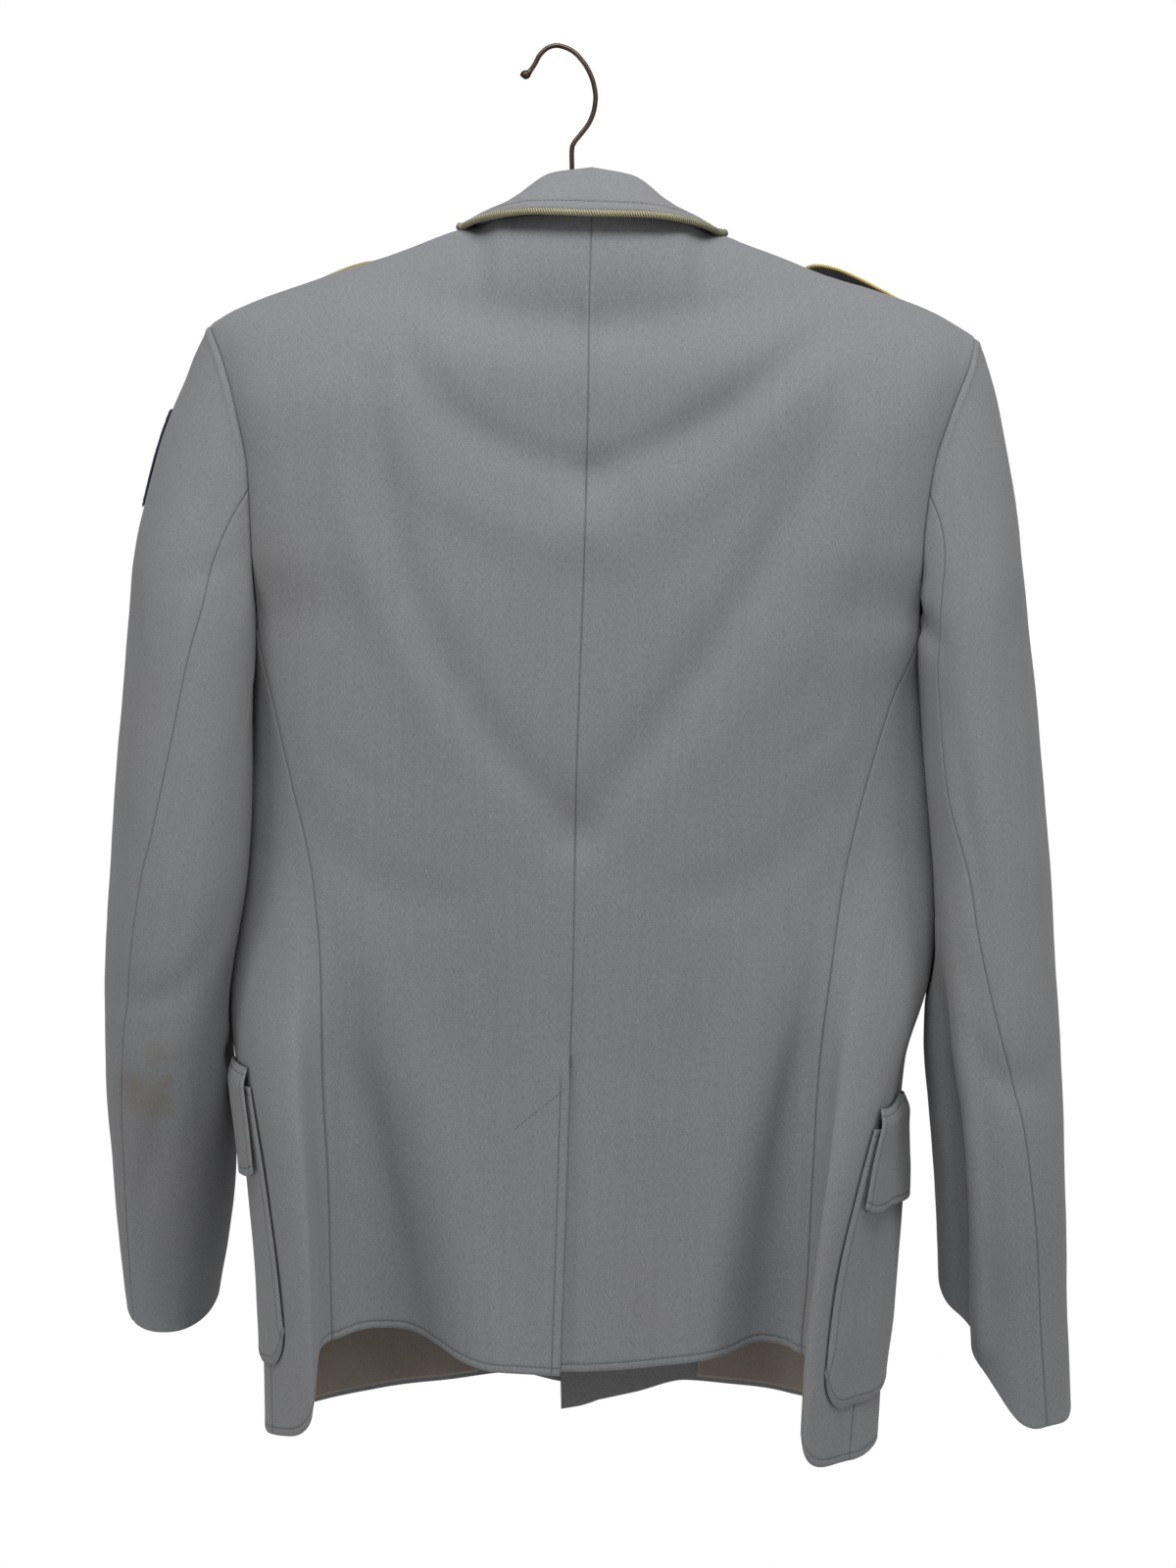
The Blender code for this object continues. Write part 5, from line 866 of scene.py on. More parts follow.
def relax(u, v, seed, size=42.0):
    """slow uneven swell of worn cloth, between about -1 and 1"""
    return (np.sin(u / size * 6.1 + 1.3 * np.sin(v / size * 2.3 + seed) + seed * 2.1) * .5
            + np.sin(v / size * 3.7 + 1.7 * np.sin(u / size * 3.1 + seed * 1.4)) * .35 + np.sin((u * .8 + v) / size * 9.4 + seed * 3.3) * .15)

def sewn(q, d, along, seed, deep=.55, rise=.10, pucker=.16):
    """a pressed seam: the cloth rolls down into it and ripples a little beside it"""
    q["off"] += -deep * np.exp(-(d / .85) ** 2) + rise * np.exp(-((d - 4.0) / 2.2) ** 2)
    q["off"] += pucker * wave(along, seed) * (1 - np.exp(-(d / 2.0) ** 2)) * np.exp(-d / 5.5)
    # painted shade: a dark line in the colour along the seam groove
    q["line"] = np.maximum(q["line"], .9 * np.exp(-(d / .42) ** 2))

def turned(q, d, along, seed, stitch=4.8, w=1.0, dip=.22, pucker=.10):
    """a turned edge with a row of stitches beside it"""
    q["off"] += w * (-.42 * np.exp(-(d / .8) ** 2) + .12 * np.exp(-((d - stitch * .5) / 1.5) ** 2))
    if stitch:
        q["off"] += w * (-dip * np.exp(-((d - stitch) / .6) ** 2) + .10 * np.exp(-((d - stitch - 2.4) / 1.6) ** 2))
        q["off"] += w * pucker * wave(along, seed, 6.5) * np.exp(-((d - stitch) / 2.6) ** 2)
        # painted shade: a dark line in the colour along the stitch row
        q["line"] = np.maximum(q["line"], w * .50 * np.exp(-((d - stitch) / .5) ** 2))

def finish_off(q, swell=.16, seed=0.0, clear=1.0):
    """adds the slow swell and moves the outer face"""
    edge = np.minimum(np.minimum(q["dt"], q["db"]), np.minimum(q["dl"], q["dr"]))
    q["off"] += swell * relax(q["U"], q["V"], seed) * (1 - np.exp(-(edge / 9.0) ** 2)) * clear
    q["Q"] = q["P"] + q["N"] * q["off"][..., None]
    return q

def shell(q, wall, rim=.42):
    """outer face, inner face and rounded rim of a dense grid: points, faces, kind of face, cloth coordinates, painted
    seam shade
    """
    O = q["Q"]; I = q["P"] + q["N"] * (q["slow"][..., None] - wall)
    r, c = O.shape[:2]; n = r * c
    idx = np.arange(n).reshape(r, c)
    F = np.stack([idx[:-1, :-1], idx[:-1, 1:], idx[1:, 1:], idx[1:, :-1]], -1).reshape(-1, 4)
    a, b, d = O[r // 2, c // 2], O[r // 2, c // 2 + 1], O[r // 2 + 1, c // 2]
    if np.dot(np.cross(b - a, d - a), q["N"][r // 2, c // 2]) < 0: F = F[:, ::-1]; turn = True
    else: turn = False
    loop = np.concatenate([idx[0, :-1], idx[:-1, -1], idx[-1, :0:-1], idx[:0:-1, 0]])
    out = np.zeros_like(O)
    out[0] += unit(O[0] - O[1]); out[-1] += unit(O[-1] - O[-2]); out[:, 0] += unit(O[:, 0] - O[:, 1]); out[:, -1] += unit(O[:, -1] - O[:, -2])
    out = unit(out).reshape(-1, 3)
    Of, If = O.reshape(-1, 3), I.reshape(-1, 3)
    mid = (Of[loop] + If[loop]) / 2 + out[loop] * rim * wall * .5
    V = np.concatenate([Of, If, mid])
    m = len(loop); k = np.arange(m); j = (k + 1) % m; L = loop; M = 2 * n + k
    R = np.concatenate([np.stack([L[j], L[k], M[k], M[j]], -1), np.stack([M[j], M[k], L[k] + n, L[j] + n], -1)])
    if turn: R = R[:, ::-1]
    faces = np.concatenate([F, F[:, ::-1] + n, R])
    kind = np.concatenate([np.zeros(len(F), int), np.ones(len(F), int), np.zeros(len(R), int)])
    UV = np.stack([q["U"], q["V"]], -1).reshape(-1, 2)
    UV = np.concatenate([UV, UV, UV[loop]]) * .001
    ln = q["line"].ravel(); ln = np.concatenate([ln, 0 * ln, ln[loop]])
    return V, faces, kind, UV, ln

def make(name, parts, mats, node=None):
    """one mesh object from (points, faces, kind, cloth coordinates, painted seam shade) parts"""
    V, Fc, K, UV, LN, n = [], [], [], [], [], 0
    for v, f, k, uv, ln in parts:
        V.append(v); Fc += [tuple(int(i) + n for i in face) for face in f]; K += [int(x) for x in k]; UV.append(uv); LN.append(ln); n += len(v)
    V, UV, LN = np.concatenate(V) * .001, np.concatenate(UV), np.concatenate(LN)
    me = bpy.data.meshes.new(name); me.from_pydata(V.tolist(), [], Fc)
    me.polygons.foreach_set("material_index", K)
    vi = np.zeros(len(me.loops), int); me.loops.foreach_get("vertex_index", vi)
    layer = me.uv_layers.new(name="cloth"); layer.data.foreach_set("uv", UV[vi].astype(np.float32).ravel())
    # painted seam shade, read by the cloth materials to darken their colour
    at_ = me.attributes.new("seam_line", "FLOAT", "POINT"); at_.data.foreach_set("value", LN.astype(np.float32))
    for m in mats: me.materials.append(m)
    me.shade_smooth(); me.update()
    o = bpy.data.objects.new(name, me); bpy.context.scene.collection.objects.link(o)
    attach(o, "root")
    if node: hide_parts(*([node] if isinstance(node, str) else node))
    return o

SHEETS = []
def sheet(o, grids):
    w = max(g["dl"][:, -1].max() for g in grids) / 1000; l = max(g["dt"][-1].max() for g in grids) / 1000
    area = 0
    for g in grids:
        P = g["P"]; a, b, c_, d = P[:-1, :-1], P[:-1, 1:], P[1:, 1:], P[1:, :-1]
        area += .5 * np.linalg.norm(np.cross(c_ - a, d - b), axis=-1).sum() * 1e-6
    area = min(area, w * l)
    SHEETS.append((o.name, round(w, 3), round(l, 3), round(area, 4)))

# ---------------------------------------------------------------- stitches, cords and turned pieces
def edge_path(q, edge, dist, keep=None):
    """line on the shown face at a distance from an edge: points and normals"""
    D = q["d" + edge]; P, N = [], []
    across = edge in "lr"
    n = D.shape[0] if across else D.shape[1]
    for i in range(n):
        d = D[i] if across else D[:, i]
        rows = q["Q"][i] if across else q["Q"][:, i]; nn = q["N"][i] if across else q["N"][:, i]
        if keep is not None and not keep(rows[0] if edge in "lt" else rows[-1]): continue
        if edge in "br": d, rows, nn = d[::-1], rows[::-1], nn[::-1]
        if d[-1] < dist * 1.5: continue
        P.append([np.interp(dist, d, rows[:, k]) for k in range(3)]); N.append([np.interp(dist, d, nn[:, k]) for k in range(3)])
    return np.array(P), unit(np.array(N))

def surface_path(q, rr, cc):
    """line on the shown face through fractional rows and columns of the dense grid"""
    rr, cc = np.asarray(rr, float), np.asarray(cc, float)
    return sample2(q["Q"], rr, cc), unit(sample2(q["N"], rr, cc))

def stitch_row(P, N, pitch=2.7, length=2.15, radius=.21, lift=.05):
    """a row of sewn stitches along a line"""
    if len(P) < 2: return None
    s = np.concatenate([[0], np.cumsum(np.linalg.norm(np.diff(P, axis=0), axis=-1))])
    m = int(s[-1] // pitch)
    if m < 1: return None
    c = (np.arange(m) + .5) * pitch; half = length / 2
    at_s = lambda A, x: np.stack([np.interp(x, s, A[:, k]) for k in range(3)], -1)
    C, M = at_s(P, c), unit(at_s(N, c)); T = unit(at_s(P, c + half) - at_s(P, c - half)); B = unit(np.cross(M, T))
    rings = [(-1.0, .35, -.22), (-.55, 1.0, 0.0), (.55, 1.0, 0.0), (1.0, .35, -.22)]
    a = np.arange(6) * np.pi / 3; V = []
    for along, rad, sink in rings:
        for t in a:
            V.append(C + T * (along * half) + M * (lift + sink * .6 + radius * .72 * rad * np.sin(t)) + B * (radius * rad * np.cos(t)))
    V = np.stack(V, 1)                                           # (m, 24, 3)
    F = []
    for r_ in range(3):
        for j in range(6):
            k = (j + 1) % 6; F.append((r_ * 6 + j, r_ * 6 + k, (r_ + 1) * 6 + k, (r_ + 1) * 6 + j))
    F += [(5, 4, 3, 2), (5, 2, 1, 0), (18, 19, 20, 21), (18, 21, 22, 23)]
    F = np.array(F)
    faces = (F[None] + (np.arange(m) * 24)[:, None, None]).reshape(-1, 4)
    UV = np.stack([np.tile(np.arange(24) % 6 / 6.0, m) * .001, np.repeat(c, 24) * .001], -1)
    return V.reshape(-1, 3), faces, np.zeros(len(faces), int), UV, np.zeros(m * 24)

def frames(P, up):
    T = unit(np.gradient(P, axis=0)); B = unit(up - (T * up).sum(-1)[:, None] * T)
    return T, B, np.cross(B, T)

def resample(P, step, *more):
    s = np.concatenate([[0], np.cumsum(np.linalg.norm(np.diff(P, axis=0), axis=-1))])
    n = max(2, int(round(s[-1] / step)) + 1); x = np.linspace(0, s[-1], n)
    return (x,) + tuple(np.stack([np.interp(x, s, A[:, k]) for k in range(A.shape[1])], -1) for A in (P,) + more)

def rope(P, up, strands, radius, strand_radius, pitch, step=.55, sides=6, hand=1):
    """twisted cord: for each strand its tube round the line"""
    x, P, up = resample(P, step, up); T, B, U = frames(P, up); out = []
    taper = np.clip(np.minimum(x, x[-1] - x) / 1.2, .25, 1)
    for k in range(strands):
        ph = 2 * np.pi * (hand * x / pitch + k / strands)
        C = P + radius * (np.cos(ph)[:, None] * U + np.sin(ph)[:, None] * B)
        t2 = unit(np.gradient(C, axis=0)); o = unit(C - P); o = unit(o - (o * t2).sum(-1)[:, None] * t2); b2 = np.cross(t2, o)
        a = np.arange(sides) * 2 * np.pi / sides
        R = C[:, None] + (strand_radius * taper)[:, None, None] * (np.cos(a)[None, :, None] * o[:, None] + np.sin(a)[None, :, None] * b2[:, None])
        n = len(C); i = np.arange(n - 1)[:, None] * sides; j = np.arange(sides)[None]; jn = (j + 1) % sides
        F = np.stack([i + j, i + jn, i + sides + jn, i + sides + j], -1).reshape(-1, 4)
        caps = [tuple(range(sides - 1, -1, -1)), tuple((n - 1) * sides + q for q in range(sides))]
        UV = np.stack([np.tile(np.arange(sides) / sides, n) * .004, np.repeat(x, sides) * .001], -1)
        faces = [tuple(f) for f in F] + caps
        out.append((R.reshape(-1, 3), faces, np.full(len(faces), k), UV, np.zeros(n * sides)))
    return out

def plain_tube(path, radii, sides=20, side_axis=(0, 1, 0), depth=None, kind=0):
    V, F = tube(path, radii, sides, side_axis, depth)
    n = len(path); s = np.concatenate([[0], np.cumsum(np.linalg.norm(np.diff(np.asarray(path), axis=0), axis=-1))])
    UV = np.stack([np.tile(np.arange(sides) / sides, n) * .01, np.repeat(s, sides) * .001], -1)
    return V, F, np.full(len(F), kind), UV, np.zeros(len(V))

def lathe(centre, axis, profile, sides=40):
    """turned piece: profile of (radius, height)"""
    w = unit(np.array(axis, float)); u = unit(np.cross(w, [0.3, 0.1, 1.0])); v = np.cross(w, u)
    a = np.arange(sides) * 2 * np.pi / sides
    V = np.concatenate([np.array(centre)[None] + w * h + r * (np.cos(a)[:, None] * u + np.sin(a)[:, None] * v) for r, h in profile])
    m = len(profile); F = [(i * sides + j, i * sides + (j + 1) % sides, (i + 1) * sides + (j + 1) % sides, (i + 1) * sides + j) for i in range(m - 1) for j in range(sides)]
    F += [tuple(range(sides - 1, -1, -1)), tuple((m - 1) * sides + j for j in range(sides))]
    UV = np.concatenate([r * .001 * np.stack([np.cos(a), np.sin(a)], -1) for r, h in profile])
    return V, F, np.zeros(len(F), int), UV, np.zeros(len(V))

def button(centre, axis, r, h, loop=True):
    """domed metal button with a turned rim, on a short shank"""
    prof = [(1.2, -.2), (1.4, .9), (r * .5, 1.3), (r * .86, 1.5), (r * .97, 1.7), (r, 2.05), (r * .985, 2.4), (r * .93, 2.55), (r * .885, 2.5), (r * .86, 2.62)]
    for k in range(1, 9):
        t = k / 8; prof.append((r * .86 * math.cos(t * math.pi / 2) ** .9 + .02, 2.62 + (h - 2.62) * math.sin(t * math.pi / 2)))
    prof[-1] = (.25, h)
    return lathe(centre, axis, prof)

# ================================================================ materials
def tree_of(name):
    m = bpy.data.materials.new(name); m.use_nodes = True
    t = m.node_tree; b = t.nodes["Principled BSDF"]
    return m, t, b

class Nodes:
    """short ways to add the nodes of one material"""
    def __init__(self, t): self.t = t
    def new(self, kind, **inputs):
        n = self.t.nodes.new("ShaderNode" + kind)
        for k, v in inputs.items():
            key = k.replace("_", " ")
            if key in n.inputs: self.put(n.inputs[key], v)
            else: setattr(n, k, v)
        return n
    def put(self, socket, v):
        if hasattr(v, "is_output"): self.t.links.new(v, socket)
        else: socket.default_value = v
    def math(self, op, a, b=None, c=None, clamp=False):
        n = self.t.nodes.new("ShaderNodeMath"); n.operation = op; n.use_clamp = clamp
        for s, v in zip(n.inputs, (a, b, c)):
            if v is not None: self.put(s, v)
        return n.outputs[0]
    def vmath(self, op, a, b):
        n = self.t.nodes.new("ShaderNodeVectorMath"); n.operation = op
        self.put(n.inputs[0], a); self.put(n.inputs[1], b)
        return n.outputs[0]
    def noise(self, v, scale, detail=3.0, rough=.5, dist=0.0):
        n = self.new("TexNoise", Scale=scale, Detail=detail, Roughness=rough, Distortion=dist); self.t.links.new(v, n.inputs["Vector"])
        return n.outputs["Fac"]
    def ramp(self, fac, stops):
        n = self.t.nodes.new("ShaderNodeValToRGB"); e = n.color_ramp.elements
        while len(e) < len(stops): e.new(.5)
        for el, (p, c) in zip(e, stops): el.position = p; el.color = (*c, 1) if len(c) == 3 else c
        self.put(n.inputs["Fac"], fac)
        return n.outputs["Color"]
    def mix(self, fac, a, b, blend="MIX"):
        n = self.t.nodes.new("ShaderNodeMix"); n.data_type = "RGBA"; n.blend_type = blend
        self.put(n.inputs["Factor"], fac)
        self.put(n.inputs[6], a); self.put(n.inputs[7], b)
        return n.outputs[2]
    def range(self, v, a, b, c, d):
        n = self.new("MapRange"); self.put(n.inputs[0], v)
        for i, x in enumerate((a, b, c, d)): n.inputs[i + 1].default_value = x
        return n.outputs[0]
    def xyz(self, v):
        n = self.t.nodes.new("ShaderNodeSeparateXYZ"); self.t.links.new(v, n.inputs[0]); return n.outputs
    def combine(self, x, y, z=0.0):
        n = self.t.nodes.new("ShaderNodeCombineXYZ")
        for s, v in zip(n.inputs, (x, y, z)): self.put(s, v)
        return n.outputs[0]
    def cloth(self):
        n = self.t.nodes.new("ShaderNodeUVMap"); n.uv_map = "cloth"; return n.outputs[0]
    def place(self):
        return self.t.nodes.new("ShaderNodeTexCoord").outputs["Object"]
    def attr(self, name):
        n = self.t.nodes.new("ShaderNodeAttribute"); n.attribute_name = name; return n.outputs["Fac"]
    def bump(self, height, strength, distance, normal=None):
        n = self.new("Bump", Strength=strength, Distance=distance); self.put(n.inputs["Height"], height)
        if normal is not None: self.put(n.inputs["Normal"], normal)
        return n.outputs[0]

def grey(c, k=1.0): return tuple(x * k for x in c) + (1.0,)

WOOL = (.150, .1525, .158)

def wool(name, base=WOOL, seed=0.0, stain=None, twill=1.0, warm=0.0):
    """fine worsted twill in melange grey: light and dark fibres along the yarn, faint diagonal, slow wear"""
    m, t, b = tree_of(name); n = Nodes(t)
    uv = n.cloth(); s = n.xyz(uv); place = n.place()
    along = n.combine(n.math("MULTIPLY", s[0], 1500.0), n.math("MULTIPLY", s[1], 330.0), seed)
    across = n.combine(n.math("MULTIPLY", s[0], 420.0), n.math("MULTIPLY", s[1], 1300.0), seed + 3.0)
    fibre = n.noise(along, 1.0, 3.0, .62); weft = n.noise(across, 1.0, 2.0, .6)
    slub = n.noise(n.combine(n.math("MULTIPLY", s[0], 260.0), n.math("MULTIPLY", s[1], 16.0), seed + 7), 1.0, 2.0, .5)
    blot = n.noise(n.vmath("ADD", uv, (seed, seed, 0)), 26.0, 3.0, .55)
    wear = n.noise(n.vmath("ADD", place, (seed * .3, 0, 0)), 4.2, 4.0, .6)
    diag = n.math("SINE", n.math("MULTIPLY", n.math("ADD", s[0], n.math("MULTIPLY", s[1], .62)), 2 * math.pi / .00078))
    diag = n.math("MULTIPLY", diag, .5 * twill)
    v = n.math("ADD", n.math("MULTIPLY", n.math("SUBTRACT", fibre, .5), .75), n.math("MULTIPLY", n.math("SUBTRACT", weft, .5), .38))
    v = n.math("ADD", v, n.math("MULTIPLY", diag, .055))
    v = n.math("ADD", v, n.math("MULTIPLY", n.math("SUBTRACT", slub, .5), .12))
    v = n.math("ADD", v, n.math("MULTIPLY", n.math("SUBTRACT", blot, .5), .06))
    v = n.math("ADD", v, n.math("MULTIPLY", n.math("SUBTRACT", wear, .5), .16))
    fleck = n.math("GREATER_THAN", n.noise(n.combine(n.math("MULTIPLY", s[0], 2300.0), n.math("MULTIPLY", s[1], 900.0), seed + 5), 1.0, 1.0, .5), .69)
    v = n.math("ADD", v, n.math("MULTIPLY", fleck, .22))
    k = n.math("ADD", 1.0, v)
    colour = n.mix(1.0, grey(base), n.combine(k, k, k), "MULTIPLY")
    tint = n.noise(n.vmath("ADD", place, (0, seed, 2.0)), 7.0, 3.0, .5)
    colour = n.mix(n.range(tint, .35, .75, 0.0, .34), colour, n.mix(1.0, colour, (1.03, .995, .93, 1), "MULTIPLY"))
    if warm: colour = n.mix(warm, colour, n.mix(1.0, colour, (1.03, 1.0, .90, 1), "MULTIPLY"))
    if stain: colour = stain(n, place, colour)
    # painted shade: the colour is darkened along the seams and stitch rows, where shade falls in their grooves
    line = n.attr("seam_line")
    colour = n.mix(n.math("MULTIPLY", line, .72), colour, n.mix(1.0, colour, (.26, .26, .27, 1), "MULTIPLY"))
    t.links.new(colour, b.inputs["Base Color"])
    t.links.new(n.range(n.math("ADD", fibre, n.math("MULTIPLY", blot, .4)), .4, 1.1, .80, .96), b.inputs["Roughness"])
    h = n.math("ADD", n.math("MULTIPLY", diag, .35), n.math("ADD", fibre, n.math("MULTIPLY", weft, .8)))
    t.links.new(n.bump(h, .30, .00022, n.bump(n.noise(uv, 60.0, 2.0, .5), .08, .0008)), b.inputs["Normal"])
    b.inputs["Sheen Weight"].default_value = .10; b.inputs["Sheen Roughness"].default_value = .55
    b.inputs["Specular IOR Level"].default_value = .22
    return m

def lining(name, base=(.185, .150, .122), seed=0.0):
    """smooth brown rayon with a fine rib and soft wear"""
    m, t, b = tree_of(name); n = Nodes(t)
    uv = n.cloth(); s = n.xyz(uv); place = n.place()
    rib = n.math("SINE", n.math("MULTIPLY", n.math("SUBTRACT", s[0], n.math("MULTIPLY", s[1], .8)), 2 * math.pi / .0009))
    yarn = n.noise(n.combine(n.math("MULTIPLY", s[0], 1100.0), n.math("MULTIPLY", s[1], 240.0), seed), 1.0, 3.0, .6)
    blot = n.noise(n.vmath("ADD", place, (seed, 0, 0)), 13.0, 4.0, .6)
    k = n.math("ADD", 1.0, n.math("ADD", n.math("MULTIPLY", rib, .05), n.math("ADD", n.math("MULTIPLY", n.math("SUBTRACT", yarn, .5), .5), n.math("MULTIPLY", n.math("SUBTRACT", blot, .5), .5))))
    colour = n.mix(1.0, grey(base), n.combine(k, k, k), "MULTIPLY")
    colour = n.mix(n.range(blot, .4, .7, 0, .4), colour, n.mix(1.0, colour, (.9, .95, 1.05, 1), "MULTIPLY"))
    # painted shade: the colour is darkened along the seams, where shade falls in their grooves
    line = n.attr("seam_line")
    colour = n.mix(n.math("MULTIPLY", line, .7), colour, n.mix(1.0, colour, (.3, .3, .3, 1), "MULTIPLY"))
    t.links.new(colour, b.inputs["Base Color"])
    t.links.new(n.range(yarn, .2, .8, .42, .60), b.inputs["Roughness"])
    t.links.new(n.bump(n.math("ADD", n.math("MULTIPLY", rib, .5), yarn), .22, .00018), b.inputs["Normal"])
    b.inputs["Specular IOR Level"].default_value = .4
    return m

def felt(name):
    m, t, b = tree_of(name); n = Nodes(t); place = n.place()
    a = n.noise(place, 900.0, 4.0, .7); c = n.noise(place, 60.0, 3.0, .5)
    k = n.math("ADD", .6, n.math("ADD", n.math("MULTIPLY", a, .6), n.math("MULTIPLY", c, .3)))
    t.links.new(n.mix(1.0, (.020, .020, .023, 1), n.combine(k, k, k), "MULTIPLY"), b.inputs["Base Color"])
    t.links.new(n.range(a, .3, .7, .92, 1.0), b.inputs["Roughness"])
    t.links.new(n.bump(a, .5, .0004), b.inputs["Normal"])
    return m

def thread(name, base, sheen=.2, contrast=.5, rough=(.55, .8), fine=5200.0, worn=None):
    """twisted yarn: fibres slanting round the strand; worn is (from x, to x, share of the colour left there)"""
    m, t, b = tree_of(name); n = Nodes(t); uv = n.cloth(); s = n.xyz(uv); place = n.place()
    tw = n.math("SINE", n.math("ADD", n.math("MULTIPLY", s[0], 2 * math.pi / .0010), n.math("MULTIPLY", s[1], 2 * math.pi / .0009)))
    f = n.noise(place, fine, 3.0, .6); g = n.noise(place, 60.0, 2.0, .5)
    k = n.math("ADD", 1.0, n.math("ADD", n.math("MULTIPLY", tw, .16 * contrast), n.math("ADD", n.math("MULTIPLY", n.math("SUBTRACT", f, .5), contrast), n.math("MULTIPLY", n.math("SUBTRACT", g, .5), .4))))
    colour = n.mix(1.0, grey(base), n.combine(k, k, k), "MULTIPLY")
    if worn: colour = n.mix(n.range(n.xyz(place)[0], worn[0], worn[1], 0.0, 1.0), colour, n.mix(1.0, colour, (worn[2], worn[2] * .86, worn[2] * .80, 1), "MULTIPLY"))
    t.links.new(colour, b.inputs["Base Color"])
    t.links.new(n.range(f, .3, .7, rough[0], rough[1]), b.inputs["Roughness"])
    t.links.new(n.bump(n.math("ADD", tw, f), .3, .00012), b.inputs["Normal"])
    b.inputs["Sheen Weight"].default_value = sheen
    return m

def metal(name, base, rough=(.32, .5), pebble=0.0, wear=(.05, .045, .035), amount=.5):
    m, t, b = tree_of(name); n = Nodes(t); place = n.place()
    a = n.noise(place, 420.0, 4.0, .6); c = n.noise(place, 46.0, 4.0, .65)
    dull = n.range(n.math("ADD", n.math("MULTIPLY", c, .8), n.math("MULTIPLY", a, .35)), .42, .78, 0.0, amount)
    t.links.new(n.mix(dull, grey(base), grey(wear)), b.inputs["Base Color"])
    t.links.new(n.range(n.math("ADD", a, n.math("MULTIPLY", dull, .5)), .3, 1.0, rough[0], rough[1]), b.inputs["Roughness"])
    b.inputs["Metallic"].default_value = 1.0
    h = a
    if pebble:
        v = n.new("TexVoronoi", Scale=1500.0); t.links.new(place, v.inputs["Vector"]); h = n.math("ADD", n.math("MULTIPLY", v.outputs["Distance"], -pebble), a)
    t.links.new(n.bump(h, .35, .00012), b.inputs["Normal"])
    return m

def wood(name, base=(.30, .155, .075)):
    """varnished beech with its grain along the bar"""
    m, t, b = tree_of(name); n = Nodes(t); s = n.xyz(n.place())
    p = n.combine(n.math("MULTIPLY", s[0], 14.0), n.math("MULTIPLY", s[1], 190.0), n.math("MULTIPLY", s[2], 190.0))
    g = n.noise(p, 1.0, 6.0, .65, .6); ray = n.noise(n.combine(n.math("MULTIPLY", s[0], 240.0), n.math("MULTIPLY", s[1], 900.0), n.math("MULTIPLY", s[2], 900.0)), 1.0, 2.0, .5)
    colour = n.ramp(g, [(.25, tuple(x * .55 for x in base)), (.52, base), (.8, tuple(min(1, x * 1.35) for x in base))])
    colour = n.mix(n.range(ray, .62, .75, 0, .45), colour, n.mix(1.0, colour, (.5, .42, .36, 1), "MULTIPLY"))
    t.links.new(colour, b.inputs["Base Color"])
    t.links.new(n.range(g, .3, .7, .30, .42), b.inputs["Roughness"])
    t.links.new(n.bump(g, .12, .0003), b.inputs["Normal"])
    b.inputs["Coat Weight"].default_value = .35; b.inputs["Coat Roughness"].default_value = .18
    return m

def spot(n, place, centre, size, edge=.5, noise=38.0, wobble=.9):
    """soft uneven patch round a point, 0 outside to 1 inside"""
    d = n.vmath("MULTIPLY", n.vmath("SUBTRACT", place, tuple(centre)), tuple(1.0 / s for s in size))
    ln = n.t.nodes.new("ShaderNodeVectorMath"); ln.operation = "LENGTH"; n.t.links.new(d, ln.inputs[0])
    w = n.noise(place, noise, 4.0, .65)
    r = n.math("ADD", ln.outputs["Value"], n.math("MULTIPLY", n.math("SUBTRACT", w, .5), wobble))
    return n.range(r, 1.0 - edge, 1.0 + edge * .6, 1.0, 0.0)

def sleeve_stain(n, place, colour):
    """brown stain low on the back of the left sleeve, with faint spots above it"""
    f = spot(n, place, (-.252, -.03, -.651), (.017, .09, .013), .45, 60.0, 1.3)
    colour = n.mix(n.math("MULTIPLY", f, .40), colour, (.128, .105, .066, 1))
    for c, s, k in (((-.262, -.03, -.640), (.010, .09, .006), .30), ((-.244, -.03, -.622), (.007, .09, .008), .22), ((-.238, -.03, -.640), (.005, .09, .004), .25)):
        colour = n.mix(n.math("MULTIPLY", spot(n, place, c, s, .5, 70.0, 1.4), k), colour, (.115, .095, .062, 1))
    return colour

# ================================================================ pieces
M_WOOL = wool("wool_twill")
M_WOOL2 = wool("wool_twill_sleeve", seed=4.0, stain=sleeve_stain)
M_WOOL3 = wool("wool_twill_collar", base=(.156, .157, .163), seed=9.0)
M_LINE = lining("lining_rayon")
M_FELT = felt("collar_felt")
M_STRAP = wool("strap_cloth_dark", base=(.120, .121, .130), seed=12.0)
M_PATCH = wool("patch_cloth_navy", base=(.022, .026, .045), seed=15.0)
M_GOLD = thread("piping_gold", (.40, .30, .055), sheen=.2, contrast=.45, rough=(.42, .62))
M_PALE = thread("cord_gold_thread", (.40, .37, .20), sheen=.2, contrast=.5, rough=(.40, .62), worn=(.055, .135, .42))
M_BLACK = thread("cord_black_thread", (.018, .016, .014), sheen=.1, contrast=.7)
M_THREAD = thread("sewing_thread", (.060, .061, .065), sheen=.1, contrast=.5)
M_BUTTON = metal("button_matt_silver", (.60, .585, .55), pebble=.5, wear=(.12, .115, .10), amount=.6)
M_HOOK = metal("hook_bronze", (.090, .062, .042), rough=(.30, .46), wear=(.030, .024, .020), amount=.8)
M_WOOD = wood("hanger_beech")

WORDS = (("L", "left"), ("R", "right"))
BACK_ROWS = 7 * FINE

g = body_grids(FINE)
for word in ("left", "right"):                      # the crest of the side fold is softly rounded
    q = g["side_" + word]; P0 = q["P"]; P = P0.copy()
    for _ in range(14): P[:, 1:-1] = .25 * P[:, :-2] + .5 * P[:, 1:-1] + .25 * P[:, 2:]
    w = smooth((-470 - P0[..., 2:3]) / 60); q["P"] = P0 + (P - P0) * w
    N = grid_normals(q["P"]); q["N"] = N * np.sign((N * q["N"]).sum(-1).mean())
sl = {s: sleeve_grid(s, g, FINE) for s in "LR"}
weld(list(g.values()) + [sl[s][p] for s in "LR" for p in ("top", "under")])

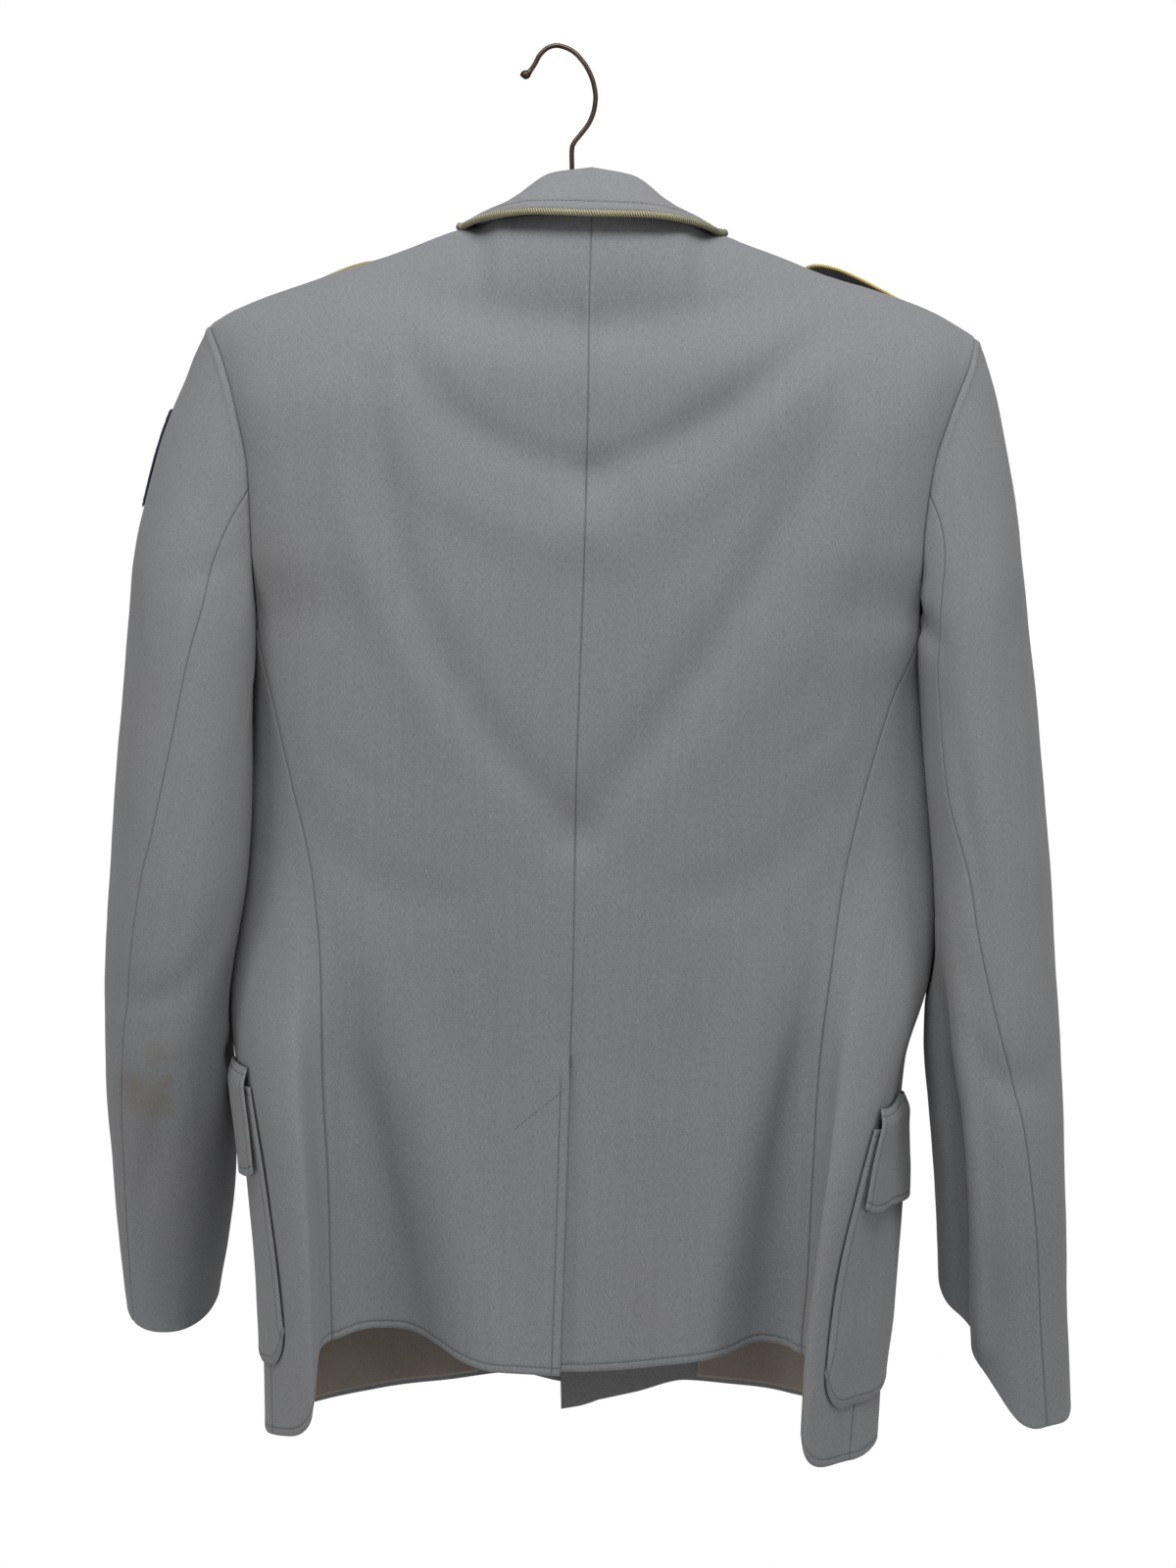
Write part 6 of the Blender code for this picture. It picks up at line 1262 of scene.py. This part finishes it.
def seam_edge(q, edge, seed, w=1.0, **k):
    """a seam along one edge of the panel, at strength w"""
    d = q["d" + edge]; along = q["V"] if edge in "lr" else q["U"]
    o, l = q["off"].copy(), q["line"].copy()
    sewn(q, d, along, seed, **k)
    q["off"] = o + (q["off"] - o) * w; q["line"] = l + (q["line"] - l) * w

def turned_edge(q, edge, seed, w=1.0, **k):
    along = q["V"] if edge in "lr" else q["U"]
    turned(q, q["d" + edge], along, seed, w=w, **k)

# small creases of the shown cloth, as rows like the large ones: mode, three points, widths, depths
SMALL = {
    "back": [
        ("hollow of the neck", (-104, -152), (24, -174), (156, -154), 20, 20, -2.0, -6.6, -2.2),
        ("band under it", (-70, -196), (24, -204), (126, -198), 13, 13, .5, 1.4, .5),
        ("V right, edge", (150, -196), (96, -240), (24, -268), 9, 10, -.4, -1.4, -1.2),
        ("V left, edge", (-84, -202), (-48, -246), (22, -268), 9, 10, -.3, -1.1, -1.2),
        ("under the V", (96, -288), (24, -322), (-52, -288), 13, 13, .4, 1.6, .4),
        ("left of the seam", (-96, -350), (-52, -420), (-4, -470), 9, 9, -.4, -1.1, -.5),
        ("right of the seam", (128, -330), (74, -420), (26, -486), 9, 10, -.5, -1.4, -.5),
        ("skirt left, deep", (-128, -566), (-109, -680), (-78, -836), 19, 26, -.2, -12.5, -11.0),
        ("skirt left, crest", (-84, -590), (-60, -700), (-34, -830), 14, 16, .2, 1.6, 1.8),
        ("skirt right, deep", (164, -556), (142, -680), (126, -836), 18, 24, -.2, -13.0, -10.5),
        ("skirt right, crest", (120, -560), (106, -690), (88, -830), 11, 14, .2, 1.6, 1.8),
        ("short crease left", (-140, -430), (-120, -452), (-92, -462), 6, 6, -.2, -.8, -.2),
        ("short crease right", (178, -410), (158, -432), (132, -446), 6, 6, -.2, -.9, -.2)],
    "back_right": [("beside the vent", (13, -652), (11, -740), (8, -848), 5, 6, -.8, -2.0, -2.4)],
    "front": [
        ("chest crease left", (-150, -300), (-120, -370), (-92, -430), 9, 9, -.3, -1.4, -.4),
        ("chest crease right", (194, -300), (164, -370), (138, -430), 9, 9, -.3, -1.4, -.4),
        ("skirt crease left", (-90, -620), (-86, -720), (-80, -820), 12, 14, -.3, -1.6, -2.2),
        ("skirt crease right", (128, -620), (122, -720), (116, -820), 12, 14, -.3, -1.6, -2.2)],
}
SMALL_SLEEVE = {
    "L": [("under the patch", (70, -380), (56, -440), (60, -500), 9, 10, -.2, -.9, -.3),
          ("elbow crease", (104, -596), (84, -612), (58, -606), 6, 6, -.3, -1.3, -.3),
          ("elbow crease low", (96, -628), (80, -640), (62, -634), 5, 5, -.2, -.8, -.2)],
    "R": [("dent, edge", (150, -344), (134, -360), (116, -380), 6, 7, -.8, -2.0, -.4),
          ("above the dent", (158, -322), (140, -338), (118, -346), 6, 7, .5, 1.2, .3),
          ("inner face", (152, -540), (154, -690), (156, -806), 13, 15, -3.0, -9.0, -7.0),
          ("edge of the inner face", (126, -560), (127, -700), (126, -806), 6, 7, .6, 2.4, 1.6),
          ("elbow crease", (112, -624), (90, -640), (62, -634), 6, 6, -.3, -1.2, -.3)]}

def below(z, z0, run=12.0):
    """0 above the height z0, 1 below it"""
    return smooth((z0 - z) / run)

def body_panel(part, word):
    side = "L" if word == "left" else "R"
    name = "%s_%s" % (part, word)
    q = dense(g[name]["P"], g[name]["N2"])
    X, Z = q["P"][..., 0], q["P"][..., 2]
    sd = {"back": 1.0, "side": 2.0, "front": 3.0}[part] + (0 if side == "L" else .37)
    if part == "back":
        w = 1 - below(Z, VENT + 6)
        seam_edge(q, "l", 1.1, w)
        if side == "L": turned_edge(q, "l", 2.2, 1 - w, stitch=4.9)
        seam_edge(q, "r", 3.1 + sd); seam_edge(q, "t", 4.1 + sd, rise=.25, pucker=.10); turned_edge(q, "b", 5.0 + sd, stitch=4.4)
    elif part == "side":
        seam_edge(q, "l", 3.1 + sd - 1); seam_edge(q, "r", 6.2 + sd); seam_edge(q, "t", 7.0 + sd); turned_edge(q, "b", 5.5 + sd, stitch=4.4)
    else:
        seam_edge(q, "l", 6.2 + sd - 1); seam_edge(q, "t", 4.1 + sd, pucker=.10); turned_edge(q, "r", 8.0 + sd, stitch=5.2); turned_edge(q, "b", 5.8 + sd, stitch=4.4)
    rows = SMALL["front" if part == "front" else "back"] + SMALL.get(name, [])
    if rows and part != "side":
        e = np.minimum(q["dl"], q["dt"]) if part == "back" else q["dt"]; far = q["dr"] if part == "back" else q["dl"]
        q["slow"] = folds(rows, X, Z) * (1 - .6 * np.exp(-(e / 5.0) ** 2)) * (1 - np.exp(-(far / 7.0) ** 2)); q["off"] += q["slow"]
    finish_off(q, .22, sd)
    V, F, K, UV, LN = shell(q, CLOTH)
    n = q["Q"].shape[0] * q["Q"].shape[1]
    # inside: brown lining, with the cloth turned up at the hem and a facing along the front edge
    turn_up = (q["db"] < 7.0) | ((q["dl"] < 5.0) & (part == "back") & (Z < VENT))
    if part == "front": turn_up |= np.ones(turn_up.shape, bool)
    K = inner_kind(K, F, n, ~turn_up.ravel())
    parts = [(V, F, K, UV, LN)]
    if name == "back_right":
        k, T, Tn = vent_tab(g, FINE)
        P = np.concatenate([T, g[name]["P"][k:, :1]], 1); N = np.concatenate([Tn, unit(g[name]["N2"][k:, :1])], 1)
        t = dense(P, N, "tbl"); t["off"] += -.3 * np.exp(-(t["dl"] / .8) ** 2)
        finish_off(t, .12, 3.3, (1 - np.exp(-(t["dr"] / 6.0) ** 2)))
        parts.append(shell(t, CLOTH)); q["tab"] = t
    o = make(name + "_cloth", parts, [M_WOOL, M_LINE], name)
    q["obj"] = o
    return q

def inner_kind(K, F, n, lined):
    """marks the inner faces that show the lining"""
    K = K.copy()
    for i, f in enumerate(F):
        if K[i] == 1 and not lined[f[0] - n]: K[i] = 0
    return K

panels = {}
for s, word in WORDS:
    for part in ("back", "side", "front"):
        panels["%s_%s" % (part, word)] = body_panel(part, word)

def sleeve_panel(side, word, part):
    name = "sleeve_%s_%s" % (word, part)
    G = sl[side][part]
    q = dense(G["P"], G["N2"])
    ang = sample(G["PSI"][..., None], q["r"], q["c"])[..., 0]
    q["ang"] = ang
    sd = 20.0 + (0 if side == "L" else 4) + (0 if part == "top" else 1)
    seam_edge(q, "t", sd, deep=.7, rise=.75 if part == "top" else .25, pucker=.22)
    seam_edge(q, "l", sd + .5 if part == "top" else sd - .5); seam_edge(q, "r", sd + .6 if part == "top" else sd - .4)
    turned_edge(q, "b", sd + 2, stitch=0)
    rows = SMALL_SLEEVE[side]
    if rows:
        e = np.minimum(q["dl"], q["dr"])
        rr = [(m, (a[0] * 1.15, a[1]), (b[0] * 1.15, b[1]), (c[0] * 1.15, c[1]), w0, w1, d0, d1, d2) for m, a, b, c, w0, w1, d0, d1, d2 in rows]
        q["slow"] = folds(rr, (ang % 360) * 1.15, q["P"][..., 2]) * (1 - .6 * np.exp(-(e / 4.0) ** 2)); q["off"] += q["slow"]
    finish_off(q, .28, sd)
    V, F, K, UV, LN = shell(q, CLOTH)
    n = q["Q"].shape[0] * q["Q"].shape[1]
    K = inner_kind(K, F, n, ~(q["db"] < 9.0).ravel())
    o = make(name + "_cloth", [(V, F, K, UV, LN)], [M_WOOL2 if side == "L" else M_WOOL, M_LINE], name)
    q["obj"] = o
    return q

for s, word in WORDS:
    for part in ("top", "under"):
        panels["sleeve_%s_%s" % (word, part)] = sleeve_panel(s, word, part)

# ---------------------------------------------------------------- collar
g3 = body_grids(3)
clouds = [(g3[n]["P"], g3[n]["N"]) for n in ("back_left", "back_right", "front_left", "front_right")]
col = collar_grid(clouds, FINE // 2, 2.6)
o = col["P"][:, 0] - col["P"][:, 1]
tuck = col["P"][:, 0] + unit(o) * 3.6 - unit(np.stack([0 * o[:, 0], -np.ones(len(o)), 0 * o[:, 0]], -1)) * 1.2      # the stand goes down inside the neck seam
full = dict(P=np.concatenate([tuck[:, None], col["P"]], 1), N=np.concatenate([col["N"][:, :1], col["N"]], 1))
qc = dense(full["P"], full["N"], "tbr")
STITCH_C = 6.0
turned(qc, qc["dr"], qc["V"], 30.0, stitch=STITCH_C, dip=.34, pucker=.16)
turned(qc, qc["dt"], qc["U"], 31.0, stitch=0); turned(qc, qc["db"], qc["U"], 32.0, stitch=0)
finish_off(qc, .22, 33.0)
qc["obj"] = make("collar_cloth", [shell(qc, CLOTH)], [M_WOOL3, M_WOOL3], "collar")
under = undercollar_grid(col, FINE // 2, CLOTH + .2)
qu = dense(under["P"], under["N"], "tblr"); finish_off(qu, .05, 34.0)
qu["obj"] = make("undercollar_felt", [shell(qu, .7)], [M_FELT, M_FELT], "undercollar")

E = qc["Q"][:, -1]; fall = unit(E - qc["Q"][:, -4]); en = unit(qc["N"][:, -1])
line = E + fall * 1.75 - en * .95                       # gold and black strands laid up in turn
cord_parts = [(v, f, np.full(len(f), k % 2), uv, ln) for v, f, k, uv, ln in
              [(v, f, i, uv, ln) for i, (v, f, _, uv, ln) in enumerate(rope(line, en, 6, 1.34, .76, 4.6, .36, 6))]]
x, lp = resample(line, 1.2)
# a black core inside the strands, so that the gaps between them show dark: painted shade
cord_parts.append(plain_tube(lp, np.full(len(lp), 1.0), 8, (0, -.5, .85), kind=1))
make("collar_cord_twisted", cord_parts, [M_PALE, M_BLACK], "collar_cord")

# ---------------------------------------------------------------- lapels, pockets, flaps, linings, straps
def small_piece(name, G, node, mats, seed, wall=CLOTH, edges="tblr", stitch=5.0, sewn_edges="", drop=0.0, swell=.15, kinds=None):
    """a cloth piece laid on another: turned edges, with the edges in sewn_edges pressed down"""
    q = dense(G["P"], G["N"], edges)
    for k, e in enumerate(edges):
        if e in sewn_edges: q["off"] += -drop * np.exp(-(q["d" + e] / 3.2) ** 2)
        turned_edge(q, e, seed + k, stitch=stitch if not callable(stitch) else stitch(e))
    finish_off(q, swell, seed)
    part = shell(q, wall)
    q["obj"] = make(name, [part], mats, node)
    return q

lap, pock, flap, lin, strp, pipe = {}, {}, {}, {}, {}, {}
fronts = {"L": [(g3["front_left"]["P"], g3["front_left"]["N"])], "R": [(g3["front_right"]["P"], g3["front_right"]["N"])]}
shoulders = {s: fronts[s] + [(g3[n]["P"], g3[n]["N"])] for s, n in (("L", "back_left"), ("R", "back_right"))}
for i, (s, word) in enumerate(WORDS):
    lap[s] = small_piece("lapel_%s_cloth" % word, lapel_grid(s, fronts[s], 5), "lapel_" + word, [M_WOOL, M_WOOL], 40.0 + i, edges="tbr", stitch=4.0)
    pock[s] = small_piece("pocket_%s_cloth" % word, pocket_grid(g, word, FINE), "pocket_" + word, [M_WOOL, M_WOOL], 44.0 + i, stitch=4.8, sewn_edges="blr", drop=1.25)
    flap[s] = small_piece("flap_%s_cloth" % word, flap_grid(g, word, FINE), "flap_" + word, [M_WOOL, M_WOOL], 48.0 + i, stitch=4.4, sewn_edges="t", drop=1.2)
    lin[s] = small_piece("lining_%s_cloth" % word, lining_grid(g, word, FINE), "lining_" + word, [M_LINE, M_LINE], 52.0 + i, wall=.8, stitch=0, swell=.45)
    st = strap_grid(s, shoulders[s], 5)
    strp[s] = small_piece("strap_%s_cloth" % word, st, "strap_" + word, [M_STRAP, M_STRAP], 56.0 + i, stitch=4.0, swell=.1)
    pl, up = strap_outline(st)
    for _ in range(10): pl[1:-1] = .25 * pl[:-2] + .5 * pl[1:-1] + .25 * pl[2:]
    parts = rope(pl, up, 2, .52, .68, 3.4, .5, 7)
    parts = [(v, f, np.zeros(len(f), int), uv, ln) for v, f, _, uv, ln in parts]
    pipe[s] = make("piping_%s_gold" % word, parts, [M_GOLD], "piping_" + word)
patch_G = patch_grid(sl["L"]["top"], FINE)
qp = small_piece("sleeve_patch_cloth", dict(P=patch_G["P"] + patch_G["N"] * .15, N=patch_G["N"]), "sleeve_patch", [M_PATCH, M_PATCH], 60.0, wall=1.0, stitch=2.6, swell=.12)

# ---------------------------------------------------------------- buttons, hook and bar
for s, word in WORDS:
    st = strap_grid(s, shoulders[s]); nrm = st["N"][3, 2]
    make("strap_button_%s_shell" % word, [button(st["P"][3, 2] + nrm * .5, nrm, 8.6, 5.8)], [M_BUTTON], "strap_button_" + word)
for i, z in enumerate(BUTTONS):
    p = body("L", np.array([3.0]), np.array([float(z)]))[0]
    make("front_button_%d_shell" % (i + 1), [button(p + np.array([0, .9, 0]), (0, 1, 0), 11.6, 7.4)], [M_BUTTON], "front_button_%d" % (i + 1))

hook = np.array(HOOK)
t = np.arange(len(hook), dtype=float); tt = np.linspace(0, len(hook) - 1, (len(hook) - 1) * 8 + 1)
hp = spline([hook[i][None, :] for i in range(len(hook))], tt)[:, 0]
path = np.stack([hp[:, 0], 0 * hp[:, 0], hp[:, 1]], -1)
make("hanger_hook_wire", [plain_tube(path, np.maximum(hp[:, 2], .3), 28)], [M_HOOK], "hanger_hook")
bp, bh, bd = bar_line(97)
make("hanger_bar_wood", [plain_tube(bp, bh, 40, depth=bd)], [M_WOOD], "hanger_bar")

# ---------------------------------------------------------------- stitches
def stitches(name, rows, **k):
    parts = [r for r in (stitch_row(P, N, **k) for P, N in rows) if r is not None]
    return make(name, parts, [M_THREAD])

bl, br = panels["back_left"], panels["back_right"]

def straight_path(q, a, b, n=40):
    """line on the shown face, straight as seen from the back, between two (x, z)"""
    P = q["Q"]; rr, cc = [], []
    r = float(np.argmin(np.abs(P[:, 0, 2] - a[1]))); c = 0.0
    for t in np.linspace(0, 1, n):
        x, z = a[0] + (b[0] - a[0]) * t, a[1] + (b[1] - a[1]) * t
        for _ in range(4):
            k = int(min(P.shape[1] - 1, round(c))); col = P[:, k, 2]
            r = float(np.interp(-z, -col, np.arange(len(col))))
            i = int(min(P.shape[0] - 1, round(r))); row = P[i, :, 0]; o = np.argsort(row)
            c = float(np.interp(x, row[o], np.arange(len(row))[o]))
        rr.append(r); cc.append(c)
    k = np.ones(5) / 5
    ease = lambda v: np.convolve(np.pad(np.array(v), 2, mode="edge"), k, "valid")
    return surface_path(q, ease(rr), ease(cc))

under_vent = lambda p: p[2] < VENT - 2
rows = [edge_path(bl, "l", 4.9, under_vent)]
rows.append(straight_path(bl, (7.0, -641.0), (-25.5, -667.5)))
stitches("stitches_vent", rows)
rows = [edge_path(panels["%s_%s" % (p, w)], "b", 4.4) for p in ("back", "side", "front") for w in ("left", "right")]
rows += [edge_path(panels["front_" + w], "r", 5.2) for w in ("left", "right")]
stitches("stitches_hem", rows)
stitches("stitches_collar", [edge_path(qc, "r", STITCH_C)])
rows = []
for s in "LR":
    rows += [edge_path(pock[s], e, 4.8) for e in "blr"] + [edge_path(flap[s], e, 4.4) for e in "blr"] + [edge_path(flap[s], "t", 4.4)]
stitches("stitches_pockets", rows)
rows = []
for s in "LR": rows += [edge_path(strp[s], e, 4.0) for e in "lr"] + [edge_path(lap[s], "r", 4.0)]
stitches("stitches_straps_lapels", rows)

# ---------------------------------------------------------------- the cut of each cloth piece
AREAS = {}
sheet(panels["back_left"]["obj"], [panels["back_left"]])
sheet(panels["back_right"]["obj"], [panels["back_right"]])
for word in ("left", "right"):
    sheet(panels["side_" + word]["obj"], [panels["side_" + word]])
    sheet(panels["front_" + word]["obj"], [panels["front_" + word]])
    for part in ("top", "under"):
        k = "sleeve_%s_%s" % (word, part)
        sheet(panels[k]["obj"], [panels[k]])
sheet(qc["obj"], [qc])
sheet(qu["obj"], [qu])
for i, (s, word) in enumerate(WORDS):
    sheet(lap[s]["obj"], [lap[s]])
    sheet(pock[s]["obj"], [pock[s]])
    sheet(flap[s]["obj"], [flap[s]])
    sheet(lin[s]["obj"], [lin[s]])
    sheet(strp[s]["obj"], [strp[s]])
sheet(qp["obj"], [qp])

# ================================================================ floor, light and camera
def floor():
    me = bpy.data.meshes.new("floor"); r = 2.3; n = 96
    pts = [(r * math.cos(2 * math.pi * k / n), r * math.sin(2 * math.pi * k / n), 0) for k in range(n)]
    me.from_pydata(pts, [], [tuple(range(n))]); o = bpy.data.objects.new("studio_floor", me)
    bpy.context.scene.collection.objects.link(o); o.location = (0, 0, -1.62)
    m, t, b = tree_of("floor_pale"); n_ = Nodes(t); place = n_.place()
    v = n_.noise(place, 3.0, 3.0, .5)
    t.links.new(n_.ramp(v, [(.3, (.80, .80, .80)), (.7, (.84, .84, .84))]), b.inputs["Base Color"])
    b.inputs["Roughness"].default_value = .7
    me.materials.append(m); return o
floor()

def studio_world():
    """white behind the object; a softer light from all round, stronger from above and from the front"""
    w = bpy.data.worlds.new("studio"); bpy.context.scene.world = w; w.use_nodes = True
    t = w.node_tree; n = Nodes(t); bg = t.nodes["Background"]
    x, y, z = n.xyz(t.nodes.new("ShaderNodeTexCoord").outputs["Generated"])
    way = n.math("ADD", n.math("MULTIPLY", z, .62), n.math("SUBTRACT", n.math("MULTIPLY", n.math("ABSOLUTE", y), .56), .08))
    soft = n.ramp(n.range(way, -1.0, 1.0, 0.0, 1.0), [(0.0, (.045, .045, .044)), (.40, (.095, .095, .094)), (.60, (.255, .255, .26)), (1.0, (.62, .63, .645))])
    seen = t.nodes.new("ShaderNodeLightPath").outputs["Is Camera Ray"]
    t.links.new(n.mix(seen, soft, (1, 1, 1, 1)), bg.inputs["Color"])
    bg.inputs["Strength"].default_value = 1.0
studio_world()

def area(name, place, aim, size, power, colour=(1, 1, 1)):
    l = bpy.data.lights.new(name, "AREA"); l.shape = "RECTANGLE"; l.size, l.size_y = size; l.energy = power; l.color = colour
    o = bpy.data.objects.new(name, l); bpy.context.scene.collection.objects.link(o)
    o.location = place; o.rotation_euler = (Vector(aim) - Vector(place)).to_track_quat("-Z", "Y").to_euler()
    return o
area("key", (.10, -1.0, .90), (.03, 0, -.34), (1.4, .55), 33.5, (.97, .98, 1.0))
area("left_side", (-1.45, -.80, -.90), (-.22, 0, -.66), (.6, .8), 8.2, (1.0, .99, .96))
area("right_side", (1.50, -.80, -.75), (.24, 0, -.60), (.6, .8), 6.8, (1.0, .99, .96))

cam = bpy.data.cameras.new("camera"); co = bpy.data.objects.new("camera", cam); bpy.context.scene.collection.objects.link(co)
co.location = (.0201, -2.0, -.4578); co.rotation_euler = (math.radians(90), 0, 0)
cam.lens = 73.8; cam.sensor_width = 36.0; cam.sensor_fit = "AUTO"; cam.clip_end = 50
bpy.context.scene.camera = co
bpy.context.scene.view_settings.view_transform = "Standard"
bpy.context.scene.view_settings.look = "None"

bpy.context.view_layer.update()
